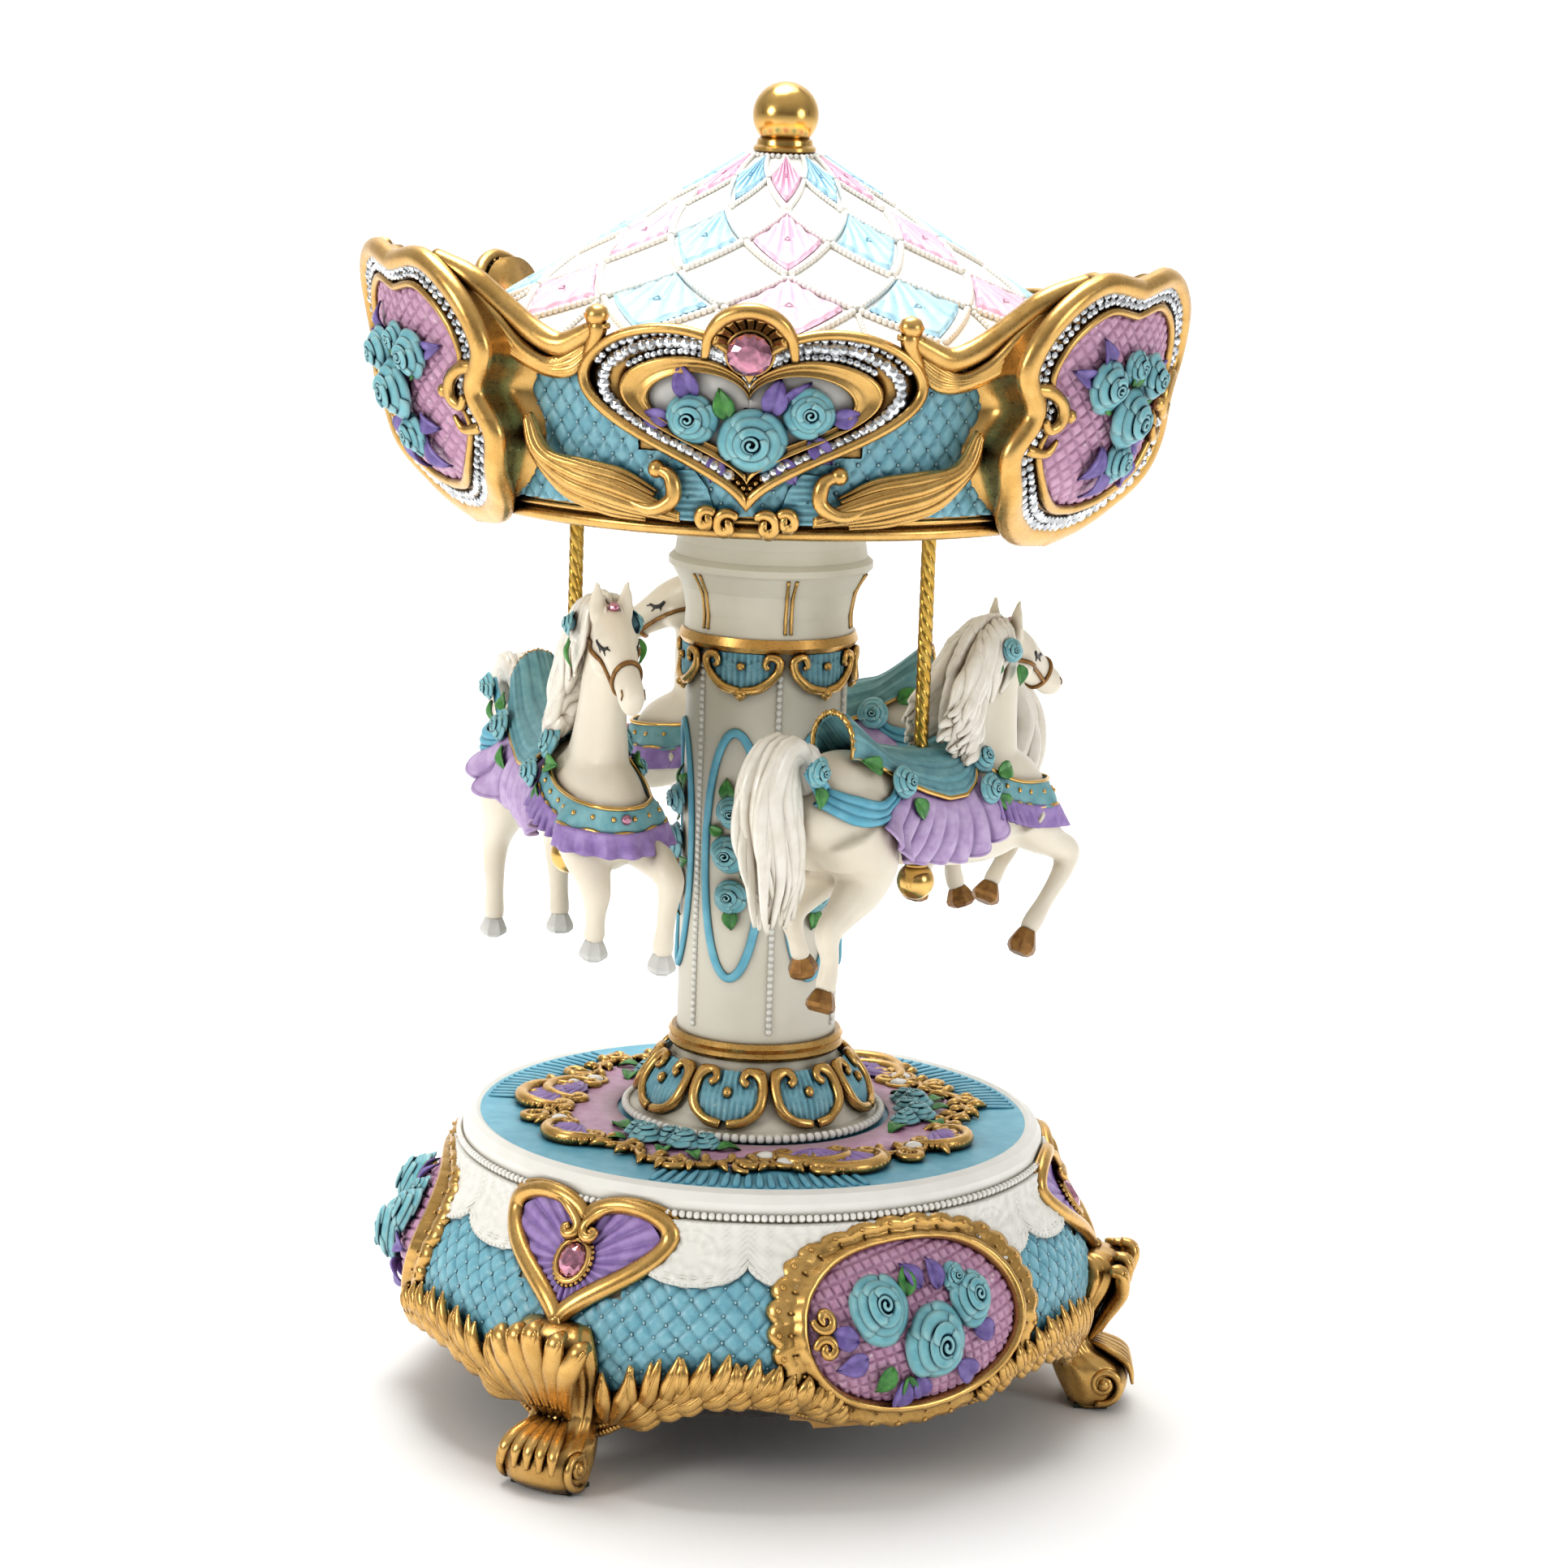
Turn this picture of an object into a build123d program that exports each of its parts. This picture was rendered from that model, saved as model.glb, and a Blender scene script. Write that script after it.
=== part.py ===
from build123d import *
from math import cos, pi, radians, sin
import os

# Carousel music box.  Millimetres, +Z up, origin on the turning axis in the plane the feet stand on.
# Azimuth 0 faces -Y and grows towards +X.  Ornaments are built facing -Y and then turned into place.

os.makedirs("parts", exist_ok=True)

# ---- overall layout -------------------------------------------------------------------------
TOTAL_HEIGHT = 255.0
FOLDS = 3
SECTOR = 360.0 / FOLDS
FOOT_AZIMUTH = -31.0
OVAL_AZIMUTH = FOOT_AZIMUTH + SECTOR / 2
CANOPY_HEART_AZIMUTH = -4.2
FLARE_AZIMUTH = CANOPY_HEART_AZIMUTH + SECTOR / 2
HORSE_AZIMUTH = 48.7
POLE_CIRCLE = 38.6
ALIGN_UP = (Align.CENTER, Align.CENTER, Align.MIN)

# ---- base -----------------------------------------------------------------------------------
DECK_UNDER = 48.0
DECK_TOP = 52.0
PLATFORM_TOP = 56.0
PLATFORM_RADIUS = 53.2
RIM_RADIUS = 56.5
RIM_BOTTOM = 50.8
BASE_WALL = [(56.5, 54.0), (56.5, 50.8), (57.6, 46.0), (61.5, 40.0), (65.0, 34.0), (66.3, 29.0),
             (66.0, 24.0), (64.5, 20.0), (62.5, 15.0), (61.5, 13.0)]
BASE_CAVITY = [(52.0, 48.0), (53.6, 44.0), (57.0, 38.0), (60.6, 30.0), (60.2, 22.0), (57.0, 15.6)]
COVER_RADIUS = 56.7
COVER_BOTTOM = 13.6
COVER_TOP = 15.6
ARCH_HALF_WIDTH = 15.0
ARCH_HEIGHT = 5.0
LACE_SCALLOPS = 18
LACE_THICKNESS = 0.8
POST_CIRCLE = 49.5
POST_RADIUS = 3.4
POST_AZIMUTH = 75.0
PAD_THICKNESS = 0.8
SCROLL_AZIMUTHS = (-92, -62, -31, 3, 36, 91, 120, 150, 180, 210, 240)

BASE_HEART = (18.4, 53.4, 49.2, 28.7)
BASE_HEART_INNER = (14.2, 50.6, 46.4, 33.2)
OVAL_HALF_WIDTH = 27.9
OVAL_HALF_HEIGHT = 19.1
OVAL_INNER_WIDTH = 21.6
OVAL_INNER_HEIGHT = 13.8
OVAL_CENTRE = 32.3
FRAME_THICKNESS = 2.6

# ---- column ---------------------------------------------------------------------------------
SPINDLE_RADIUS = 3.0
SPINDLE_TOP = 67.0
FIT = 0.05
WASHER_THICKNESS = 0.5
BELL_BOTTOM = PLATFORM_TOP + WASHER_THICKNESS + FIT
COLUMN_RADIUS = 15.4
COLUMN_BORE = 11.5
COLUMN_BOTTOM = 70.2
COLUMN_TOP = 152.0
CAPITAL_TOP = 176.8
COLUMN_SIDES = 6
WREATH_AZIMUTH = -21.0
WREATH_CENTRE = 110.0
SWAG_AZIMUTH = -17.5
BELL_SHIELDS = 8

# ---- canopy ---------------------------------------------------------------------------------
CANOPY_BOTTOM = 176.8
CANOPY_FLOOR_TOP = 179.4
CANOPY_FLOOR_RADIUS = 53.5
CANOPY_INNER = 58.6
CANOPY_TOP = 210.0
CANOPY_WALL = [(57.5, 176.8), (60.0, 180.0), (61.5, 186.0), (62.3, 195.0), (62.8, 205.0),
               (63.2, 210.0), (64.0, 220.0)]
FLARE_OUTER = [(58.4, 176.8), (63.4, 181.5), (69.0, 188.0), (72.0, 198.0), (73.6, 207.0),
               (75.6, 217.0), (76.4, 224.0)]
FLARE_INNER = [(57.5, 176.8), (60.0, 180.0), (61.5, 186.0), (62.3, 195.0), (62.8, 205.0),
               (63.2, 210.0), (69.5, 217.0), (73.0, 224.0)]
FLARE_OUTLINE = [(0.0, 176.8), (10.0, 178.2), (20.0, 184.0), (25.5, 193.0), (22.5, 201.0),
                 (26.0, 209.0), (22.0, 218.0), (12.0, 223.8), (0.0, 222.4)]
CANOPY_HEART = (29.6, 214.8, 206.5, 183.2)
CANOPY_HEART_PEARL = (26.4, 211.8, 205.2, 185.6)
CANOPY_HEART_INNER = (18.6, 207.6, 203.6, 189.0)
ROOF_TOP = 241.7
ROOF_TOP_RADIUS = 5.5
ROOF_SLOPE = 0.617
ROOF_THICKNESS = 2.4
ROOF_COLUMNS = 12
ROOF_ROWS = (12.6, 29.4, 46.4)
ROOF_ROW_HALF = 8.2

# ---- screws ---------------------------------------------------------------------------------
PLATE_SCREWS = [(-20.0, 20.0), (-20.0, -20.0), (33.0, 20.0)]
COMB_SCREWS = [(20.5, -20.5), (28.0, -20.5), (35.5, -20.5)]

# ---- horses ---------------------------------------------------------------------------------
POLE_RADIUS = 1.35
POLE_BOTTOM = 108.0
BALL_RADIUS = 3.55
BALL_CENTRE = 108.9
BODY_PROFILE = [(-33.0, 0.0), (-31.0, 5.6), (-25.0, 9.8), (-16.0, 10.7), (-4.0, 10.2), (8.0, 10.0),
                (18.0, 10.8), (27.0, 10.6), (33.0, 7.6), (36.5, 0.0)]
BODY_AXIS = 123.6
BODY_HALF_WIDTH = 8.4

# Limbs of the horse at its pole: heading along +X, left side towards the axis; (a, side, z, radius).
HORSE_LIMBS = [
    [(23, 0, 126, 9.2), (20, 0, 140, 7.6), (22.5, -0.5, 150.5, 5.6)],
    [(22.5, -0.5, 150.5, 5.4), (31, -2.6, 147.6, 4.4), (37.4, -4.4, 142.6, 3.2)],
    [(20.8, 1.8, 152.5, 1.7), (20.6, 2.2, 158.6, 0.5)],
    [(23.6, -2.6, 152.5, 1.7), (24.4, -3.4, 158.6, 0.5)],
    [(18, 0, 154, 2.6), (11, 0, 146, 3.0), (12.6, 0, 137, 2.4)],
    [(28, -4.6, 118, 5.6), (39.4, -6, 110.6, 2.9), (29, -6, 99.6, 1.9), (26.4, -6, 93.4, 2.6)],
    [(27, 4.6, 118, 5.6), (37.6, 6, 113.6, 2.9), (31, 6, 105.2, 1.9), (29.2, 6, 101.2, 2.6)],
    [(-24, -4.4, 119.5, 7.2), (-30.5, -5.4, 107, 3.2), (-31, -5.6, 98, 1.9), (-32.2, -5.6, 91.6, 2.7)],
    [(-24, 4.4, 119.5, 7.2), (-29, 5.4, 108, 3.2), (-27.4, 5.6, 99, 1.9), (-25.6, 5.6, 94.4, 2.7)],
    [(-31, 0, 130, 2.6), (-40, 0, 136, 3.2), (-44.5, 0, 127, 4.0), (-42.4, 0, 114, 3.4), (-40, 0, 106.5, 1.6)],
]

# ---- movement -------------------------------------------------------------------------------
PLATE_TOP = DECK_UNDER
PLATE_BOTTOM = 46.5
CROWN_TEETH = 54
PINION_TEETH = 18
CROWN_RADIUS = 15.0
CROWN_FACE = 2.0
CROWN_MODULE = 2 * CROWN_RADIUS / CROWN_TEETH
CROWN_PLANE = 43.0
CYLINDER_AXIS = CROWN_PLANE - CROWN_MODULE * PINION_TEETH / 2
WHEEL_UNDER = CROWN_PLANE + 1.15 * CROWN_MODULE
WHEEL_TOP = WHEEL_UNDER + 1.8
HOUSING_RADIUS = 13.2
HOUSING_WALL = 1.2
HOUSING_BOTTOM = 24.0
HOUSING_TOP = 41.6
ARBOR_RADIUS = 0.8
CYLINDER_RADIUS = 6.5
CYLINDER_START = 17.5
CYLINDER_END = 38.5
NOTES = 18
PIN_HEIGHT = 0.5
PINS_PER_NOTE = 5
END_WHEEL_TEETH = 40
END_PINION_TEETH = 10
END_MODULE = 0.38
END_WHEEL_X = 39.2
END_WHEEL_WIDTH = 1.4
GOVERNOR_DISTANCE = END_MODULE * (END_WHEEL_TEETH + END_PINION_TEETH) / 2 + 0.06
GOVERNOR_Y = GOVERNOR_DISTANCE * cos(radians(45))
GOVERNOR_Z = CYLINDER_AXIS - GOVERNOR_Y
WORM_WHEEL_TEETH = 20
WORM_MODULE = 0.4
WORM_WHEEL_X = 42.1
WORM_WHEEL_WIDTH = 1.0
WORM_RADIUS = 1.6
WORM_PITCH = pi * WORM_MODULE
WORM_X = WORM_WHEEL_X + WORM_WHEEL_WIDTH / 2
WORM_Y = GOVERNOR_Y + WORM_MODULE * WORM_WHEEL_TEETH / 2 + WORM_RADIUS + 0.05
WORM_TURNS = 5
FAN_RADIUS = 4.0
FAN_BOTTOM = 36.3
FAN_HEIGHT = 6.4
END_PLATE_X = 44.7
END_PLATE_WIDTH = 1.2
KEY_BOTTOM = 3.0
WINDING_RADIUS = 2.0


# ---- helpers --------------------------------------------------------------------------------
def save(shape, name):
    export_step(shape, f"parts/{name}.step")


def lathe(points):
    """A solid of revolution about Z from a closed (radius, height) outline."""
    outline = make_face(Polyline(*points, close=True))
    return revolve(Plane.XZ * outline, Axis.Z)


def ring(inner, outer, bottom, top):
    return lathe([(inner, bottom), (outer, bottom), (outer, top), (inner, top)])


def disc(radius, bottom, top):
    return Pos(0, 0, bottom) * extrude(Circle(radius), top - bottom)


def rod(start, end, radius, end_radius=None):
    """A round bar, tapered when end_radius is given, between two points."""
    span = Vector(*end) - Vector(*start)
    tip = radius if end_radius is None else end_radius
    if tip == radius:
        bar = Solid.make_cylinder(radius, span.length)
    else:
        bar = Solid.make_cone(radius, tip, span.length)
    return Plane(origin=start, z_dir=span) * bar


def band(points, inner, outer):
    """The layer lying between two radial offsets of a wall line."""
    inside = [(r + inner, z) for r, z in points]
    outside = [(r + outer, z) for r, z in reversed(points)]
    return lathe(inside + outside)


def prism(outline, near=20.0, far=95.0):
    """An outline drawn in the front plane, carried outwards from the axis."""
    return extrude(Plane.XZ.offset(near) * outline, far - near)


def turned(shape, azimuth):
    return Rot(0, 0, azimuth) * shape


def around(shape, first, count=FOLDS):
    """Copies of a shape spaced evenly round the axis."""
    step = 360.0 / count
    return [turned(shape, first + step * i) for i in range(count)]


def group(shapes):
    """A node holding several loose solids."""
    solids = []
    for shape in shapes:
        solids.extend(shape.solids())
    return Compound(children=solids)


def heart(half_width, top, notch, tip):
    """A heart outline standing in the front plane."""
    right = []
    steps = 10
    for i in range(steps + 1):
        t = pi * i / steps
        rise = 13 * cos(t) - 5 * cos(2 * t) - 2 * cos(3 * t) - cos(4 * t)
        if rise > 5:
            z = notch + (top - notch) * (rise - 5) / 6.95
        else:
            z = tip + (notch - tip) * (rise + 17) / 22
        right.append((half_width * sin(t) ** 3, z))
    left = [(-x, z) for x, z in reversed(right)]
    return make_face([Spline(*right), Spline(*left)])


def oval(half_width, half_height, centre):
    return Pos(0, centre) * Ellipse(half_width, half_height)


def mirrored_outline(points):
    """A closed smooth outline from its right half, listed bottom to top."""
    left = [(-x, z) for x, z in reversed(points)]
    return make_face([Spline(*points), Spline(*left)])


def plain_mirrored(points):
    """A closed straight-sided outline from its right half."""
    left = [(-x, z) for x, z in reversed(points) if x]
    return make_face(Polyline(*points, *left, close=True))


def rose(radius):
    """A stepped rosette standing on the XY plane."""
    profile = [(0, -0.5), (0.8, -0.5), (1.0, 0.2), (0.86, 0.42), (0.7, 0.4), (0.66, 0.66), (0.46, 0.62),
               (0.4, 0.84), (0.0, 0.9)]
    return lathe([(x * radius, z * radius) for x, z in profile])


def mounted(shape, azimuth, radius, height):
    """A piece standing on the XY plane, set against a wall to face outwards."""
    return Rot(0, 0, azimuth) * Pos(0, -radius, height) * Rot(90, 0, 0) * shape


def wall_radius(wall, height):
    """Radius of a wall line at a height."""
    line = sorted(wall, key=lambda point: point[1])
    for (r0, z0), (r1, z1) in zip(line, line[1:]):
        if z0 <= height <= z1 and z1 > z0:
            return r0 + (r1 - r0) * (height - z0) / (z1 - z0)
    return line[-1][0]


def gear(teeth, module, width, bore, slack=0.09):
    """A straight-toothed wheel on Z with one tooth centred on +X."""
    pitch = teeth * module / 2
    half = pi / (2 * teeth) - slack / pitch
    root = pitch - 1.2 * module
    tip = pitch + 0.85 * module
    points = []
    for i in range(teeth):
        centre = 2 * pi * i / teeth
        corners = ((root, -1.3), (tip, -0.5), (tip, 0.5), (root, 1.3))
        for radius, offset in [(r, k * half) for r, k in corners]:
            points.append((radius * cos(centre + offset), radius * sin(centre + offset)))
    face = make_face(Polyline(*points, close=True))
    if bore:
        face = face - Circle(bore)
    return extrude(face, width)


def along_x(shape, x, y, z, tooth):
    """A wheel set on a shaft parallel to X with its first tooth pointing the given way."""
    return Plane(origin=(x, y, z), x_dir=tooth, z_dir=(1, 0, 0)) * shape


# ---- base pieces ----------------------------------------------------------------------------
def base_heart_prism():
    return prism(heart(*BASE_HEART))


def base_oval_prism():
    return prism(oval(OVAL_HALF_WIDTH, OVAL_HALF_HEIGHT, OVAL_CENTRE))


def base_shell():
    """The hollow plinth with its deck, cover posts and the arches cut along its lower edge."""
    outer = [point for point in BASE_WALL if point[1] <= RIM_BOTTOM]
    lip = [(57.0, 13.0), (57.0, 15.6)]
    inner = list(reversed(BASE_CAVITY))
    top = [(0, DECK_UNDER), (0, DECK_TOP), (PLATFORM_RADIUS, DECK_TOP), (PLATFORM_RADIUS, RIM_BOTTOM)]
    shell = lathe(top + outer + lip + inner[1:])
    for azimuth in (FOOT_AZIMUTH + 29, FOOT_AZIMUTH + 91):
        arch = prism(oval(ARCH_HALF_WIDTH, ARCH_HEIGHT, BASE_WALL[-1][1]), 56.0)
        for cut in around(arch, azimuth):
            shell -= cut
    post = Pos(0, -POST_CIRCLE, COVER_TOP) * Cylinder(POST_RADIUS, DECK_UNDER - COVER_TOP, align=ALIGN_UP)
    for piece in around(post, POST_AZIMUTH):
        shell += piece
    bore = Pos(0, -POST_CIRCLE, COVER_TOP) * Cylinder(1.25, 11, align=ALIGN_UP)
    for piece in around(bore, POST_AZIMUTH):
        shell -= piece
    shell -= disc(5.0, DECK_UNDER - 1, DECK_TOP + 1)
    for x, y in PLATE_SCREWS:
        shell -= Pos(x, y, DECK_UNDER) * Cylinder(0.9, 3, align=ALIGN_UP)
    return shell


def foot():
    """A scrolled cabriole foot with a spreading acanthus crest against the wall."""
    side = [(55.0, 12.0), (55.0, 29.0), (66.6, 30.4), (70.0, 30.8), (72.2, 29.4), (72.6, 27.6), (71.4, 24.4),
            (69.2, 20.4), (67.8, 16.6), (67.6, 13.4), (69.4, 11.0), (72.6, 9.8), (74.8, 8.2), (75.5, 5.2),
            (74.6, 2.4), (72.6, PAD_THICKNESS), (64.4, PAD_THICKNESS), (61.6, 4.0), (60.2, 8.0), (59.0, 12.0)]
    profile = make_face(Polyline(*side, close=True))
    blade = Rot(0, 0, -90) * extrude(Plane.XZ.offset(-8.6) * profile, 17.2)
    front = [(0, 0), (8.4, 0), (8.4, 5.0), (6.6, 12.0), (8.0, 20.0), (7.6, 26.0), (4.6, 33.0), (0, 33.0)]
    blade &= prism(plain_mirrored(front), 50)
    leaf = [(0, 12.2), (9.0, 13.4), (12.0, 18.0), (17.0, 24.5), (11.0, 23.6), (8.0, 29.0), (0, 28.0)]
    crest = prism(plain_mirrored(leaf), 50) & band(BASE_WALL[2:], -1.0, 2.2)
    return blade + crest


def foot_pad():
    return Pos(0, -68.3, 0) * extrude(Rectangle(13.0, 6.6), PAD_THICKNESS)


def base_pieces():
    save(base_shell(), "base_shell")
    heart_cut = base_heart_prism()
    oval_cut = base_oval_prism()
    wall = band(BASE_WALL, 0, 30)
    one_foot = foot() - base_wall_core()
    one_foot -= heart_cut
    save(group(around(one_foot, FOOT_AZIMUTH)), "feet")
    save(group(around(foot_pad(), FOOT_AZIMUTH)), "foot_pads")

    upper = BASE_WALL[:6]
    frame = (heart_cut - prism(heart(*BASE_HEART_INNER))) & band(upper, 0, FRAME_THICKNESS)
    fill = prism(heart(*BASE_HEART_INNER)) & band(upper, 0, 1.4)
    gem_radius = wall_radius(BASE_WALL, 40.6) + 1.4
    gem = mounted(Pos(0, 0, 1.0) * Cylinder(2.7, 2.0), 0, gem_radius, 40.6)
    gem += mounted(Pos(0, 0, 2.0) * Solid.make_cone(2.7, 1.3, 1.6), 0, gem_radius, 40.6)
    save(group(around(frame, FOOT_AZIMUTH)), "base_heart_frames")
    save(group(around(fill - gem, FOOT_AZIMUTH)), "base_heart_fills")
    save(group(around(gem, FOOT_AZIMUTH)), "base_heart_gems")

    inner_cut = prism(oval(OVAL_INNER_WIDTH, OVAL_INNER_HEIGHT, OVAL_CENTRE))
    frame = (oval_cut - inner_cut) & band(BASE_WALL, 0, FRAME_THICKNESS)
    panel = inner_cut & band(BASE_WALL, 0, 1.0)
    roses = []
    for azimuth, height, size in ((0, 35.5, 4.6), (-9.0, 28.6, 3.9), (8.6, 27.8, 3.9)):
        roses.append(mounted(rose(size), azimuth, wall_radius(BASE_WALL, height) + 2.4, height))
    for flower in roses:
        panel -= flower
    save(group(around(frame, OVAL_AZIMUTH)), "oval_frames")
    save(group(around(panel, OVAL_AZIMUTH)), "oval_panels")
    flowers = []
    for flower in roses:
        clear = flower & wall
        flowers.extend(around(clear, OVAL_AZIMUTH))
    save(group(flowers), "oval_roses")

    scallops = band(BASE_WALL[1:3], 0, LACE_THICKNESS)
    tongue = prism(oval(9.2, 5.2, 46.6)) & band(BASE_WALL[1:5], 0, LACE_THICKNESS)
    for piece in around(tongue, 10.0, LACE_SCALLOPS):
        scallops += piece
    strip = lathe([(56.5, 51.0), (57.6, 51.2), (57.9, 52.0), (57.6, 52.8), (56.5, 53.0)])
    for piece in around(heart_cut, FOOT_AZIMUTH) + around(oval_cut, OVAL_AZIMUTH):
        scallops -= piece
        strip -= piece
    save(group([scallops]), "lace_collar")
    save(group([strip]), "pearl_strip")


def base_wall_core():
    """Everything inside the line of the base wall."""
    return lathe([(0, 54.0)] + BASE_WALL + [(0, 13.0)])


def platform_pieces():
    floor = disc(PLATFORM_RADIUS, DECK_TOP, PLATFORM_TOP) - disc(5.0, DECK_TOP, PLATFORM_TOP)
    save(floor, "platform_disc")
    rim = lathe([(PLATFORM_RADIUS, RIM_BOTTOM), (RIM_RADIUS, RIM_BOTTOM), (RIM_RADIUS, 54.2),
                 (RIM_RADIUS - 1.0, 55.8), (54.0, 56.4), (PLATFORM_RADIUS, PLATFORM_TOP)])
    save(rim, "platform_rim")
    scroll = ring(30.0, 32.4, PLATFORM_TOP, PLATFORM_TOP + 1.4)
    for azimuth in SCROLL_AZIMUTHS:
        lobe = ring(6.0, 7.6, PLATFORM_TOP, PLATFORM_TOP + 1.4)
        scroll += turned(Pos(0, -39.6, 0) * lobe, azimuth)
    roses = []
    for radius, azimuth in ((30.3, -38), (30.3, 72), (30.3, -141)):
        for shift, size in ((-8, 2.6), (0, 3.2), (8, 2.6)):
            flower = Pos(0, -radius, PLATFORM_TOP + size * 0.5) * rose(size)
            roses.append(turned(flower, azimuth + shift * 1.7))
    for flower in roses:
        scroll -= flower
    shells = [scroll]
    for azimuth in SCROLL_AZIMUTHS:
        shells.append(turned(Pos(0, -39.6, 0) * disc(6.0, PLATFORM_TOP, PLATFORM_TOP + 0.8), azimuth))
    save(group(shells), "platform_scrollwork")
    save(group(roses), "platform_roses")


def cover_pieces():
    cover = disc(COVER_RADIUS, COVER_BOTTOM, COVER_TOP) - disc(3.4, COVER_BOTTOM - 1, COVER_TOP + 1)
    hole = Pos(0, -POST_CIRCLE, COVER_BOTTOM - 1) * Cylinder(1.3, 4, align=ALIGN_UP)
    for piece in around(hole, POST_AZIMUTH):
        cover -= piece
    save(cover, "bottom_cover")
    screw = Pos(0, -POST_CIRCLE, COVER_BOTTOM - 1.2) * Cylinder(2.4, 1.2, align=ALIGN_UP)
    screw += Pos(0, -POST_CIRCLE, COVER_BOTTOM) * Cylinder(1.2, 10, align=ALIGN_UP)
    save(group(around(screw, POST_AZIMUTH)), "cover_screws")


# ---- movement -------------------------------------------------------------------------------


def bedplate():
    outline = Pos(12, -2) * Rectangle(72, 48)
    plate = Pos(0, 0, PLATE_BOTTOM) * extrude(outline & Circle(50.0), PLATE_TOP - PLATE_BOTTOM)
    plate -= disc(5.0, PLATE_BOTTOM - 1, PLATE_TOP + 1)
    for x, y in PLATE_SCREWS:
        plate -= Pos(x, y, PLATE_BOTTOM) * Cylinder(1.0, 2, align=ALIGN_UP)
    plate -= Pos(WORM_X, WORM_Y, PLATE_BOTTOM - 1) * Cylinder(0.5 + FIT, 4, align=ALIGN_UP)
    post = Pos(0, -POST_CIRCLE, PLATE_BOTTOM - 1) * Cylinder(POST_RADIUS + 0.6, 4, align=ALIGN_UP)
    for piece in around(post, POST_AZIMUTH):
        plate -= piece
    return plate


def spring_housing():
    """The fixed spring cup, hung from the plate on three posts."""
    cup = ring(HOUSING_RADIUS - HOUSING_WALL, HOUSING_RADIUS, HOUSING_BOTTOM, HOUSING_TOP)
    cup += disc(HOUSING_RADIUS, HOUSING_BOTTOM, HOUSING_BOTTOM + 1.2)
    for angle in (110, 180, 250):
        arm = Pos(15.8, 0, HOUSING_BOTTOM + 1.0) * Box(6.4, 3.4, 2.0)
        post = Pos(19.0, 0, HOUSING_BOTTOM) * Cylinder(1.9, PLATE_BOTTOM - HOUSING_BOTTOM, align=ALIGN_UP)
        cup += Rot(0, 0, angle) * (arm + post)
    cup -= disc(WINDING_RADIUS + FIT, HOUSING_BOTTOM - 1, HOUSING_BOTTOM + 3)
    near, far = HOUSING_RADIUS - 2.5, HOUSING_RADIUS + 1
    cup -= rod((near, 0, CYLINDER_AXIS), (far, 0, CYLINDER_AXIS), ARBOR_RADIUS + FIT)
    return cup


def mainspring():
    """A coiled strip, wound loose, hooked to nothing in this model but the cup it lies in."""
    turns = 8
    steps = 24 * turns
    start = 3.0
    growth = (HOUSING_RADIUS - HOUSING_WALL - 0.5 - start) / turns
    inner = []
    outer = []
    for i in range(steps + 1):
        angle = 2 * pi * i / 24
        radius = start + growth * i / 24
        inner.append((radius * cos(angle), radius * sin(angle)))
        outer.append(((radius + 0.35) * cos(angle), (radius + 0.35) * sin(angle)))
    face = make_face([Spline(*inner), Line(inner[-1], outer[-1]), Spline(*outer), Line(outer[0], inner[0])])
    return Pos(0, 0, HOUSING_BOTTOM + 1.6) * extrude(face, 13.6)


def great_wheel():
    """The crown wheel on the turning axis with its teeth facing down, and its hub."""
    outer = CROWN_RADIUS + CROWN_FACE / 2
    inner = CROWN_RADIUS - CROWN_FACE / 2
    tooth_tip = CROWN_PLANE - 0.85 * CROWN_MODULE
    teeth = ring(inner, outer, tooth_tip, WHEEL_UNDER)
    pitch = 2 * pi * CROWN_RADIUS / CROWN_TEETH
    low = pitch / 4 + 0.34
    high = pitch / 4 - 0.08
    gap = Polyline((-low, tooth_tip - 0.1), (low, tooth_tip - 0.1), (high, WHEEL_UNDER), (-high, WHEEL_UNDER),
                   close=True)
    slot = extrude(Plane.YZ.offset(inner - 1) * make_face(gap), CROWN_FACE + 2)
    slots = [Rot(0, 0, 360 * i / CROWN_TEETH) * slot for i in range(CROWN_TEETH)]
    teeth = teeth - slots
    wheel = disc(outer, WHEEL_UNDER, WHEEL_TOP) + disc(4.2, WHEEL_UNDER - 1.2, WHEEL_TOP)
    wheel = wheel + teeth
    wheel -= disc(1.5 + FIT, WHEEL_UNDER - 2, WHEEL_UNDER + 0.8)
    return wheel


def music_cylinder():
    """The pinned cylinder: a fixed pattern of pins, one row to each comb tooth."""
    body = rod((CYLINDER_START, 0, CYLINDER_AXIS), (CYLINDER_END, 0, CYLINDER_AXIS), CYLINDER_RADIUS)
    body -= rod((CYLINDER_START - 1, 0, CYLINDER_AXIS), (CYLINDER_END + 1, 0, CYLINDER_AXIS), ARBOR_RADIUS)
    pitch = (CYLINDER_END - CYLINDER_START) / NOTES
    pins = []
    for note in range(NOTES):
        x = CYLINDER_START + pitch * (note + 0.5)
        for beat in range(PINS_PER_NOTE):
            angle = radians((note * 137 + beat * 72 + (note * beat * 29) % 31) % 360)
            y = cos(angle)
            z = sin(angle)
            foot_r = CYLINDER_RADIUS - 0.4
            tip_r = CYLINDER_RADIUS + PIN_HEIGHT
            foot = (x, y * foot_r, CYLINDER_AXIS + z * foot_r)
            tip = (x, y * tip_r, CYLINDER_AXIS + z * tip_r)
            pins.append(rod(foot, tip, 0.2))
    return body + pins


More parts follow.
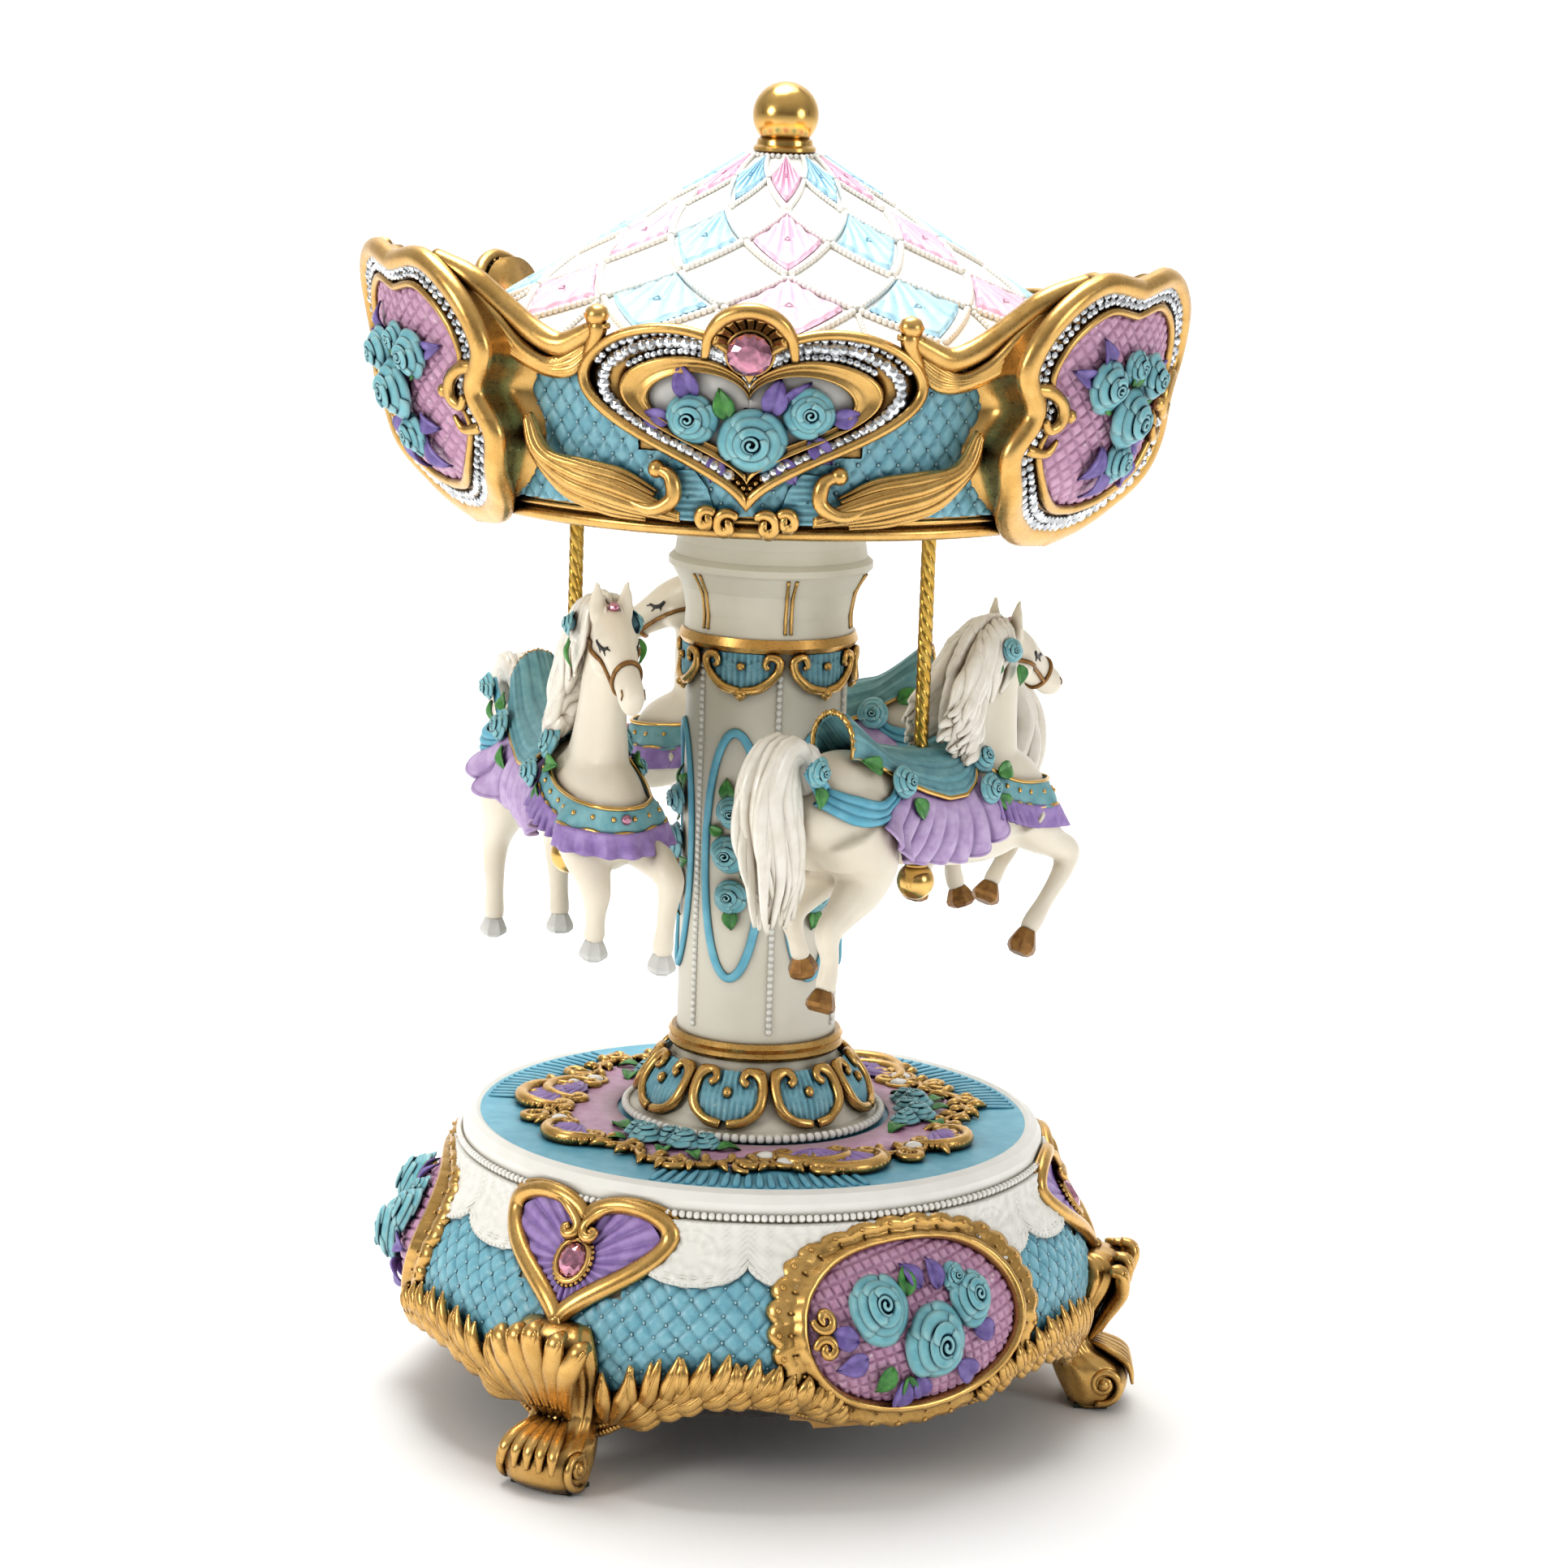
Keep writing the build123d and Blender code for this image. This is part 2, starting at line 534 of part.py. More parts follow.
def comb():
    """The steel comb: tuned teeth cut in a plate, their tips just short of the pins."""
    tips = -(CYLINDER_RADIUS + PIN_HEIGHT + 0.12)
    width = CYLINDER_END - CYLINDER_START
    back = -24.0
    centre = (CYLINDER_START + CYLINDER_END) / 2
    plate = Pos(centre, (tips + back) / 2, CYLINDER_AXIS) * Box(width, tips - back, 1.0)
    pitch = width / NOTES
    cuts = []
    for note in range(1, NOTES):
        x = CYLINDER_START + pitch * note
        length = 8.0 + 2.2 * (NOTES - note) / NOTES
        cuts.append(Pos(x, tips - length / 2 + 0.5, CYLINDER_AXIS) * Box(0.22, length + 1, 3))
    plate = plate - cuts
    for x, y in COMB_SCREWS:
        plate -= Pos(x, y, CYLINDER_AXIS - 2) * Cylinder(0.9, 4, align=ALIGN_UP)
    return plate


def comb_block():
    """The cast block between the plate and the comb."""
    width = CYLINDER_END - CYLINDER_START
    low = CYLINDER_AXIS + 0.5
    middle = Pos((CYLINDER_START + CYLINDER_END) / 2, -20.5, (low + PLATE_BOTTOM) / 2)
    block = middle * Box(width, 7.0, PLATE_BOTTOM - low)
    for x, y in COMB_SCREWS:
        block -= Pos(x, y, low) * Cylinder(0.9, 4, align=ALIGN_UP)
    return block


def bearing_brackets():
    """The outer end plate that carries all three shafts, and the inner governor bracket."""
    low = GOVERNOR_Z - 5.2
    outer = END_PLATE_X + END_PLATE_WIDTH
    plate = box_between((END_PLATE_X, -3.0, low), (outer, WORM_Y + 1.6, FAN_BOTTOM - 0.8))
    plate += box_between((END_PLATE_X, -3.0, low), (outer, WORM_Y - FAN_RADIUS - 0.6, PLATE_BOTTOM))
    plate += box_between((WORM_X - 1.6, WORM_Y - 1.6, low), (END_PLATE_X + 0.2, WORM_Y + 1.6, low + 1.0))
    for y, z, radius in ((0, CYLINDER_AXIS, ARBOR_RADIUS), (GOVERNOR_Y, GOVERNOR_Z, 0.6)):
        plate -= rod((END_PLATE_X - 1, y, z), (END_PLATE_X + 3, y, z), radius + FIT)
    plate -= Pos(WORM_X, WORM_Y, low - 1) * Cylinder(0.5 + FIT, 3, align=ALIGN_UP)
    leg = box_between((36.6, GOVERNOR_Y + 1.2, GOVERNOR_Z - 1.6), (37.8, GOVERNOR_Y + 3.8, PLATE_BOTTOM))
    leg += box_between((36.6, GOVERNOR_Y - 1.3, GOVERNOR_Z - 1.6), (37.8, GOVERNOR_Y + 3.8, GOVERNOR_Z + 1.3))
    leg -= rod((36, GOVERNOR_Y, GOVERNOR_Z), (39, GOVERNOR_Y, GOVERNOR_Z), 0.6 + FIT)
    return group([plate, leg])


def box_between(low, high):
    size = [b - a for a, b in zip(low, high)]
    return Pos(*low) * Box(*size, align=(Align.MIN, Align.MIN, Align.MIN))


def worm():
    """The governor worm with its shaft and the two-bladed fan above it."""
    core = WORM_RADIUS - 1.1 * WORM_MODULE
    length = WORM_TURNS * WORM_PITCH
    path = Helix(WORM_PITCH, length, core)
    half = WORM_PITCH / 4
    section = Polyline((-0.15, -half * 1.15), (0.8 * WORM_MODULE + 0.4, -half * 0.42),
                       (0.8 * WORM_MODULE + 0.4, half * 0.42), (-0.15, half * 1.15), close=True)
    face = Plane(origin=path @ 0, x_dir=(1, 0, 0), z_dir=path % 0) * make_face(section)
    thread = sweep(face, path=path, is_frenet=True)
    start = GOVERNOR_Z - 2.5 * WORM_PITCH
    screw = Pos(0, 0, start) * Rot(0, 0, -90) * thread
    screw += Pos(0, 0, start - 0.5) * Cylinder(core, length + 1.0, align=ALIGN_UP)
    low = GOVERNOR_Z - 5.2
    screw += Pos(0, 0, low) * Cylinder(0.5, PLATE_BOTTOM + 1.0 - low, align=ALIGN_UP)
    screw += Pos(0, 0, FAN_BOTTOM - 0.3) * Cylinder(1.0, FAN_HEIGHT + 0.6, align=ALIGN_UP)
    screw += Pos(0, 0, FAN_BOTTOM + FAN_HEIGHT / 2) * Box(2 * FAN_RADIUS, 0.5, FAN_HEIGHT)
    return Pos(WORM_X, WORM_Y, 0) * screw


def movement_pieces():
    save(bedplate() + comb_block(), "movement_plate")
    screws = []
    for x, y in PLATE_SCREWS:
        head = Pos(x, y, PLATE_BOTTOM - 1.0) * Cylinder(1.7, 1.0, align=ALIGN_UP)
        screws.append(head + Pos(x, y, PLATE_BOTTOM) * Cylinder(0.88, 4.2, align=ALIGN_UP))
    save(spring_housing(), "spring_housing")
    save(mainspring(), "mainspring")
    save(comb(), "comb")
    for x, y in COMB_SCREWS:
        head = Pos(x, y, CYLINDER_AXIS - 1.3) * Cylinder(1.6, 0.8, align=ALIGN_UP)
        screws.append(head + Pos(x, y, CYLINDER_AXIS - 0.5) * Cylinder(0.88, 4.0, align=ALIGN_UP))
    save(group(screws), "movement_screws")
    save(bearing_brackets(), "bearing_brackets")
    bore = SPINDLE_RADIUS + FIT
    bush = ring(bore, 5.0, PLATE_BOTTOM, PLATFORM_TOP)
    bush += ring(bore, 7.0, PLATFORM_TOP, PLATFORM_TOP + WASHER_THICKNESS)
    save(bush, "spindle_bush")
    save(great_wheel(), "great_wheel")
    spindle = disc(SPINDLE_RADIUS, WHEEL_TOP, SPINDLE_TOP)
    save(spindle, "drive_spindle")
    save(music_cylinder(), "music_cylinder")
    pinion = along_x(gear(PINION_TEETH, CROWN_MODULE, CROWN_FACE + 0.6, ARBOR_RADIUS),
                     CROWN_RADIUS - CROWN_FACE / 2 - 0.3, 0, CYLINDER_AXIS, (0, 0, 1))
    end_wheel = along_x(gear(END_WHEEL_TEETH, END_MODULE, END_WHEEL_WIDTH, ARBOR_RADIUS),
                        END_WHEEL_X, 0, CYLINDER_AXIS, (0, 1, -1))
    arbor = rod((12.3, 0, CYLINDER_AXIS), (END_PLATE_X + END_PLATE_WIDTH, 0, CYLINDER_AXIS), ARBOR_RADIUS)
    save(group([arbor, pinion, end_wheel]), "cylinder_arbor")
    gap = radians(135 + 180 / END_PINION_TEETH)
    small = along_x(gear(END_PINION_TEETH, END_MODULE, END_WHEEL_WIDTH + 0.4, 0, 0.07),
                    END_WHEEL_X - 0.2, GOVERNOR_Y, GOVERNOR_Z, (0, cos(gap), sin(gap)))
    large = along_x(gear(WORM_WHEEL_TEETH, WORM_MODULE, WORM_WHEEL_WIDTH, 0, 0.12),
                    WORM_WHEEL_X, GOVERNOR_Y, GOVERNOR_Z, (0, 1, 0))
    shaft = rod((36.6, GOVERNOR_Y, GOVERNOR_Z), (END_PLATE_X + END_PLATE_WIDTH, GOVERNOR_Y, GOVERNOR_Z), 0.6)
    save(shaft + small + large, "governor_wheel")
    save(worm(), "governor_worm")
    arbor = disc(WINDING_RADIUS, 17.0, WHEEL_UNDER - 1.6) + disc(1.5, WHEEL_UNDER - 1.7, WHEEL_UNDER + 0.6)
    save(arbor, "winding_arbor")
    save(winding_key(), "winding_key")


def winding_key():
    """A flat butterfly key on a round stem, turned from below."""
    wing = Pos(6.4, 6.6) * Ellipse(6.2, 4.4) - Pos(6.8, 6.6) * Ellipse(2.8, 1.9)
    outline = wing + mirror(wing, Plane.YZ) + Pos(0, 8.2) * Rectangle(5.0, 6.0)
    wings = extrude(Plane.XZ.offset(-1.1) * outline, 2.2)
    wings = Pos(0, 0, KEY_BOTTOM - 2.2) * wings
    stem = disc(2.6, 8.6, 17.0)
    return wings + stem


# ---- column ---------------------------------------------------------------------------------
def column_pieces():
    bell = lathe([(0, BELL_BOTTOM), (24.3, BELL_BOTTOM), (24.3, 57.6), (22.6, 58.2), (21.4, 60.0),
                  (20.4, 63.0), (18.0, 66.4), (16.2, 68.4), (15.6, COLUMN_BOTTOM), (0, COLUMN_BOTTOM)])
    bell -= disc(SPINDLE_RADIUS, BELL_BOTTOM - 1, SPINDLE_TOP)
    shield = mirrored_outline([(0, 59.0), (4.2, 61.0), (5.2, 64.5), (3.6, 68.0), (0, 67.0)])
    bell_wall = [(22.6, 58.2), (21.4, 60.0), (20.4, 63.0), (18.0, 66.4), (16.2, 68.4)]
    shields = around(prism(shield, 5, 40) & band(bell_wall, 0, 1.4), -14.0, BELL_SHIELDS)
    save(bell, "column_foot")
    pearls = lathe([(24.3, BELL_BOTTOM), (25.6, BELL_BOTTOM + 0.2), (25.8, 57.4), (25.0, 58.0), (24.3, 57.6)])

    shaft = ring(COLUMN_BORE, COLUMN_RADIUS, COLUMN_BOTTOM, COLUMN_TOP)
    wreath = prism(oval(6.4, 24.5, WREATH_CENTRE) - oval(5.0, 22.8, WREATH_CENTRE), 5, 30)
    wreaths = around(wreath & ring(COLUMN_RADIUS, COLUMN_RADIUS + 0.7, 80, 140), WREATH_AZIMUTH, COLUMN_SIDES)
    strip = prism(Pos(0, 112) * Rectangle(1.5, 72), 5, 30) & ring(COLUMN_RADIUS, COLUMN_RADIUS + 0.8, 76, 148)
    strips = around(strip, WREATH_AZIMUTH + 30, COLUMN_SIDES)
    save(shaft, "column_shaft")
    save(group(wreaths), "column_wreaths")
    save(group(strips + [pearls]), "column_pearls")
    flowers = []
    for height in (WREATH_CENTRE - 9, WREATH_CENTRE, WREATH_CENTRE + 9):
        bud = mounted(rose(2.3), 0, COLUMN_RADIUS + 1.15, height) - disc(COLUMN_RADIUS, 90, 130)
        flowers.extend(around(bud, WREATH_AZIMUTH, COLUMN_SIDES))
    save(group(flowers), "column_roses")

    foot_ring = lathe([(COLUMN_RADIUS, 70.2), (16.4, 70.2), (17.0, 71.0), (16.5, 71.8), (17.0, 72.7),
                       (16.4, 73.6), (COLUMN_RADIUS, 73.6)])
    top_ring = lathe([(COLUMN_RADIUS, 149.4), (16.6, 149.4), (17.2, 150.4), (16.6, 152.0),
                      (COLUMN_RADIUS, 152.0)])
    save(group([foot_ring, top_ring]), "column_rings")
    swag = mirrored_outline([(0, 142.0), (5.2, 144.4), (6.6, 149.2), (3.0, 149.3), (0, 149.3)])
    skin = ring(COLUMN_RADIUS, COLUMN_RADIUS + 1.6, 140, 149.39)
    swags = around(prism(swag, 5, 30) & skin, SWAG_AZIMUTH, COLUMN_SIDES)
    swags = [piece - group(strips) for piece in swags]
    save(group(swags + shields), "column_shields")
    capital = lathe([(COLUMN_BORE, COLUMN_TOP), (16.2, COLUMN_TOP), (16.0, 155.5), (16.8, 160.0),
                     (18.8, 163.6), (19.5, 164.2), (19.5, 165.4), (18.4, 166.4), (18.0, 169.0),
                     (18.0, CAPITAL_TOP), (COLUMN_BORE, CAPITAL_TOP)])
    save(capital, "capital")


# ---- canopy ---------------------------------------------------------------------------------
def roof_height(radius):
    return ROOF_TOP - ROOF_SLOPE * (radius - ROOF_TOP_RADIUS)


def canopy_pieces():
    floor = disc(CANOPY_FLOOR_RADIUS, CANOPY_BOTTOM, CANOPY_FLOOR_TOP)
    for azimuth in pole_azimuths():
        hole = Pos(0, -POLE_CIRCLE, CANOPY_BOTTOM - 1) * Cylinder(POLE_RADIUS, 6, align=ALIGN_UP)
        floor -= turned(hole, azimuth)
    save(floor, "canopy_floor")
    wall = [point for point in CANOPY_WALL if point[1] <= CANOPY_TOP]
    eave = roof_height(CANOPY_INNER)
    body = lathe(wall + [(61.0, CANOPY_TOP + 0.8), (CANOPY_INNER, eave), (CANOPY_INNER, 184.0),
                         (CANOPY_FLOOR_RADIUS, CANOPY_FLOOR_TOP), (CANOPY_FLOOR_RADIUS, CANOPY_BOTTOM)])
    save(body, "canopy_wall")

    heart_cut = prism(heart(*CANOPY_HEART))
    pearl_cut = prism(heart(*CANOPY_HEART_PEARL))
    inner_cut = prism(heart(*CANOPY_HEART_INNER))
    frame = (heart_cut - pearl_cut) & band(CANOPY_WALL, 0, 3.0)
    mantle = (pearl_cut - inner_cut) & band(CANOPY_WALL, 0, 2.2)
    panel = inner_cut & band(CANOPY_WALL, 0, 0.8)
    roses = []
    for azimuth, height, size in ((0, 193.5, 5.0), (-8.0, 199.2, 4.0), (8.0, 199.4, 4.0)):
        roses.append(mounted(rose(size), azimuth, wall_radius(CANOPY_WALL, height) + 2.4, height))
    core = lathe([(0, CANOPY_BOTTOM)] + CANOPY_WALL + [(0, 220.0)])
    for flower in roses:
        mantle -= flower
    save(group(around(frame + mantle, CANOPY_HEART_AZIMUTH)), "canopy_heart_frames")
    save(group(around(panel, CANOPY_HEART_AZIMUTH)), "canopy_heart_panels")
    flowers = []
    skin = band(CANOPY_WALL, 0, 0.8)
    for flower in roses:
        flowers.extend(around(flower - core - skin, CANOPY_HEART_AZIMUTH))
    shell_outline = mirrored_outline([(0, 212.0), (5.2, 213.2), (7.0, 216.0), (4.4, 218.8), (0, 219.4)])
    crest = prism(shell_outline) & band(CANOPY_WALL, 0, 4.4)
    gem = mounted(Pos(0, 0, 1.4) * Cylinder(2.6, 2.8), 0, 66.2, 211.2)
    crest = crest - (frame + gem)
    shell = group(around(crest, CANOPY_HEART_AZIMUTH))
    save(shell, "canopy_crests")
    save(group(around(gem, CANOPY_HEART_AZIMUTH)), "canopy_gems")

    flare_cut = prism(mirrored_outline(FLARE_OUTLINE))
    inner_outline = [(x * 0.72, 201.0 + (z - 201.0) * 0.72) for x, z in FLARE_OUTLINE]
    opening = prism(mirrored_outline(inner_outline))
    solid = lathe(FLARE_INNER + list(reversed(FLARE_OUTER)))
    body = flare_cut & solid
    rim = (flare_cut - opening) & band(FLARE_OUTER, 0, 1.4)
    panel = opening & band(FLARE_OUTER, 0, 0.6)
    roses = []
    for shift, height, size in ((0, 199.0, 4.6), (-7.0, 206.0, 3.8), (6.6, 205.0, 3.8), (1.0, 190.0, 3.4)):
        radius = wall_radius(FLARE_OUTER, height)
        roses.append(mounted(rose(size), shift, radius + 0.6 * size, height))
    flare_core = lathe([(0, 176.8)] + FLARE_OUTER + [(0, 224.0)])
    for flower in roses:
        panel -= flower
    save(group(around(body, FLARE_AZIMUTH)), "flare_bodies")
    save(group(around(rim, FLARE_AZIMUTH)), "flare_rims")
    save(group(around(panel, FLARE_AZIMUTH)), "flare_panels")
    for flower in roses:
        flowers.extend(around(flower - flare_core, FLARE_AZIMUTH))
    save(group(flowers), "canopy_roses")
    roof_pieces(eave)


def roof_pieces(eave):
    drop = ROOF_THICKNESS
    roof = lathe([(0, ROOF_TOP), (ROOF_TOP_RADIUS, ROOF_TOP), (CANOPY_INNER, eave),
                  (CANOPY_INNER, eave - drop), (ROOF_TOP_RADIUS, ROOF_TOP - drop), (0, ROOF_TOP - drop)])
    save(roof, "roof_cone")
    start = ROOF_TOP_RADIUS + 0.6
    crown = roof_height(start)
    skin = lathe([(start, crown), (CANOPY_INNER, eave), (CANOPY_INNER, eave + 0.7), (start, crown + 0.7)])
    half_turn = pi / ROOF_COLUMNS
    colours = {0: [], 1: []}
    for column in range(ROOF_COLUMNS):
        for radius in ROOF_ROWS:
            near = radius - ROOF_ROW_HALF * 0.9
            far = radius + ROOF_ROW_HALF * 0.9
            side = radius * sin(half_turn * 0.86)
            kite = make_face(Polyline((0, -near), (side, -radius), (0, -far), (-side, -radius), close=True))
            lozenge = Pos(0, 0, 200) * extrude(kite, 50) & skin
            colours[column % 2].append(turned(lozenge, 2.0 + 30.0 * column))
    save(group(colours[0]), "roof_lozenges_pink")
    save(group(colours[1]), "roof_lozenges_blue")
    finial = lathe([(0, ROOF_TOP), (5.4, ROOF_TOP), (5.9, 242.2), (5.9, 242.8), (5.3, 243.3), (5.2, 244.2),
                    (4.4, 244.8), (0, 244.8)])
    finial += Pos(0, 0, TOTAL_HEIGHT - 6.2) * Sphere(6.2)
    save(finial, "finial")


# ---- horses ---------------------------------------------------------------------------------
def pole_azimuths():
    return [HORSE_AZIMUTH + SECTOR * i for i in range(FOLDS)]


def body_solid(growth=0.0):
    """The barrel of the horse, flattened at its sides and grown outwards for the pieces it wears."""
    points = [(a + (growth if a > 0 else -growth), r + growth if r else 0.0) for a, r in BODY_PROFILE]
    barrel = revolve(make_face(Polyline(*points, close=True)), Axis.X)
    width = 2 * (BODY_HALF_WIDTH + growth)
    return Pos(0, 0, BODY_AXIS) * (barrel & Box(120, width, 60))


def limb(points):
    """Tapered bars with rounded joints along a list of (a, side, z, radius)."""
    solid = None
    for (a0, t0, z0, r0), (a1, t1, z1, r1) in zip(points, points[1:]):
        piece = rod((a0, t0, z0), (a1, t1, z1), r0, r1 * 0.999)
        piece = piece + Pos(a1, t1, z1) * Sphere(r1 * 1.03)
        solid = piece if solid is None else solid + piece
    return solid


def worn_pieces():
    """The skirted cloth and the saddle, each lying on the piece below it."""
    cloth = (body_solid(1.2) - body_solid()) & box_between((-18, -20, 115.6), (11, 20, 150))
    seat = (body_solid(2.8) - body_solid(1.2)) & box_between((-15, -20, 127.5), (7, 20, 150))
    arch = Pos(0, 0, 133.4) * Rot(0, 90, 0) * Cylinder(8, 60)
    cantle = box_between((-18.6, -6.4, 134.6), (-15.0, 6.4, 141.4)) & arch
    cantle = cantle - body_solid(1.2)
    return cloth, seat + cantle


def horse_pieces():
    cloth, seat = worn_pieces()
    clearance = body_solid(2.8) & box_between((-18.6, -20, 115.6), (11, 20, 150))
    chains = [limb(chain) for chain in HORSE_LIMBS]
    rest = body_solid()
    for chain in chains:
        rest = rest + (chain - clearance)
    hole = Pos(0, 0, POLE_BOTTOM - 4) * Cylinder(POLE_RADIUS, 60, align=ALIGN_UP)
    rest = rest - hole
    cloth = cloth - hole
    seat = seat - hole
    pole = disc(POLE_RADIUS, POLE_BOTTOM, CANOPY_FLOOR_TOP)
    ball = Pos(0, 0, BALL_CENTRE) * Sphere(BALL_RADIUS) - disc(POLE_RADIUS, POLE_BOTTOM, 120)
    cloths = []
    seats = []
    poles = []
    for i, azimuth in enumerate(pole_azimuths()):
        place = Rot(0, 0, azimuth) * Pos(0, -POLE_CIRCLE, 0)
        save(group([place * rest]), f"horse_{i + 1}")
        cloths.append(place * cloth)
        seats.append(place * seat)
        poles.append(place * pole)
        poles.append(place * ball)
    save(group(cloths), "saddle_cloths")
    save(group(seats), "saddles")
    save(group(poles), "poles")


base_pieces()
platform_pieces()
cover_pieces()
movement_pieces()
column_pieces()
canopy_pieces()
horse_pieces()
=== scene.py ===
from math import cos, pi, radians, sin, sqrt
import bpy
import numpy as np
from mathutils import Matrix, Vector
from mathutils.bvhtree import BVHTree


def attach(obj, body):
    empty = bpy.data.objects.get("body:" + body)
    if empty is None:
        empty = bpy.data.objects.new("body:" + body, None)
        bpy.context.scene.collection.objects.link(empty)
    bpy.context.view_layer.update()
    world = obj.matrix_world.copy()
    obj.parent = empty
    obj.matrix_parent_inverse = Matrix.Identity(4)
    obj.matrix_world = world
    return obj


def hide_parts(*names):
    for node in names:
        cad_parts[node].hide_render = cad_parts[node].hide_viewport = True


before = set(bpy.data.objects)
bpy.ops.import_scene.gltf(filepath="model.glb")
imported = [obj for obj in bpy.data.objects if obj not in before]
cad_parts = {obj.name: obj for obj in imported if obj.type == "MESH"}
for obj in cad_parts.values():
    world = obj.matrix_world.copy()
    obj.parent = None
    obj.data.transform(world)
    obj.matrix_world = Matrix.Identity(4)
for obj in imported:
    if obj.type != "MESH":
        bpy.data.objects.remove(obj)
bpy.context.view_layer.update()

# Carousel music box.  Ornaments are made in millimetres as flat (u, v, h) meshes: u across, v up and
# h outwards.  They are then wrapped on a wall of revolution.  Azimuth 0 faces -Y and grows towards +X.
MM = 0.001
RNG = np.random.default_rng(7)
TAU = 2 * pi

FOLDS = 3
FOOT_AZ = -31.0
OVAL_AZ = 29.0
HEART_AZ = -4.2
FLARE_AZ = 55.8
HORSE_AZ = 48.7
POLE_CIRCLE = 38.6
DECK = 56.0
BARREL_Z = 123.5        # height of the horses' barrel axis
BALL_Z = 108.9          # centre of the ball under each pole
BASE_WALL = [(61.5, 13.0), (62.5, 15.0), (64.5, 20.0), (66.0, 24.0), (66.3, 29.0), (65.0, 34.0), (61.5, 40.0),
             (57.6, 46.0), (56.5, 50.8), (56.5, 54.0)]
CANOPY_WALL = [(57.5, 176.8), (60.0, 180.0), (61.5, 186.0), (62.3, 195.0), (62.8, 205.0), (63.2, 210.0),
               (64.0, 220.0)]
FLARE_WALL = [(58.4, 176.8), (63.4, 181.5), (69.0, 188.0), (72.0, 198.0), (73.6, 207.0), (75.6, 217.0),
              (76.4, 224.0)]
FLARE_BACK = [(57.5, 176.8), (60.0, 180.0), (61.5, 186.0), (62.3, 195.0), (62.8, 205.0), (63.2, 210.0),
              (69.5, 217.0), (73.0, 224.0)]
FLARE_OUTLINE = [(0.0, 176.8), (10.0, 178.2), (20.0, 184.0), (25.5, 193.0), (22.5, 201.0), (26.0, 209.0),
                 (22.0, 218.0), (12.0, 223.8), (0.0, 222.4)]
BELL_WALL = [(24.3, 56.6), (24.3, 57.6), (22.6, 58.2), (21.4, 60.0), (20.4, 63.0), (18.0, 66.4), (16.2, 68.4),
             (15.6, 70.2)]
SHAFT_WALL = [(15.4, 60.0), (15.4, 152.0)]
CAPITAL_WALL = [(16.2, 152.0), (16.0, 155.5), (16.8, 160.0), (18.8, 163.6), (19.5, 164.2), (19.5, 165.4)]
ROOF_TOP, ROOF_TOP_R, ROOF_SLOPE = 241.7, 5.5, 0.617


# ---- materials --------------------------------------------------------------------------------
def srgb(r, g, b):
    """Linear RGBA of an 8-bit sRGB colour."""
    out = []
    for c in (r, g, b):
        c = c / 255
        out.append(c / 12.92 if c <= 0.04045 else ((c + 0.055) / 1.055) ** 2.4)
    return (*out, 1.0)


def node(tree, kind, **values):
    """A node with its properties or input sockets set."""
    made = tree.nodes.new(kind)
    for name, value in values.items():
        if name in made.inputs:
            made.inputs[name].default_value = value
        else:
            setattr(made, name, value)
    return made


def mix(tree, factor, a, b):
    """A colour mix of two sockets or constant colours."""
    made = tree.nodes.new("ShaderNodeMix")
    made.data_type = "RGBA"
    tree.links.new(factor, made.inputs[0])
    for socket, value in ((made.inputs[6], a), (made.inputs[7], b)):
        if isinstance(value, tuple):
            socket.default_value = value
        else:
            tree.links.new(value, socket)
    return made.outputs[2]


def ramp(tree, source, low, high):
    """Map a socket from low..high to 0..1."""
    made = tree.nodes.new("ShaderNodeMapRange")
    made.inputs["From Min"].default_value = low
    made.inputs["From Max"].default_value = high
    tree.links.new(source, made.inputs["Value"])
    return made.outputs["Result"]


def noise(tree, scale, detail=4.0, rough=0.55):
    """Noise over the object's own coordinates; scale is per metre."""
    where = tree.nodes.new("ShaderNodeTexCoord")
    made = node(tree, "ShaderNodeTexNoise", Scale=scale, Detail=detail, Roughness=rough)
    tree.links.new(where.outputs["Object"], made.inputs["Vector"])
    return made.outputs["Fac"]


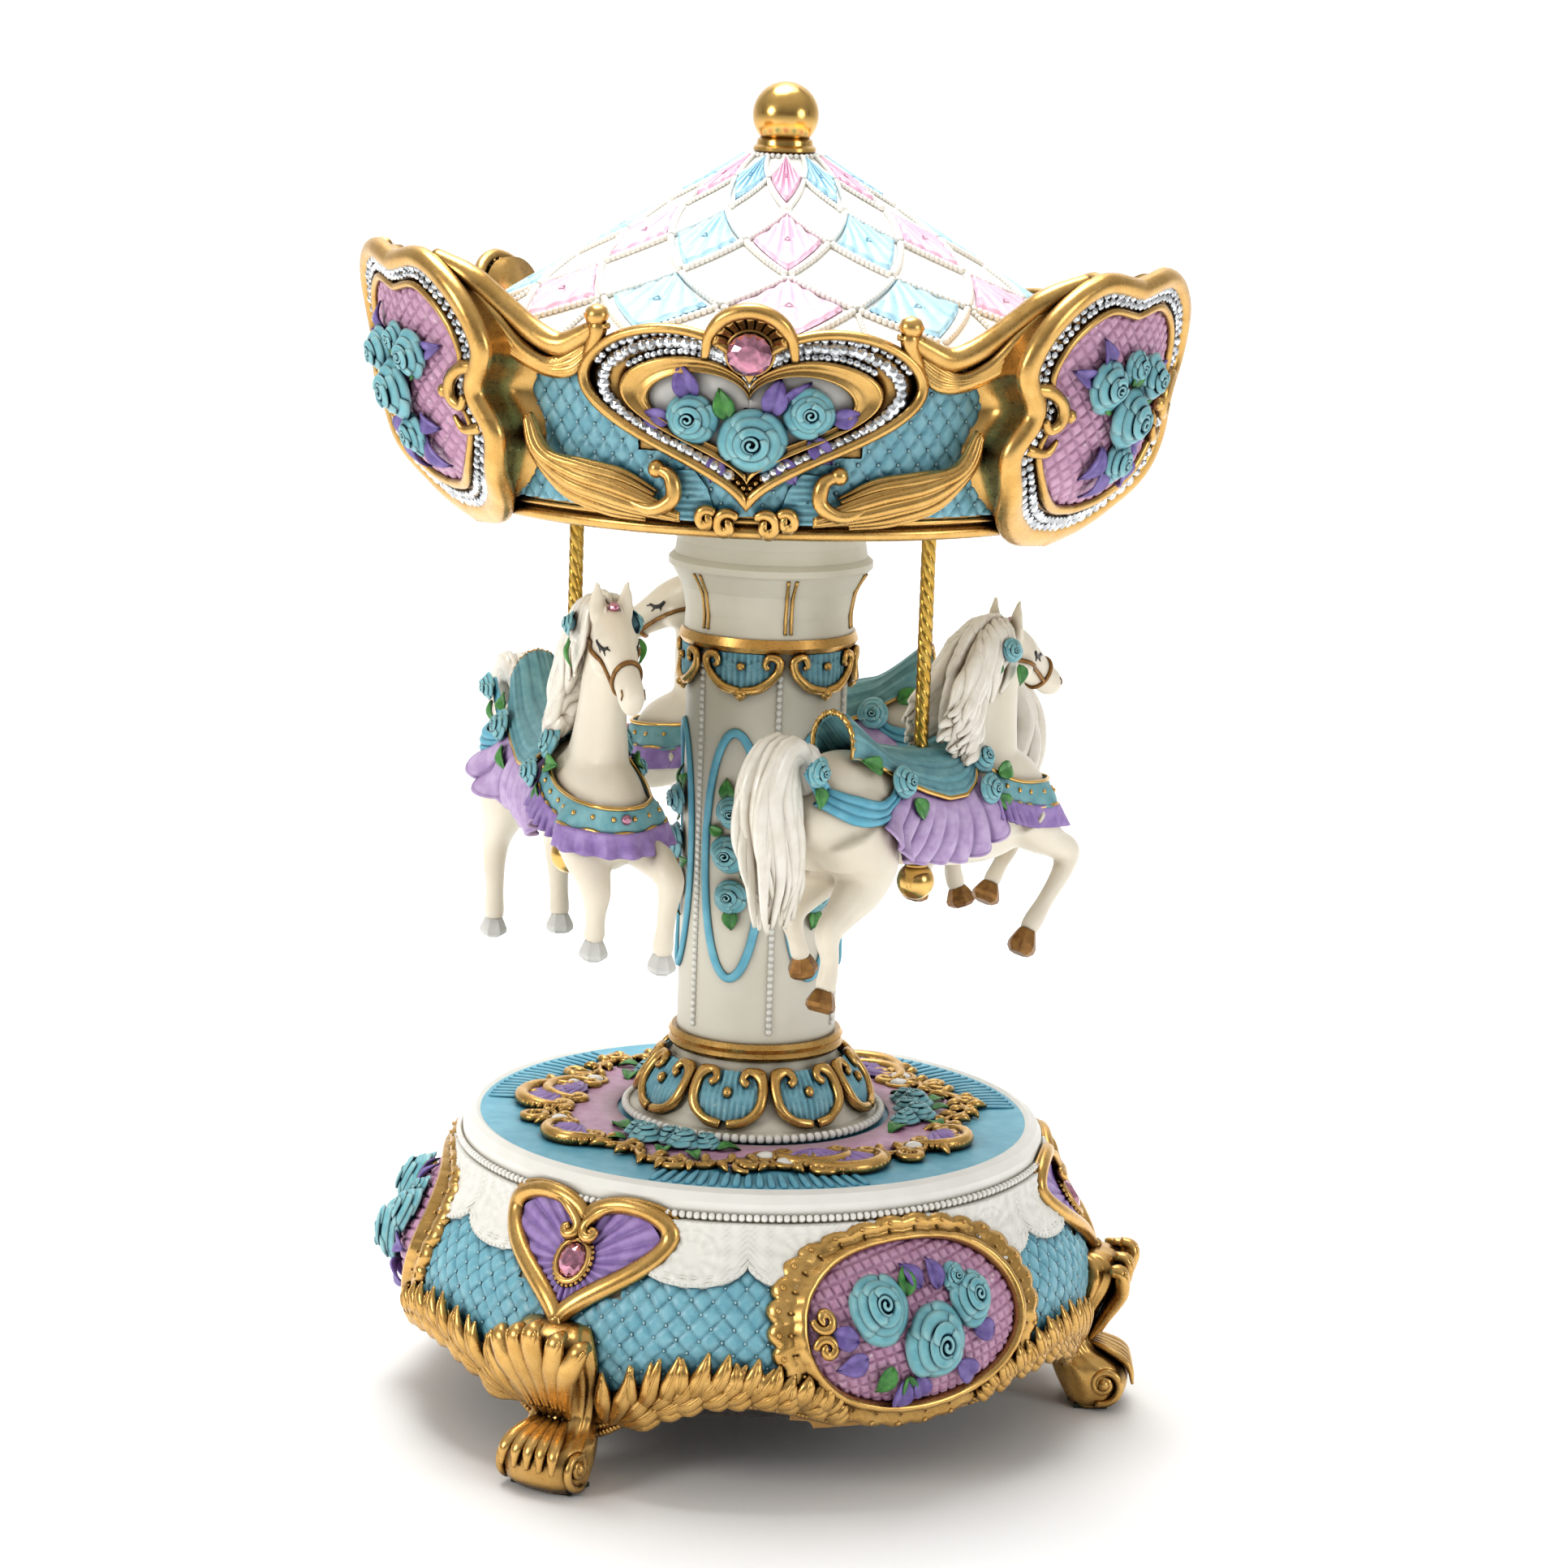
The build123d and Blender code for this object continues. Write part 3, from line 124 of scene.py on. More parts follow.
def paint(name, light, dark, recess_shade, rough=0.45, metal=0.0, coat=0.0, bump=0.05, scale=420.0, reach=1.6,
          subsurface=0.0, recess_shade_low=0.35, recess_shade_high=0.95, trappings_and_edge_highlight=None):
    """A painted or cast finish: two mottled 8-bit tones, painted shade darkening the recesses and a fine grain."""
    light, dark, recess_shade = srgb(*light), srgb(*dark), srgb(*recess_shade)
    material = bpy.data.materials.new(name)
    material.use_nodes = True
    tree = material.node_tree
    shader = tree.nodes["Principled BSDF"]
    shader.inputs["Metallic"].default_value = metal
    shader.inputs["Coat Weight"].default_value = coat
    shader.inputs["Coat Roughness"].default_value = 0.25
    if subsurface:
        shader.inputs["Subsurface Weight"].default_value = subsurface
        shader.inputs["Subsurface Radius"].default_value = (1.0, 0.8, 0.6)
        shader.inputs["Subsurface Scale"].default_value = 0.002
    mottled = mix(tree, ramp(tree, noise(tree, scale), 0.38, 0.62), dark, light)
    # Painted highlight: where pointiness is high, on sharp convex edges, the colour is lifted towards the lighter
    # edge colour.
    if trappings_and_edge_highlight:
        edge = tree.nodes.new("ShaderNodeNewGeometry")
        mottled = mix(tree, ramp(tree, edge.outputs["Pointiness"], 0.53, 0.62), mottled, srgb(*trappings_and_edge_highlight))
    # Painted shade: where the occlusion node finds surfaces close by within reach, the colour is pulled towards
    # the darker recess colour.
    occlusion = node(tree, "ShaderNodeAmbientOcclusion", Distance=reach * MM, samples=6)
    shade = ramp(tree, occlusion.outputs["AO"], recess_shade_low, recess_shade_high)
    tree.links.new(mix(tree, shade, recess_shade, mottled), shader.inputs["Base Color"])
    grain = noise(tree, scale * 4, 6.0, 0.6)
    spread = node(tree, "ShaderNodeMapRange")
    spread.inputs["To Min"].default_value = max(0.05, rough - 0.09)
    spread.inputs["To Max"].default_value = min(1.0, rough + 0.12)
    tree.links.new(grain, spread.inputs["Value"])
    tree.links.new(spread.outputs["Result"], shader.inputs["Roughness"])
    relief = node(tree, "ShaderNodeBump", Strength=bump * 4, Distance=0.0002)
    tree.links.new(grain, relief.inputs["Height"])
    tree.links.new(relief.outputs["Normal"], shader.inputs["Normal"])
    return material


# In each finish below, the third colour is painted shade that the occlusion node lays into recesses and between
# parts.
GOLD = paint("gold_paint", (220, 176, 104), (208, 162, 90), (58, 32, 12), 0.27, 0.94, bump=0.008,
             scale=260, reach=3.0, recess_shade_low=0.30, recess_shade_high=0.94)
GOLD_SMOOTH = paint("gold_smooth", (226, 184, 108), (218, 174, 98), (96, 60, 20), 0.2, 0.98, bump=0.002,
                    scale=200, reach=1.4)
BRONZE = paint("bronze_paint", (156, 112, 58), (120, 82, 40), (60, 36, 14), 0.4, 0.7, bump=0.12,
               scale=500)
# A lighter edge colour given to a finish is a painted highlight on its sharp edges.
BLUE = paint("sky_blue_paint", (128, 186, 200), (104, 168, 186), (24, 84, 104), 0.36, coat=0.15,
             bump=0.05, reach=1.5, recess_shade_low=0.5, recess_shade_high=1.0, trappings_and_edge_highlight=(170, 208, 212))
BLUE_DECK = paint("blue_deck", (112, 186, 208), (92, 170, 196), (40, 104, 128), 0.42, bump=0.05,
                  scale=260, reach=1.4)
TEAL = paint("teal_rose", (112, 180, 190), (84, 158, 172), (6, 60, 84), 0.38, bump=0.04, reach=2.0,
             recess_shade_low=0.36, recess_shade_high=0.98, trappings_and_edge_highlight=(156, 206, 208))
SADDLE = paint("teal_saddle", (122, 176, 182), (100, 158, 168), (30, 84, 100), 0.45, bump=0.06)
PINK = paint("pink_paint", (206, 160, 188), (188, 138, 170), (112, 54, 92), 0.42, bump=0.06, reach=0.9,
             recess_shade_low=0.4, trappings_and_edge_highlight=(228, 200, 214))
PURPLE = paint("purple_paint", (164, 136, 196), (142, 112, 178), (72, 44, 110), 0.42, bump=0.06)
VIOLET = paint("violet_leaf", (128, 108, 176), (96, 76, 146), (42, 28, 84), 0.42, bump=0.06)
LILAC = paint("lilac_cloth", (196, 172, 210), (176, 148, 194), (104, 74, 132), 0.5, bump=0.06)
GREEN = paint("leaf_green", (86, 158, 72), (44, 116, 44), (14, 54, 22), 0.4, bump=0.08)
IVORY = paint("ivory_resin", (218, 213, 197), (214, 209, 192), (140, 130, 106), 0.42, bump=0.015,
              scale=120, reach=2.4)
WHITE = paint("white_resin", (238, 236, 229), (234, 232, 224), (172, 167, 152), 0.42, bump=0.02,
              scale=160, reach=1.2)
HORSE = paint("horse_resin", (232, 223, 204), (228, 218, 198), (150, 130, 104), 0.32, bump=0.012,
              scale=140, subsurface=0.12, reach=2.0)
HAIR = paint("mane_resin", (240, 234, 222), (230, 223, 208), (140, 122, 98), 0.22, coat=0.3, bump=0.02,
             scale=300, reach=1.3)
PEARL = paint("pearl", (244, 242, 236), (232, 229, 221), (164, 154, 138), 0.12, coat=0.6, bump=0.01,
              scale=300, reach=0.7)
GREY = paint("panel_grey", (212, 211, 206), (198, 198, 194), (120, 118, 116), 0.5, bump=0.04,
             scale=200, reach=2.5)
BLACK = paint("eye_black", (34, 28, 26), (20, 18, 18), (8, 8, 8), 0.3, bump=0.02)
BRASS = paint("brass", (206, 168, 84), (186, 146, 62), (90, 62, 20), 0.22, 1.0, bump=0.04, scale=300)
STEEL = paint("steel", (188, 190, 194), (164, 168, 172), (70, 72, 76), 0.3, 1.0, bump=0.05, scale=600)
SPRING = paint("spring_steel", (120, 128, 150), (98, 106, 128), (44, 46, 56), 0.28, 1.0, bump=0.04)
ZINC = paint("zinc_casting", (150, 150, 150), (134, 134, 136), (66, 66, 68), 0.5, 0.9, bump=0.15,
             scale=900)
BOARD = paint("cover_board", (60, 56, 54), (46, 43, 42), (18, 16, 16), 0.75, bump=0.2, scale=1200)
FELT = paint("felt", (56, 74, 52), (42, 58, 40), (16, 24, 16), 0.95, bump=0.5, scale=1800)
NYLON = paint("nylon", (214, 212, 202), (204, 202, 192), (120, 118, 110), 0.4, bump=0.03)


def gem(name, colour):
    """Tinted cut glass with a bright foil behind it."""
    material = bpy.data.materials.new(name)
    material.use_nodes = True
    tree = material.node_tree
    shader = tree.nodes["Principled BSDF"]
    shader.inputs["Metallic"].default_value = 0.75
    shader.inputs["Roughness"].default_value = 0.06
    shader.inputs["Coat Weight"].default_value = 1.0
    shader.inputs["Coat Roughness"].default_value = 0.02
    dark = tuple(c * 0.5 for c in colour[:3]) + (1.0,)
    tree.links.new(mix(tree, ramp(tree, noise(tree, 500.0, 2.0), 0.4, 0.6), colour, dark),
                   shader.inputs["Base Color"])
    return material


PINK_GEM = gem("pink_gem", srgb(214, 140, 166))
CRYSTAL = gem("crystal", srgb(236, 240, 244))


# ---- mesh tools -------------------------------------------------------------------------------
# In the mesh code a term such as `0 * a` gives a constant the shape of the array a, so that the parts
# of a point can be stacked.
def signed_volume(points, faces):
    """Six times the volume seen from the mesh's middle; negative when the faces look inwards."""
    c = points - points.mean(axis=0)
    total = 0.0
    for face in faces:
        for k in range(1, face.shape[1] - 1):
            total += np.einsum("ij,ij->", c[face[:, 0]], np.cross(c[face[:, k]], c[face[:, k + 1]]))
    return total


class Stock:
    """Meshes gathered into one object."""

    def __init__(self):
        self.points = []
        self.faces = []
        self.count = 0

    def add(self, mesh, place=None):
        points, faces = mesh
        points = np.asarray(points, float)
        if place is not None:
            points = place(points)
        faces = [np.asarray(face, int) for face in faces if len(face)]
        if signed_volume(points, faces) < 0:
            faces = [face[:, ::-1] for face in faces]
        self.points.append(points)
        self.faces += [face + self.count for face in faces]
        self.count += len(points)


STOCKS = {}


def stock(name):
    """The mesh store of one named piece."""
    return STOCKS.setdefault(name, Stock())


def build(name, body, material, replaced=(), smooth=True):
    """Turns one stock into a riding object."""
    source = STOCKS[name]
    mesh = bpy.data.meshes.new(name)
    points = np.concatenate(source.points) * MM
    loops = np.concatenate([f.reshape(-1) for f in source.faces])
    sizes = np.concatenate([np.full(len(f), f.shape[1]) for f in source.faces])
    mesh.vertices.add(len(points))
    mesh.vertices.foreach_set("co", points.astype(np.float32).reshape(-1))
    mesh.loops.add(len(loops))
    mesh.loops.foreach_set("vertex_index", loops.astype(np.int32))
    mesh.polygons.add(len(sizes))
    starts = np.concatenate([[0], np.cumsum(sizes)[:-1]])
    mesh.polygons.foreach_set("loop_start", starts.astype(np.int32))
    mesh.polygons.foreach_set("use_smooth", np.full(len(sizes), smooth))
    mesh.update(calc_edges=True)
    mesh.validate()
    mesh.materials.append(material)
    piece = bpy.data.objects.new(name, mesh)
    bpy.context.scene.collection.objects.link(piece)
    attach(piece, body)
    if replaced:
        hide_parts(*replaced)
    return piece


def lay(name, mesh, place=None):
    """Add one mesh to a named piece, through its placing function if it has one."""
    stock(name).add(mesh, place)


def unit(v):
    """Vectors scaled to length one."""
    return v / np.maximum(np.linalg.norm(v, axis=-1, keepdims=True), 1e-12)


def curve(points, count):
    """A smooth curve through the points, evenly resampled."""
    p = np.asarray(points, float)
    if len(p) == 2:
        t = np.linspace(0, 1, count)[:, None]
        return p[0] * (1 - t) + p[1] * t
    ext = np.vstack([2 * p[0] - p[1], p, 2 * p[-1] - p[-2]])
    out = []
    steps = 12
    for i in range(1, len(ext) - 2):
        t = np.linspace(0, 1, steps, endpoint=False)[:, None]
        a, b, c, d = ext[i - 1], ext[i], ext[i + 1], ext[i + 2]
        out.append(0.5 * (2 * b + (c - a) * t + (2 * a - 5 * b + 4 * c - d) * t ** 2
                          + (3 * b - a - 3 * c + d) * t ** 3))
    out = np.vstack(out + [p[-1:]])
    return resample(out, count)


def resample(path, count, closed=False):
    """Evenly spaced points along a path."""
    p = np.vstack([path, path[:1]]) if closed else np.asarray(path)
    s = np.concatenate([[0], np.cumsum(np.linalg.norm(np.diff(p, axis=0), axis=1))])
    t = np.linspace(0, s[-1], count, endpoint=not closed)
    return np.stack([np.interp(t, s, p[:, k]) for k in range(p.shape[1])], axis=1)


def grid_faces(rows, columns, wrap=False):
    """Quads of a rows x columns grid of points, the columns closed into a ring with wrap."""
    r = np.arange(rows - 1)[:, None]
    c = np.arange(columns if wrap else columns - 1)[None, :]
    n = (c + 1) % columns
    a, b, d, e = r * columns + c, r * columns + n, (r + 1) * columns + n, (r + 1) * columns + c
    return np.stack([a, b, d, e], axis=-1).reshape(-1, 4)


def sweep(path, width, height=None, sides=8, up=(0, 0, 1), closed=False, section=None):
    """A tube along a path: width runs sideways and height along up; either may change along the way."""
    p = np.asarray(path, float)
    n = len(p)
    width = np.broadcast_to(np.asarray(width, float), (n,))
    height = width if height is None else np.broadcast_to(np.asarray(height, float), (n,))
    step = np.roll(p, -1, 0) - np.roll(p, 1, 0) if closed else np.gradient(p, axis=0)
    t = unit(step)
    side = unit(np.cross(t, np.broadcast_to(np.asarray(up, float), (n, 3))))
    lift = np.cross(side, t)
    if section is None:
        a = np.arange(sides) * TAU / sides
        section = np.stack([np.cos(a), np.sin(a)], axis=1)
    section = np.asarray(section)
    m = len(section)
    v = (p[:, None] + side[:, None] * (width[:, None] * section[None, :, 0])[..., None]
         + lift[:, None] * (height[:, None] * section[None, :, 1])[..., None]).reshape(-1, 3)
    quads = grid_faces(n, m, True)
    if closed:
        last = np.arange(m)
        quads = np.vstack([quads, np.stack([(n - 1) * m + last, (n - 1) * m + (last + 1) % m, (last + 1) % m,
                                            last],
                                           axis=1)])
        return v, [quads]
    ring = np.arange(m)
    first = np.stack([np.full(m, n * m), (ring + 1) % m, ring], axis=1)
    final = np.stack([np.full(m, n * m + 1), (n - 1) * m + ring, (n - 1) * m + (ring + 1) % m], axis=1)
    return np.vstack([v, p[:1], p[-1:]]), [quads, np.vstack([first, final])]


def taper(n, start=0.15, middle=1.0, end=0.1, peak=0.4):
    """Widths that swell from start to middle and fall to end."""
    t = np.linspace(0, 1, n)
    return np.interp(t, [0, peak * 0.5, peak, (1 + peak) / 2, 1],
                     [start, (start + middle) * 0.58, middle, (middle + end) * 0.62, end])


def ball(radius=1.0, sides=8, rings=5, squash=1.0):
    """A small UV sphere as vertices and faces."""
    a = np.arange(sides) * TAU / sides
    v = [(0, 0, radius * squash)]
    for k in range(1, rings):
        b = pi * k / rings
        v.extend(zip(radius * sin(b) * np.cos(a), radius * sin(b) * np.sin(a),
                     np.full(sides, radius * squash * cos(b))))
    v.append((0, 0, -radius * squash))
    v = np.array(v)
    s = np.arange(sides)
    top = np.stack([np.zeros(sides, int), 1 + s, 1 + (s + 1) % sides], axis=1)
    base = 1 + (rings - 2) * sides
    low = np.stack([np.full(sides, len(v) - 1), base + (s + 1) % sides, base + s], axis=1)
    quads = grid_faces(rings - 1, sides, True)[:, ::-1] + 1
    return v, [quads, np.vstack([top, low])]


def copies(mesh, places, sizes=1.0):
    """The same small mesh at many places, as one mesh."""
    v, faces = mesh
    places = np.asarray(places, float)
    n = len(places)
    if n == 0:
        return np.zeros((0, 3)), []
    sizes = np.broadcast_to(np.asarray(sizes, float), (n,))
    points = (places[:, None] + v[None] * sizes[:, None, None]).reshape(-1, 3)
    shift = (np.arange(n) * len(v))[:, None, None]
    return points, [(f[None] + shift).reshape(-1, f.shape[1]) for f in faces]


def moved(mesh, size=1.0, turn=0.0, at=(0, 0, 0), tilt=0.0):
    """A flat-frame mesh scaled, tilted about u, turned about h (degrees) and shifted."""
    v, faces = mesh
    c, s = cos(radians(turn)), sin(radians(turn))
    ct, st = cos(radians(tilt)), sin(radians(tilt))
    spin = np.array([[c, -s, 0], [s, c, 0], [0, 0, 1]]) @ np.array([[1, 0, 0], [0, ct, -st], [0, st, ct]])
    return (np.asarray(v) * size) @ spin.T + np.asarray(at, float), faces


def shell(points, thickness):
    """A closed sheet of even thickness on a rows x columns grid of points."""
    rows, columns = points.shape[:2]
    du = np.gradient(points, axis=1)
    dv = np.gradient(points, axis=0)
    normal = unit(np.cross(du, dv))
    front = (points + normal * thickness / 2).reshape(-1, 3)
    back = (points - normal * thickness / 2).reshape(-1, 3)
    quads = grid_faces(rows, columns)
    n = rows * columns
    index = np.arange(n).reshape(rows, columns)
    edge = np.concatenate([index[0, :], index[1:, -1], index[-1, -2::-1], index[-2:0:-1, 0]])
    nxt = np.roll(edge, -1)
    side = np.stack([edge + n, nxt + n, nxt, edge], axis=1)
    return np.vstack([front, back]), [quads, quads[:, ::-1] + n, side]


def patch(outline, centre, rings, height, base=0.0, power=1.0):
    """A closed pad filling a star-shaped outline; height(u, v, f) is its relief, f being 0 at the centre."""
    o = np.asarray(outline, float)[:, :2]
    n = len(o)
    f = (np.linspace(0, 1, rings + 1)[1:] ** power)
    c = np.asarray(centre, float)
    uv = c + (o[None] - c) * f[:, None, None]
    ff = np.repeat(f[:, None], n, axis=1)
    h = height(uv[..., 0], uv[..., 1], ff)
    top = np.concatenate([uv, h[..., None]], axis=-1).reshape(-1, 3)
    mid = np.array([[c[0], c[1], float(height(c[0:1], c[1:2], np.zeros(1))[0])]])
    low = np.column_stack([o, np.full(n, base)])
    floor = np.array([[c[0], c[1], base]])
    ring = np.arange(n)
    nxt = (ring + 1) % n
    m = rings * n
    quads = grid_faces(rings, n, True)[:, ::-1]
    skirt = np.stack([(rings - 1) * n + ring, m + 1 + ring, m + 1 + nxt, (rings - 1) * n + nxt], axis=1)
    fan = np.stack([np.full(n, m), ring, nxt], axis=1)
    under = np.stack([np.full(n, m + 1 + n), m + 1 + nxt, m + 1 + ring], axis=1)
    area = np.sum(o[:, 0] * np.roll(o[:, 1], -1) - np.roll(o[:, 0], -1) * o[:, 1])
    faces = [quads[:, ::-1], skirt, np.vstack([fan, under])]
    if area < 0:
        faces = [f[:, ::-1] for f in faces]
    return np.vstack([top, mid, low, floor]), [faces[0], faces[1], faces[2]]


# ---- charts -----------------------------------------------------------------------------------
def turned(points, azimuth):
    """Points turned about the axis to an azimuth in degrees."""
    c, s = cos(radians(azimuth)), sin(radians(azimuth))
    return points @ np.array([[c, s, 0], [-s, c, 0], [0, 0, 1]])


class Wall:
    """A wall of revolution given by its (radius, height) profile."""

    def __init__(self, profile):
        p = curve(profile, 400)
        self.z = p[:, 1]
        self.r = p[:, 0]
        slope = np.gradient(self.r, self.z)
        slope = np.convolve(np.pad(slope, 9, mode="edge"), np.ones(19) / 19, mode="valid")
        self.slope = slope

    def at(self, z):
        return np.interp(z, self.z, self.r), np.interp(z, self.z, self.slope)

    def wrap(self, angle, z, h):
        r, slope = self.at(z)
        k = 1 / np.sqrt(1 + slope ** 2)
        rr = r + h * k
        return np.stack([rr * np.sin(angle), -rr * np.cos(angle), z - h * slope * k], axis=-1)

    def front(self, azimuth=0.0, shift=0.0, tight=False):
        """Places a flat mesh on the wall, seen straight on at that azimuth."""
        def place(p):
            r, _ = self.at(p[:, 1])
            if tight:
                angle = p[:, 0] / r
            else:
                angle = np.arcsin(np.clip(p[:, 0] / r, -0.999, 0.999))
            return turned(self.wrap(angle, p[:, 1], p[:, 2] + shift), azimuth)
        return place


BASE = Wall(BASE_WALL)
CANOPY = Wall(CANOPY_WALL)
FLARE = Wall(FLARE_WALL)
FLARE_IN = Wall(FLARE_BACK)
BELL = Wall(BELL_WALL[2:])
SHAFT = Wall(SHAFT_WALL)
CAPITAL = Wall(CAPITAL_WALL)


def on_deck(azimuth, radius=0.0, height=DECK):
    """Places a flat mesh lying on the platform: v points inwards, h up."""
    def place(p):
        q = np.stack([p[:, 0], p[:, 1] - radius, p[:, 2] + height], axis=-1)
        return turned(q, azimuth)
    return place


def on_roof(azimuth):
    """Places a mesh (u as a fraction of a right angle in radians, v as radius, h) on the roof."""
    def place(p):
        k = 1 / sqrt(1 + ROOF_SLOPE ** 2)
        r = p[:, 1] + p[:, 2] * ROOF_SLOPE * k
        z = ROOF_TOP - ROOF_SLOPE * (p[:, 1] - ROOF_TOP_R) + p[:, 2] * k
        return turned(np.stack([r * np.sin(p[:, 0]), -r * np.cos(p[:, 0]), z], axis=-1), azimuth)
    return place


def thirds(azimuth):
    """The three azimuths of a feature that repeats three-fold."""
    return [azimuth + 120.0 * i for i in range(FOLDS)]


# ---- ornaments --------------------------------------------------------------------------------
def petal(angle, spread, inner, outer, low, high, curl, rows=8, columns=9):
    """One cupped petal: a steep wall that turns out into a broad rolled lip."""
    t = np.linspace(0, 1, rows)[:, None]
    s = np.linspace(-1, 1, columns)[None, :]
    a = radians(angle) + s * radians(spread) * (0.6 + 0.4 * np.sin(pi * (0.15 + 0.6 * t)))
    r = inner + (outer - inner) * t ** 1.7 * (1 - 0.10 * s ** 4)
    rise = np.sin(np.clip(t / 0.62, 0, 1) * pi / 2)
    z = low + (high - low) * rise - curl * np.clip((t - 0.55) / 0.45, 0, 1) ** 1.6 + 0.07 * s * t
    return np.stack([r * np.cos(a), r * np.sin(a), z + 0 * a], axis=-1)


def make_rose(seed):
    """An open rose of radius 1 lying on h = 0."""
    rng = np.random.default_rng(seed)
    parts = Stock()
    start = rng.uniform(0, 360)
    t = np.linspace(0, 1, 34)[None, :]
    s = np.linspace(0, 1, 5)[:, None]
    a = radians(start) + t * TAU * 1.5
    r = (0.05 + 0.20 * t) * (1 + 0.22 * s)
    bud = np.stack([r * np.cos(a), r * np.sin(a), 0.36 + s * (0.66 - 0.12 * t)], axis=-1)
    parts.add(shell(bud[:, ::-1], 0.09))
    for count, spread, inner, outer, low, high, curl in ((3, 78, 0.26, 0.56, 0.26, 0.90, 0.12),
                                                         (4, 62, 0.42, 0.82, 0.12, 0.68, 0.22),
                                                         (5, 50, 0.56, 1.08, 0.02, 0.44, 0.26)):
        turn = rng.uniform(0, 360)
        for i in range(count):
            angle = turn + 360 * i / count + rng.uniform(-8, 8)
            grow = rng.uniform(0.92, 1.05)
            parts.add(shell(petal(angle, spread, inner, outer * grow, low, high, curl), 0.1))
    dome = ball(0.56, 12, 6, 0.7)
    parts.add((dome[0] + (0, 0, 0.12), dome[1]))
    return np.concatenate(parts.points), parts.faces


def make_leaf(bend=0.25, teeth=True):
    """A leaf of length 1 along +v, with a midrib and a toothed edge."""
    t = np.linspace(0, 1, 12)[:, None]
    s = np.linspace(-1, 1, 7)[None, :]
    w = 0.31 * np.sin(pi * t ** 0.8) ** 0.8 + 0.012
    if teeth:
        w = w * (1 + 0.12 * np.abs(np.sin(t * pi * 5)))
    u = s * w
    h = 0.10 + bend * np.sin(pi * t) * 0.5 - 0.10 * t + 0.10 * np.abs(s) * np.sin(pi * t)
    h = h - 0.05 * np.exp(-(s * 5) ** 2)
    v = t + 0.06 * (1 - np.abs(s)) + 0 * s
    return shell(np.stack([u, v, h + 0 * u], axis=-1), 0.06)


ROSES = [make_rose(i + 3) for i in range(4)]
LEAF = make_leaf()
PLAIN_LEAF = make_leaf(0.35, False)


def spiral(centre, start_radius, end_radius, start, turns, count=40, lift=0.0, rise=0.0):
    """A spiral path in the flat frame, winding inwards."""
    t = np.linspace(0, 1, count)
    r = start_radius * (end_radius / start_radius) ** t
    a = radians(start) + turns * TAU * t
    return np.stack([centre[0] + r * np.cos(a), centre[1] + r * np.sin(a), lift + rise * t], axis=1)


def heart(half_width, top, notch, tip, count=96):
    """A closed heart outline starting at its notch and going round by the right side."""
    t = np.linspace(0, pi, 120)
    rise = 13 * np.cos(t) - 5 * np.cos(2 * t) - 2 * np.cos(3 * t) - np.cos(4 * t)
    z = np.where(rise > 5, notch + (top - notch) * (rise - 5) / 6.95, tip + (notch - tip) * (rise + 17) / 22)
    u = half_width * np.sin(t) ** 3
    right = resample(np.stack([u, z], axis=1), count // 2 + 1)
    left = right[-2:0:-1] * (-1, 1)
    return np.vstack([right, left])


def oval(half_width, half_height, centre, count=96):
    """A closed oval outline."""
    a = np.arange(count) * TAU / count
    return np.stack([half_width * np.cos(a), centre + half_height * np.sin(a)], axis=1)


def lifted(outline, h):
    """A flat path raised to one height."""
    return np.column_stack([outline, np.full(len(outline), h)])


def mirrored(points):
    """A half outline closed by its mirror image."""
    p = curve(points, 60)
    return np.vstack([p, p[-2:0:-1] * (-1, 1)])


BEAD = ball(1.0, 8, 6)
STUD = ball(1.0, 6, 4)


def net_height(a, b, depth):
    """Relief of a pillow net; a and b count the diagonals."""
    d = np.minimum(np.abs(a - np.round(a)), np.abs(b - np.round(b)))
    return depth * np.clip(d / 0.2, 0, 1) ** 0.6


def net(wall, low, high, cell, step, keep, lift, depth, bead):
    """A quilted net round a whole wall; keep(angle, z) is False under other ornaments."""
    columns = int(TAU * 63 / step)
    rows = int((high - low) / step)
    around = round(TAU * 63 / cell[0])
    angle = np.arange(columns) * TAU / columns
    z = np.linspace(low, high, rows)
    p = angle[None, :] * around / TAU + 0 * z[:, None]
    q = (z[:, None] - low) / cell[1] + 0 * p
    h = lift + net_height(p + q, p - q, depth)
    h[0, :] = -0.3
    h[-1, :] = -0.3
    points = wall.wrap(angle[None, :] + 0 * z[:, None], z[:, None] + 0 * p, h)
    quads = grid_faces(rows, columns, True)
    mid = (np.arange(columns) + 0.5) * TAU / columns
    wanted = keep(np.broadcast_to(mid, (rows - 1, columns)),
                  np.repeat(((z[1:] + z[:-1]) / 2)[:, None], columns, 1))
    quads = quads[wanted.reshape(-1)]
    used = np.unique(quads)
    renumber = np.full(rows * columns, -1)
    renumber[used] = np.arange(len(used))
    spots = []
    for k in range(int((high - low) / cell[1] * 2) + 1):
        zz = low + k * cell[1] / 2
        if zz < low + 0.4 or zz > high - 0.4:
            continue
        aa = (np.arange(around) + (0.5 if k % 2 else 0.0)) * TAU / around
        ok = keep(aa, np.full(len(aa), zz))
        spots.append(np.stack([aa[ok], np.full(ok.sum(), zz)], axis=1))
    spots = np.vstack(spots)
    beads = wall.wrap(spots[:, 0], spots[:, 1], np.full(len(spots), lift + depth * 0.45))
    return (points.reshape(-1, 3)[used], [renumber[quads]]), copies(STUD, beads, bead)


def angular(angle, azimuth):
    """Signed angle in degrees from an azimuth, folded to one third of the turn."""
    return (np.degrees(angle) - azimuth + 60.0) % 120.0 - 60.0


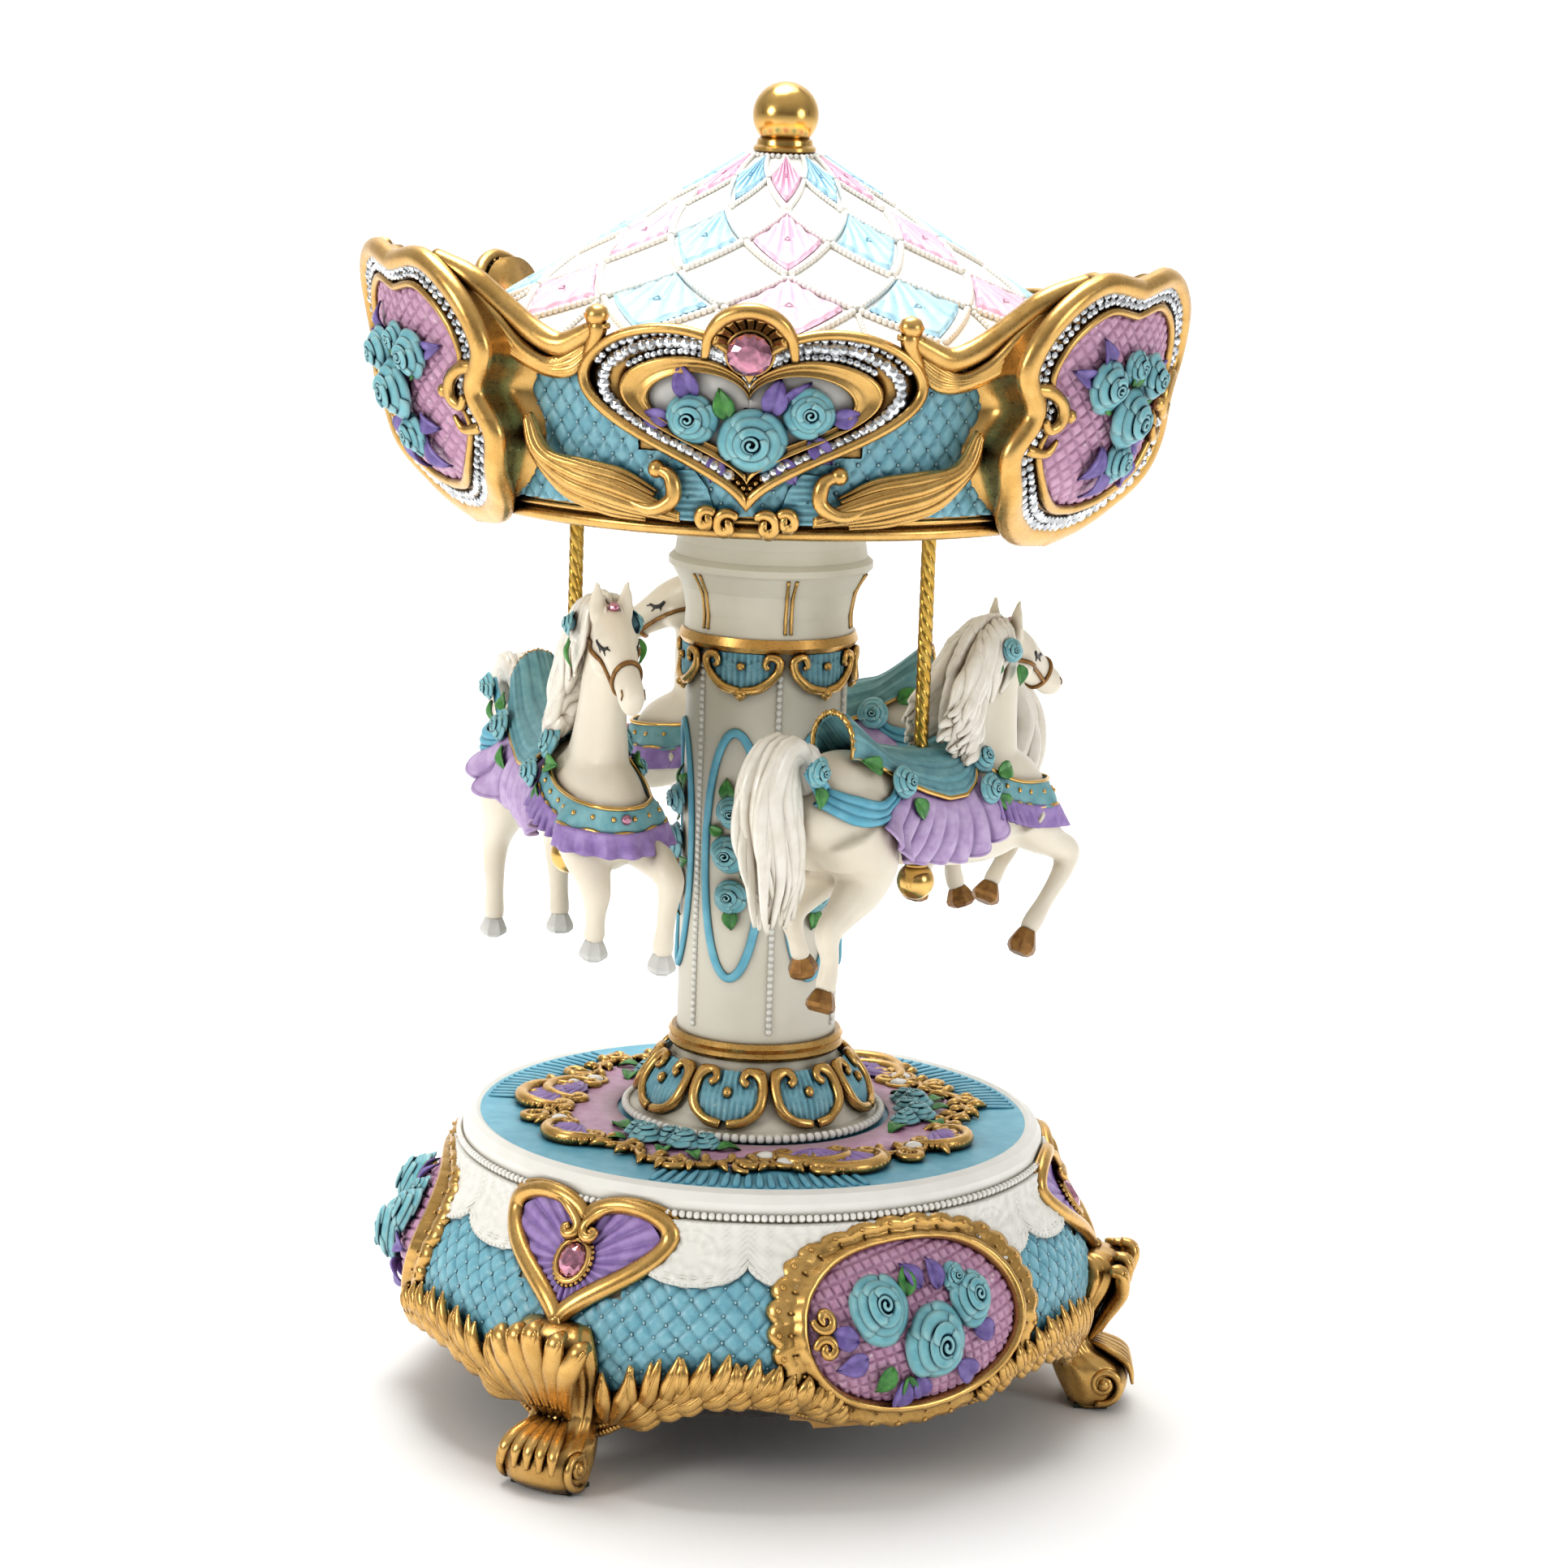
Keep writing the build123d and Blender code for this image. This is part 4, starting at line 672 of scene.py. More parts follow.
# ---- base -------------------------------------------------------------------------------------
def base_keep(angle, z):
    """Where the base wall shows its net: not behind a heart, an oval or a foot."""
    lateral = np.radians(angular(angle, FOOT_AZ)) * 62.0
    behind_heart = (np.abs(lateral) < 11.0) & (z > 36.0)
    behind_foot = (np.abs(lateral) < 8.0) & (z < 27.0)
    across = np.radians(angular(angle, OVAL_AZ)) * 64.0
    behind_oval = (across / 24.0) ** 2 + ((z - 32.3) / 16.0) ** 2 < 1.0
    return ~(behind_heart | behind_foot | behind_oval)


def base_net():
    """Where the quilted net shows on the base wall, with its folded angle."""
    sheet, beads = net(BASE, 17.6, 47.4, (4.0, 4.4), 0.42, base_keep, 0.15, 0.62, 0.34)
    lay("base_net", sheet)
    lay("base_net_beads", beads)


def under_frames(angle, z):
    """True where a heart or an oval covers the lace."""
    side = np.radians(angular(angle, FOOT_AZ)) * 60.0
    heart_here = np.abs(side) < 16.5 * np.clip((z - 29.0) / 15.0, 0, 1)
    side = np.radians(angular(angle, OVAL_AZ)) * 64.0
    return heart_here | ((side / 25.0) ** 2 + ((z - 32.3) / 17.0) ** 2 < 1)


def lace():
    """The white lace collar: a scalloped sheet with raised arcs, eyelets and a beaded hem."""
    count = 18
    columns, rows = count * 40, 40
    angle = np.arange(columns) * TAU / columns
    local = (np.degrees(angle) - 10.0 + 10.0) % 20.0 - 10.0
    x = local / 10.0
    hem = 43.9 - 4.9 * np.sqrt(np.clip(1 - (x * 0.97) ** 2, 0, 1))
    t = np.linspace(0, 1, rows)[:, None]
    top = 50.9
    z = hem[None, :] + (top - hem[None, :]) * t
    u = np.radians(local)[None, :] * 58.0
    d = np.sqrt((u / 1.0) ** 2 + (z - 44.2) ** 2)
    fan = 0.5 + 0.5 * np.cos(np.arctan2(u, z - 44.2) * 12.0)
    relief = 1.25 + 0.30 * fan * np.clip((d - 1.0) / 2, 0, 1) * np.clip((9.5 - d) / 2, 0, 1)
    relief = relief + 0.3 * np.exp(-((d - 4.4) / 0.35) ** 2) + 0.22 * np.exp(-((d - 2.3) / 0.3) ** 2)
    mesh_net = 0.16 * (np.abs(np.sin(u * 2.6 + z * 2.6)) + np.abs(np.sin(u * 2.6 - z * 2.6)))
    relief = relief + mesh_net * np.clip((d - 5.0) / 1.0, 0, 1)
    edge = np.clip(t / 0.04, 0, 1) ** 0.5
    h = -0.3 + (relief + 0.3) * edge
    h[-1, :] = -0.3
    h = np.where(under_frames(angle[None, :], z), -0.3, h)
    points = BASE.wrap(angle[None, :] + 0 * z, z, h)
    lay("lace_collar_detail", (points.reshape(-1, 3), [grid_faces(rows, columns, True)]))
    line = np.stack([angle, hem + 0.55], axis=1)
    rim = BASE.wrap(line[:, 0], line[:, 1], np.where(under_frames(angle, hem + 0.55), -0.9, 1.2))
    up = unit(rim * (1, 1, 0))
    lay("lace_collar_detail", sweep(rim, 0.5, 0.42, 6, up, closed=True))
    spots = resample(rim + up * 0.35, count * 22, True)
    turn = np.arctan2(spots[:, 0], -spots[:, 1])
    spots = spots[(np.abs(angular(turn, FOOT_AZ)) > 14.5) & (np.abs(angular(turn, OVAL_AZ)) > 21.0)]
    lay("lace_collar_detail", copies(STUD, spots, 0.3))
    inner = BASE.wrap(angle, hem + 1.7, np.where(under_frames(angle, hem + 1.7), -0.9, 1.35))
    lay("lace_collar_detail", sweep(inner, 0.26, 0.26, 5, up, closed=True))


def pearl_rows():
    """The two rows of stones and beads above the lace."""
    for z, r, size, count in ((51.75, 57.1, 0.72, 260), (49.6, 57.2, 0.46, 360)):
        a = np.arange(count) * TAU / count
        spots = np.stack([r * np.sin(a), -r * np.cos(a), np.full(count, z)], axis=1)
        lay("pearl_rows", copies(BEAD, spots, size))


def base_hearts():
    """Purple fluted hearts with gold frames, curls and a stone."""
    frame_line = heart(16.6, 52.0, 47.6, 30.6, 120)
    inner = heart(14.9, 50.9, 46.2, 32.6, 160)
    gem_at = (0.0, 40.6)

    def ribs(u, v, f):
        a = np.arctan2(v - gem_at[1], u)
        return 1.0 + 0.8 * np.abs(np.cos(a * 13)) * np.clip(f * 1.4, 0, 1) + 0 * u

    for azimuth in thirds(FOOT_AZ):
        place = BASE.front(azimuth)
        lay("base_hearts_purple", patch(inner, gem_at, 16, ribs, -0.5), place)
        lay("base_hearts_gold", sweep(lifted(frame_line, 1.3), 1.75, 1.5, 12, closed=True), place)
        edge = heart(18.2, 53.2, 49.2, 28.9, 120)
        lay("base_hearts_gold", sweep(lifted(edge, 0.7), 0.6, 0.6, 6, closed=True), place)
        for sign in (1, -1):
            curl = np.vstack([curve([(sign * 6.2, 51.6, 2.0), (sign * 3.6, 50.4, 2.4),
                                     (sign * 1.0, 47.4, 2.6),
                                     (sign * 0.9, 44.9, 2.8), (sign * 2.6, 44.3, 3.0),
                                     (sign * 3.2, 45.8, 3.0),
                                     (sign * 2.2, 46.4, 3.1)], 34)])
            lay("base_hearts_gold", sweep(curl, taper(34, 0.7, 1.15, 0.55, 0.5), None, 8), place)
            lay("base_hearts_gold", copies(BEAD, [(sign * 2.4, 45.6, 3.1)], 0.75), place)
        lay("base_hearts_gold", sweep(oval_path(gem_at, 3.15, 3.4, 1.9), 0.62, 0.62, 7, closed=True), place)
        rope = resample(oval_path(gem_at, 3.75, 4.0, 1.6), 26, True)
        lay("base_hearts_gold", copies(BEAD, rope, 0.46), place)
        tail = curve([(0, 31.6, 2.2), (0.7, 28.6, 2.0), (-0.6, 26.4, 1.8), (0.3, 24.4, 1.4)], 20)
        lay("base_hearts_gold", sweep(tail, taper(20, 1.3, 1.0, 0.3), None, 8), place)
        lay("base_gems", moved(cut_stone(), 1.0, 0, (gem_at[0], gem_at[1], 1.6)),
            squeeze(place, gem_at, 2.75))


def oval_path(centre, a, b, h, count=60):
    """The outline of an oval medallion."""
    t = np.arange(count) * TAU / count
    return np.stack([centre[0] + a * np.cos(t), centre[1] + b * np.sin(t), np.full(count, h)], axis=1)


def cut_stone(sides=12):
    """A faceted stone of radius 1 about the origin, its table at h = 0.75."""
    a = np.arange(sides) * TAU / sides
    rings = [(1.0, -0.4, 0), (1.0, 0.1, 0), (0.8, 0.45, 0.5), (0.5, 0.72, 0)]
    v = []
    for r, h, k in rings:
        v.append(np.stack([r * np.cos(a + k * TAU / sides), r * np.sin(a + k * TAU / sides),
                           np.full(sides, h)], axis=1))
    v.append(np.array([[0, 0, 0.74], [0, 0, -0.4]]))
    s = np.arange(sides)
    n = (s + 1) % sides
    tris = []
    for k in (1, 2):
        low, high = k * sides, (k + 1) * sides
        if k == 1:
            tris += [np.stack([low + s, low + n, high + s], 1), np.stack([high + s, low + n, high + n], 1)]
        else:
            tris += [np.stack([low + s, high + n, high + s], 1), np.stack([low + s, low + n, high + n], 1)]
    m = len(rings) * sides
    tris.append(np.stack([3 * sides + s, 3 * sides + n, np.full(sides, m)], 1))
    tris.append(np.stack([n, s, np.full(sides, m + 1)], 1))
    quads = np.stack([s, n, sides + n, sides + s], 1)
    return np.vstack(v), [quads, np.vstack(tris)]


def squeeze(place, centre, size):
    """Scales a unit mesh about its place in the flat frame before it is wrapped."""
    def put(p):
        q = p.copy()
        q[:, 0] = centre[0] + (p[:, 0] - centre[0]) * size
        q[:, 1] = centre[1] + (p[:, 1] - centre[1]) * size
        q[:, 2] = p[:, 2] * 1.0 + (size - 1) * (p[:, 2] - 1.2) * 0.45
        return place(q)
    return put


def flower(rose_stock, place, u, v, size, h=0.6, tilt=0.0, pick=0):
    """One rose laid on a wall."""
    turn = 97 * pick + 31 * u
    lay(rose_stock, moved(ROSES[pick % 4], size * 0.92, turn, (u, v, h), tilt), place)


def leafed(leaf_stock, place, u, v, size, turn, h=0.6, plain=False):
    """One leaf laid on a wall."""
    mesh = PLAIN_LEAF if plain else LEAF
    lay(leaf_stock, moved(mesh, size, turn, (u, v, h)), place)


def ovals():
    """Medallions: scalloped frame, quilted panel, roses and leaves."""
    inner = oval(21.6, 13.9, 32.3, 240)
    turn = np.arange(240) * TAU / 240
    lobe = 1.0 + 0.042 * np.abs(np.cos(turn * 15)) ** 0.7
    panel = oval(22.2, 14.3, 32.3, 420)
    scalloped = (oval(27.3, 18.6, 0, 240).T * lobe).T + (0, 32.3)

    def hatch(u, v, f):
        a = (u * 1.0 + v * 0.35) / 2.0
        b = (u * 0.25 - v * 1.0) / 2.0
        line = np.minimum(np.abs(a - np.round(a)), np.abs(b - np.round(b)))
        return 1.2 + 0.9 * (1 - f ** 2) - 0.5 * np.exp(-(line / 0.13) ** 2)

    for azimuth in thirds(OVAL_AZ):
        place = BASE.front(azimuth)
        lay("oval_panels_pink", patch(panel, (0, 32.3), 70, hatch, -0.5), place)
        lay("ovals_gold", ring_band(scalloped, inner, ((0, -0.6), (0, 0.9), (0.1, 2.0), (0.34, 2.3),
                                                       (0.52, 1.6), (0.66, 1.7), (0.8, 3.0), (0.94, 3.1),
                                                       (1.0, 2.2), (1.0, -0.6))), place)
        a = np.arange(30) * TAU / 30
        for size, width, height in ((0.5, 26.5, 17.9), (0.3, 24.5, 16.3)):
            spots = np.stack([width * np.cos(a), 32.3 + height * np.sin(a), np.full(30, 2.2)], axis=1)
            lay("ovals_gold", copies(BEAD, spots, size), place)
        for sign in (1, -1):
            path = spiral((-18.6, 32.3 + sign * 2.2), 2.1, 0.5, 180, sign * 1.2, 30, 2.8, 0.4)
            lay("ovals_gold", sweep(path, taper(30, 0.7, 0.8, 0.6), None, 7), place)
        for k, (u, v, size) in enumerate(((-8.6, 35.6, 5.4), (1.6, 29.6, 5.9), (10.4, 35.4, 4.4),
                                          (7.8, 38.8, 2.6))):
            flower("oval_roses_teal", place, u, v, size, 2.0, pick=k)
        for u, v, size, turn in ((-3.0, 37.0, 5.0, -15), (-6.6, 26.6, 5.0, 150), (-3.4, 24.6, 4.2, 190)):
            leafed("oval_leaves_green", place, u, v, size, turn, 2.2)
        for u, v, size, turn in ((-13.0, 31.0, 5.6, 75), (-11.4, 28.4, 5.6, 110), (-4.0, 24.0, 6.0, 175),
                                 (-1.6, 24.6, 5.4, 205), (4.0, 37.4, 5.2, 8), (6.6, 25.8, 6.0, 235),
                                 (10.0, 30.6, 5.4, 262), (0.6, 38.0, 5.0, 35)):
            leafed("oval_leaves_violet", place, u, v, size, turn, 2.0, True)


def foot_mesh(place):
    """A cabriole foot: fluted knee, narrow ankle and a rolled toe, with an acanthus crown."""
    rows = curve([(0.3, 73.0, 64.0, 7.0), (2.0, 75.0, 63.0, 7.7), (5.2, 75.8, 61.4, 8.1),
                  (8.2, 74.8, 60.2, 7.8),
                  (9.9, 72.4, 59.6, 7.1), (11.2, 69.6, 59.2, 6.6), (13.6, 67.9, 58.6, 6.4),
                  (16.8, 68.4, 58.0, 7.0),
                  (20.4, 70.0, 58.0, 8.0), (24.4, 72.4, 58.0, 8.8), (27.6, 73.6, 58.0, 8.6),
                  (29.8, 72.6, 58.0, 7.6),
                  (31.2, 69.6, 58.0, 6.0), (31.8, 64.0, 58.0, 3.0)], 80)
    a = np.arange(64) * TAU / 64
    flute = np.clip((rows[:, :1] - 8.0) / 6.0, 0.25, 1.0) * 0.055 * np.cos(a[None, :] * 14)
    across = np.sign(np.sin(a)) * np.abs(np.sin(a)) ** 0.8
    along = np.sign(np.cos(a)) * np.abs(np.cos(a)) ** 0.8
    middle, half = (rows[:, 1:2] + rows[:, 2:3]) / 2, (rows[:, 1:2] - rows[:, 2:3]) / 2
    x = rows[:, 3:4] * across * (1 + flute)
    y = -(middle + half * along * (1 + flute * 0.6))
    loft = np.stack([x, y, rows[:, :1] + 0 * x], axis=-1)
    quads = grid_faces(80, 64, True)
    n = 80 * 64
    ring, nxt = np.arange(64), (np.arange(64) + 1) % 64
    caps = np.vstack([np.stack([np.full(64, n), ring, nxt], 1),
                      np.stack([np.full(64, n + 1), n - 64 + nxt, n - 64 + ring], 1)])
    v = np.vstack([loft.reshape(-1, 3), [loft[0].mean(0), loft[-1].mean(0)]])
    lay("feet_gold", (v, [quads, caps]), place)
    for sign in (1, -1):
        side = spiral((70.6, 5.3), 4.3, 0.8, 250, 1.7, 50)
        ring = np.stack([np.full(50, sign * 7.5), -side[:, 0], side[:, 1]], axis=1)
        lay("feet_gold", sweep(ring, 0.8, 0.8, 8, (1, 0, 0)), place)
        lay("feet_gold", copies(BEAD, [(sign * 7.7, -70.6, 5.3)], 1.3), place)
    for k in (-2, -1, 0, 1, 2):
        f = k / 2
        blade = curve([(f * 3.0, -67.6, 13.0), (f * 4.2, -70.4, 18.0), (f * 6.2, -73.2, 23.6),
                       (f * 8.0, -75.2 + abs(f) * 2.0, 28.4 - abs(f) * 1.4),
                       (f * 9.0, -75.4 + abs(f) * 2.6, 31.4 - abs(f) * 2.6),
                       (f * 9.2, -73.0 + abs(f) * 2.4, 32.4 - abs(f) * 3.4)], 34)
        lay("feet_gold", sweep(blade, taper(34, 0.8, 2.5, 1.0, 0.66), taper(34, 0.6, 1.5, 0.9, 0.6), 12,
                               (0, -1, 0)), place)
        for side in (-1, 1):
            vein = blade + np.stack([np.linspace(0.2, 1.3, 34) * side, np.full(34, -0.9), np.zeros(34)],
                                    axis=1)
            lay("feet_gold", sweep(vein[4:-3], 0.42, 0.42, 6, (0, -1, 0)), place)
    for k in range(-2, 3):
        f = k / 2
        blade = curve([(f * 2.6, -67.8, 12.6), (f * 3.8, -71.4, 11.2), (f * 5.2, -75.4, 8.8),
                       (f * 5.6, -76.4, 5.0)],
                      22)
        lay("feet_gold", sweep(blade, taper(22, 0.7, 1.5, 0.4, 0.5), taper(22, 0.5, 0.8, 0.3, 0.5), 9,
                               (0, -1, 0.3)), place)


def apron_edge(angle):
    """Height of the apron's lower edge at an angle from the foot, in degrees."""
    return np.interp(angle, [0, 6, 8, 11, 15, 20, 25, 29, 34, 39, 43, 47, 52, 60],
                     [8.6, 8.8, 9.8, 12.0, 14.4, 16.6, 17.9, 18.3, 17.9, 16.8, 15.4, 14.0, 13.2, 13.0])


def apron():
    """The gold apron between a foot and an oval, with acanthus blades and a beaded lower edge."""
    rng = np.random.default_rng(5)
    for azimuth in thirds(FOOT_AZ):
        for sign in (1, -1):
            angle = np.linspace(5.0, 47.0, 90)
            low = apron_edge(angle)
            for lift, size, offset in ((1.5, 0.62, 0.7), (1.7, 0.62, 2.2)):
                path = BASE.wrap(np.radians(sign * angle), np.maximum(low + offset, 13.0), np.full(90, lift))
                path[:, 2] = low + offset
                lay("apron_gold", copies(BEAD, resample(path, 62), size), lambda p: turned(p, azimuth))
            rows = 9
            band = np.linspace(0, 1, rows)[:, None]
            z = low[None, :] + band * np.interp(angle, [5, 20, 47], [9.0, 6.0, 4.6])[None, :]
            h = 0.4 + 1.3 * np.sin(pi * np.clip(band, 0.02, 1)) ** 0.7 * np.ones_like(z)
            sheet = BASE.wrap(np.radians(sign * angle)[None, :] + 0 * z, np.maximum(z, 13.0), h)
            sheet[..., 2] = z
            if sign < 0:
                sheet = sheet[:, ::-1]
            lay("apron_gold", shell(sheet, 0.9), lambda p: turned(p, azimuth))
            for k in range(9):
                start = 6.5 + k * 4.3 + (k % 2) * 0.7
                reach = np.interp(k, [0, 2, 5, 8], [15.5, 12.5, 9.0, 6.4])
                for j, (lean, size) in enumerate(((76, 0.8), (58, 1.0), (42, 0.98), (27, 0.84), (14, 0.66))):
                    f = np.linspace(0, 1, 7)
                    swing = np.radians(lean - 16 + 34 * f)
                    step = reach * size / 6
                    u = np.concatenate([[0], np.cumsum(np.cos(swing[1:]) * step)])
                    w = np.concatenate([[0], np.cumsum(np.sin(swing[1:]) * step)])
                    aa = start + j * 0.9 + u / 1.15
                    zz = apron_edge(start + j * 0.9) + 2.6 + w
                    p = curve(np.stack([sign * aa, zz, 1.2 + 1.6 * np.sin(pi * f * 0.85) + 0.2 * (j % 2)],
                                       axis=1), 24)
                    path = BASE.wrap(np.radians(p[:, 0]), np.maximum(p[:, 1], 13.0), p[:, 2])
                    up = unit(path * (1, 1, 0))
                    wide = taper(24, 0.6, 1.9, 0.3, 0.55) * rng.uniform(0.92, 1.08)
                    lay("apron_gold", sweep(path, wide, wide * 0.62, 9, up), lambda q: turned(q, azimuth))
                    rib = path + up * wide[:, None] * 0.55
                    lay("apron_gold", sweep(rib[3:-2], 0.26, 0.3, 5, up[3:-2]), lambda q: turned(q, azimuth))


def base():
    """Every visible piece of the base."""
    base_net()
    lace()
    pearl_rows()
    base_hearts()
    ovals()
    for azimuth in thirds(FOOT_AZ):
        foot_mesh(lambda p, a=azimuth: turned(p, a))
    apron()
    build("base_net", "base", BLUE)
    build("base_net_beads", "base", BLUE)
    build("lace_collar_detail", "base", WHITE, ["lace_collar"])
    build("pearl_rows", "base", PEARL, ["pearl_strip"])
    build("base_hearts_purple", "base", PURPLE, ["base_heart_fills"])
    build("base_hearts_gold", "base", GOLD, ["base_heart_frames"])
    build("base_gems", "base", PINK_GEM, ["base_heart_gems"], False)
    build("oval_panels_pink", "base", PINK, ["oval_panels"])
    build("ovals_gold", "base", GOLD, ["oval_frames"])
    build("oval_roses_teal", "base", TEAL, ["oval_roses"])
    build("oval_leaves_green", "base", GREEN)
    build("oval_leaves_violet", "base", VIOLET)
    build("feet_gold", "base", GOLD, ["feet"])
    build("apron_gold", "base", GOLD)


# ---- canopy -----------------------------------------------------------------------------------
def ring_band(outer, inner, profile):
    """A closed moulding between two matched outlines; profile lists (fraction inwards, height)."""
    a, b = np.asarray(outer)[:, :2], np.asarray(inner)[:, :2]
    n, m = len(a), len(profile)
    v = np.stack([np.column_stack([a * (1 - f) + b * f, np.full(n, h)]) for f, h in profile], axis=1)
    quads = grid_faces(n, m, True)
    last = np.arange(m)
    seam = np.stack([(n - 1) * m + last, (n - 1) * m + (last + 1) % m, (last + 1) % m, last], axis=1)
    quads = np.vstack([quads, seam])
    area = np.sum(a[:, 0] * np.roll(a[:, 1], -1) - np.roll(a[:, 0], -1) * a[:, 1])
    return v.reshape(-1, 3), [quads[:, ::-1] if area > 0 else quads]


def canopy_keep(angle, z):
    """Where the quilted net shows on the canopy wall."""
    heart_side = np.radians(angular(angle, HEART_AZ)) * 62.5
    behind_heart = (np.abs(heart_side) < 20.0) & (z > 192.0) & (z < 206.0)
    flare_side = np.radians(angular(angle, FLARE_AZ)) * 63.0
    behind_flare = (np.abs(flare_side) < 19.0) & (z > 183.0)
    return ~(behind_heart | behind_flare)


STONE = ball(1.0, 7, 5, 0.8)


def canopy_hearts():
    """Heart panels with their frames, stones and roses."""
    ridge = heart(28.8, 214.2, 205.9, 183.8, 150)
    trough_out = heart(28.6, 214.0, 205.7, 184.0, 150)
    trough_in = heart(22.4, 209.6, 204.2, 187.4, 150)
    recess = heart(17.6, 206.6, 202.2, 190.4, 150)
    for azimuth in thirds(HEART_AZ):
        place = CANOPY.front(azimuth)
        # The grey of these panels is painted shade on what is a white recessed plate.
        lay("heart_panels_painted_shade", patch(recess * (1.08, 1) + (0, 0), (0, 200.5), 20,
                                       lambda u, v, f: 0.9 + 0.5 * (1 - f) + 0 * u, -0.4), place)
        lay("hearts_gold", sweep(lifted(ridge, 2.3), 0.95, 1.25, 10, closed=True), place)
        lay("hearts_gold", ring_band(trough_out, trough_in, ((0, -0.4), (0, 1.3), (0.5, 1.5), (1, 1.3),
                                                             (1, -0.4))), place)
        lay("hearts_gold", ring_band(trough_in, recess, ((0, -0.4), (0.0, 2.3), (0.08, 3.1), (0.22, 3.1),
                                                         (0.45, 2.1), (0.7, 1.9), (0.86, 2.5), (0.96, 2.4),
                                                         (1.0, 1.6), (1, -0.4))), place)
        for fraction, spacing, size, top_only in ((0.5, 2.0, 1.12, False), (0.16, 1.7, 0.72, True),
                                                  (0.86, 1.7, 0.66, True)):
            line = trough_out * (1 - fraction) + trough_in * fraction
            spots = resample(line, int(150 * 1.12 / spacing), True)
            spots = spots[spots[:, 1] > (207.0 if top_only else 188.6)]
            jitter = RNG.uniform(-0.14, 0.14, spots.shape)
            spots = np.column_stack([spots + jitter, np.full(len(spots), 2.0)])
            lay("heart_stones", copies(STONE, spots, size * RNG.uniform(0.88, 1.12, len(spots))), place)
        line = trough_out * 0.5 + trough_in * 0.5
        low = resample(line, 100, True)
        low = low[low[:, 1] <= 190.5]
        lay("hearts_gold", copies(STUD, np.column_stack([low, np.full(len(low), 1.9)]), 0.62), place)
        crest(place)
        heart_flowers(place)
        for sign in (1, -1):
            knob = (sign * 26.6, 215.6)
            lay("hearts_gold", copies(BEAD, [(*knob, 2.3)], 2.1), place)
            neck = curve([(sign * 26.6, 214.6, 2.2), (sign * 26.4, 212.6, 2.3), (sign * 27.6, 209.6, 2.0),
                          (sign * 29.6, 205.8, 1.6)], 20)
            lay("hearts_gold", sweep(neck, taper(20, 1.3, 1.5, 0.5, 0.2), None, 10), place)
            collar = [(sign * (26.5 - 2.1), 213.9, 2.4), (sign * (26.5 + 2.1), 213.5, 2.4)]
            lay("hearts_gold", sweep(curve(collar, 8), 0.6, 0.8, 8), place)
            for r0, c in ((2.3, (sign * 3.6, 180.6)), (1.7, (sign * 7.0, 181.4))):
                path = spiral(c, r0, 0.5, 90 + sign * 60, -sign * 1.15, 30, 2.2, 0.4)
                lay("hearts_gold", sweep(path, taper(30, 0.8, 0.9, 0.7), None, 7), place)


def crest(place):
    """A ribbed shell arch over the pink stone."""
    arch = curve([(-7.6, 209.4, 2.6), (-6.8, 213.4, 3.2), (-4.2, 216.8, 3.9), (0, 218.2, 4.2),
                  (4.2, 216.8, 3.9),
                  (6.8, 213.4, 3.2), (7.6, 209.4, 2.6)], 40)
    lay("crests_gold", sweep(arch, taper(40, 0.7, 1.5, 0.7, 0.5), None, 10), place)
    for k in range(9):
        a = radians(18 + 18 * k)
        rib = curve([(3.4 * cos(a), 211.0 + 3.2 * sin(a), 2.0), (5.0 * cos(a), 211.2 + 4.8 * sin(a), 2.6),
                     (6.4 * cos(a), 211.2 + 6.2 * sin(a), 3.6)], 10)
        lay("crests_gold", sweep(rib, np.linspace(0.55, 1.15, 10), None, 7), place)
    lay("crests_gold", patch(oval(7.2, 6.6, 211.4), (0, 211.4), 5, lambda u, v, f: 1.6 + 0 * u, -0.4), place)
    lay("crests_gold", sweep(oval_path((0, 210.6), 3.9, 3.9, 2.4), 0.55, 0.7, 7, closed=True), place)
    lay("canopy_stones", moved(cut_stone(14), 1.0, 0, (0, 210.6, 2.6)), squeeze(place, (0, 210.6), 3.7))


def heart_flowers(place):
    """Roses and leaves on one canopy heart."""
    for k, (u, v, size) in enumerate(((0.8, 195.0, 5.7), (-9.8, 198.6, 4.6), (10.2, 200.2, 4.5))):
        flower("canopy_roses_teal", place, u, v, size, 1.3, pick=k + 1)
    leafed("canopy_leaves_green", place, -3.4, 198.6, 5.4, 20, 1.4)
    for u, v, size, turn in ((-9.6, 201.6, 6.8, 22), (-13.2, 198.2, 5.6, 88), (3.6, 199.4, 6.8, -14),
                             (6.2, 200.4, 6.4, -40), (13.8, 199.2, 5.6, -84), (10.4, 196.0, 6.0, -140),
                             (5.4, 192.4, 5.4, -150), (-4.6, 192.4, 5.2, 160)):
        leafed("canopy_leaves_violet", place, u, v, size, turn, 1.2, True)


def slab(outline, centre, rings, front, back):
    """A closed solid between two walls, filling an outline."""
    o = np.asarray(outline, float)
    n = len(o)
    f = np.linspace(0, 1, rings + 1)[1:]
    c = np.asarray(centre, float)
    uv = (c + (o[None] - c) * f[:, None, None]).reshape(-1, 2)
    uv = np.vstack([uv, c[None]])
    flat = np.column_stack([uv, np.zeros(len(uv))])
    v = np.vstack([front(flat), back(flat)])
    ring = np.arange(n)
    nxt = (ring + 1) % n
    m = rings * n
    face = grid_faces(rings, n, True)
    fan = np.stack([np.full(n, m), ring, nxt], axis=1)
    k = len(uv)
    edge = (rings - 1) * n
    skirt = np.stack([edge + ring, k + edge + ring, k + edge + nxt, edge + nxt], axis=1)
    return v, [face, face[:, ::-1] + k, skirt, np.vstack([fan, fan[:, ::-1] + k])]


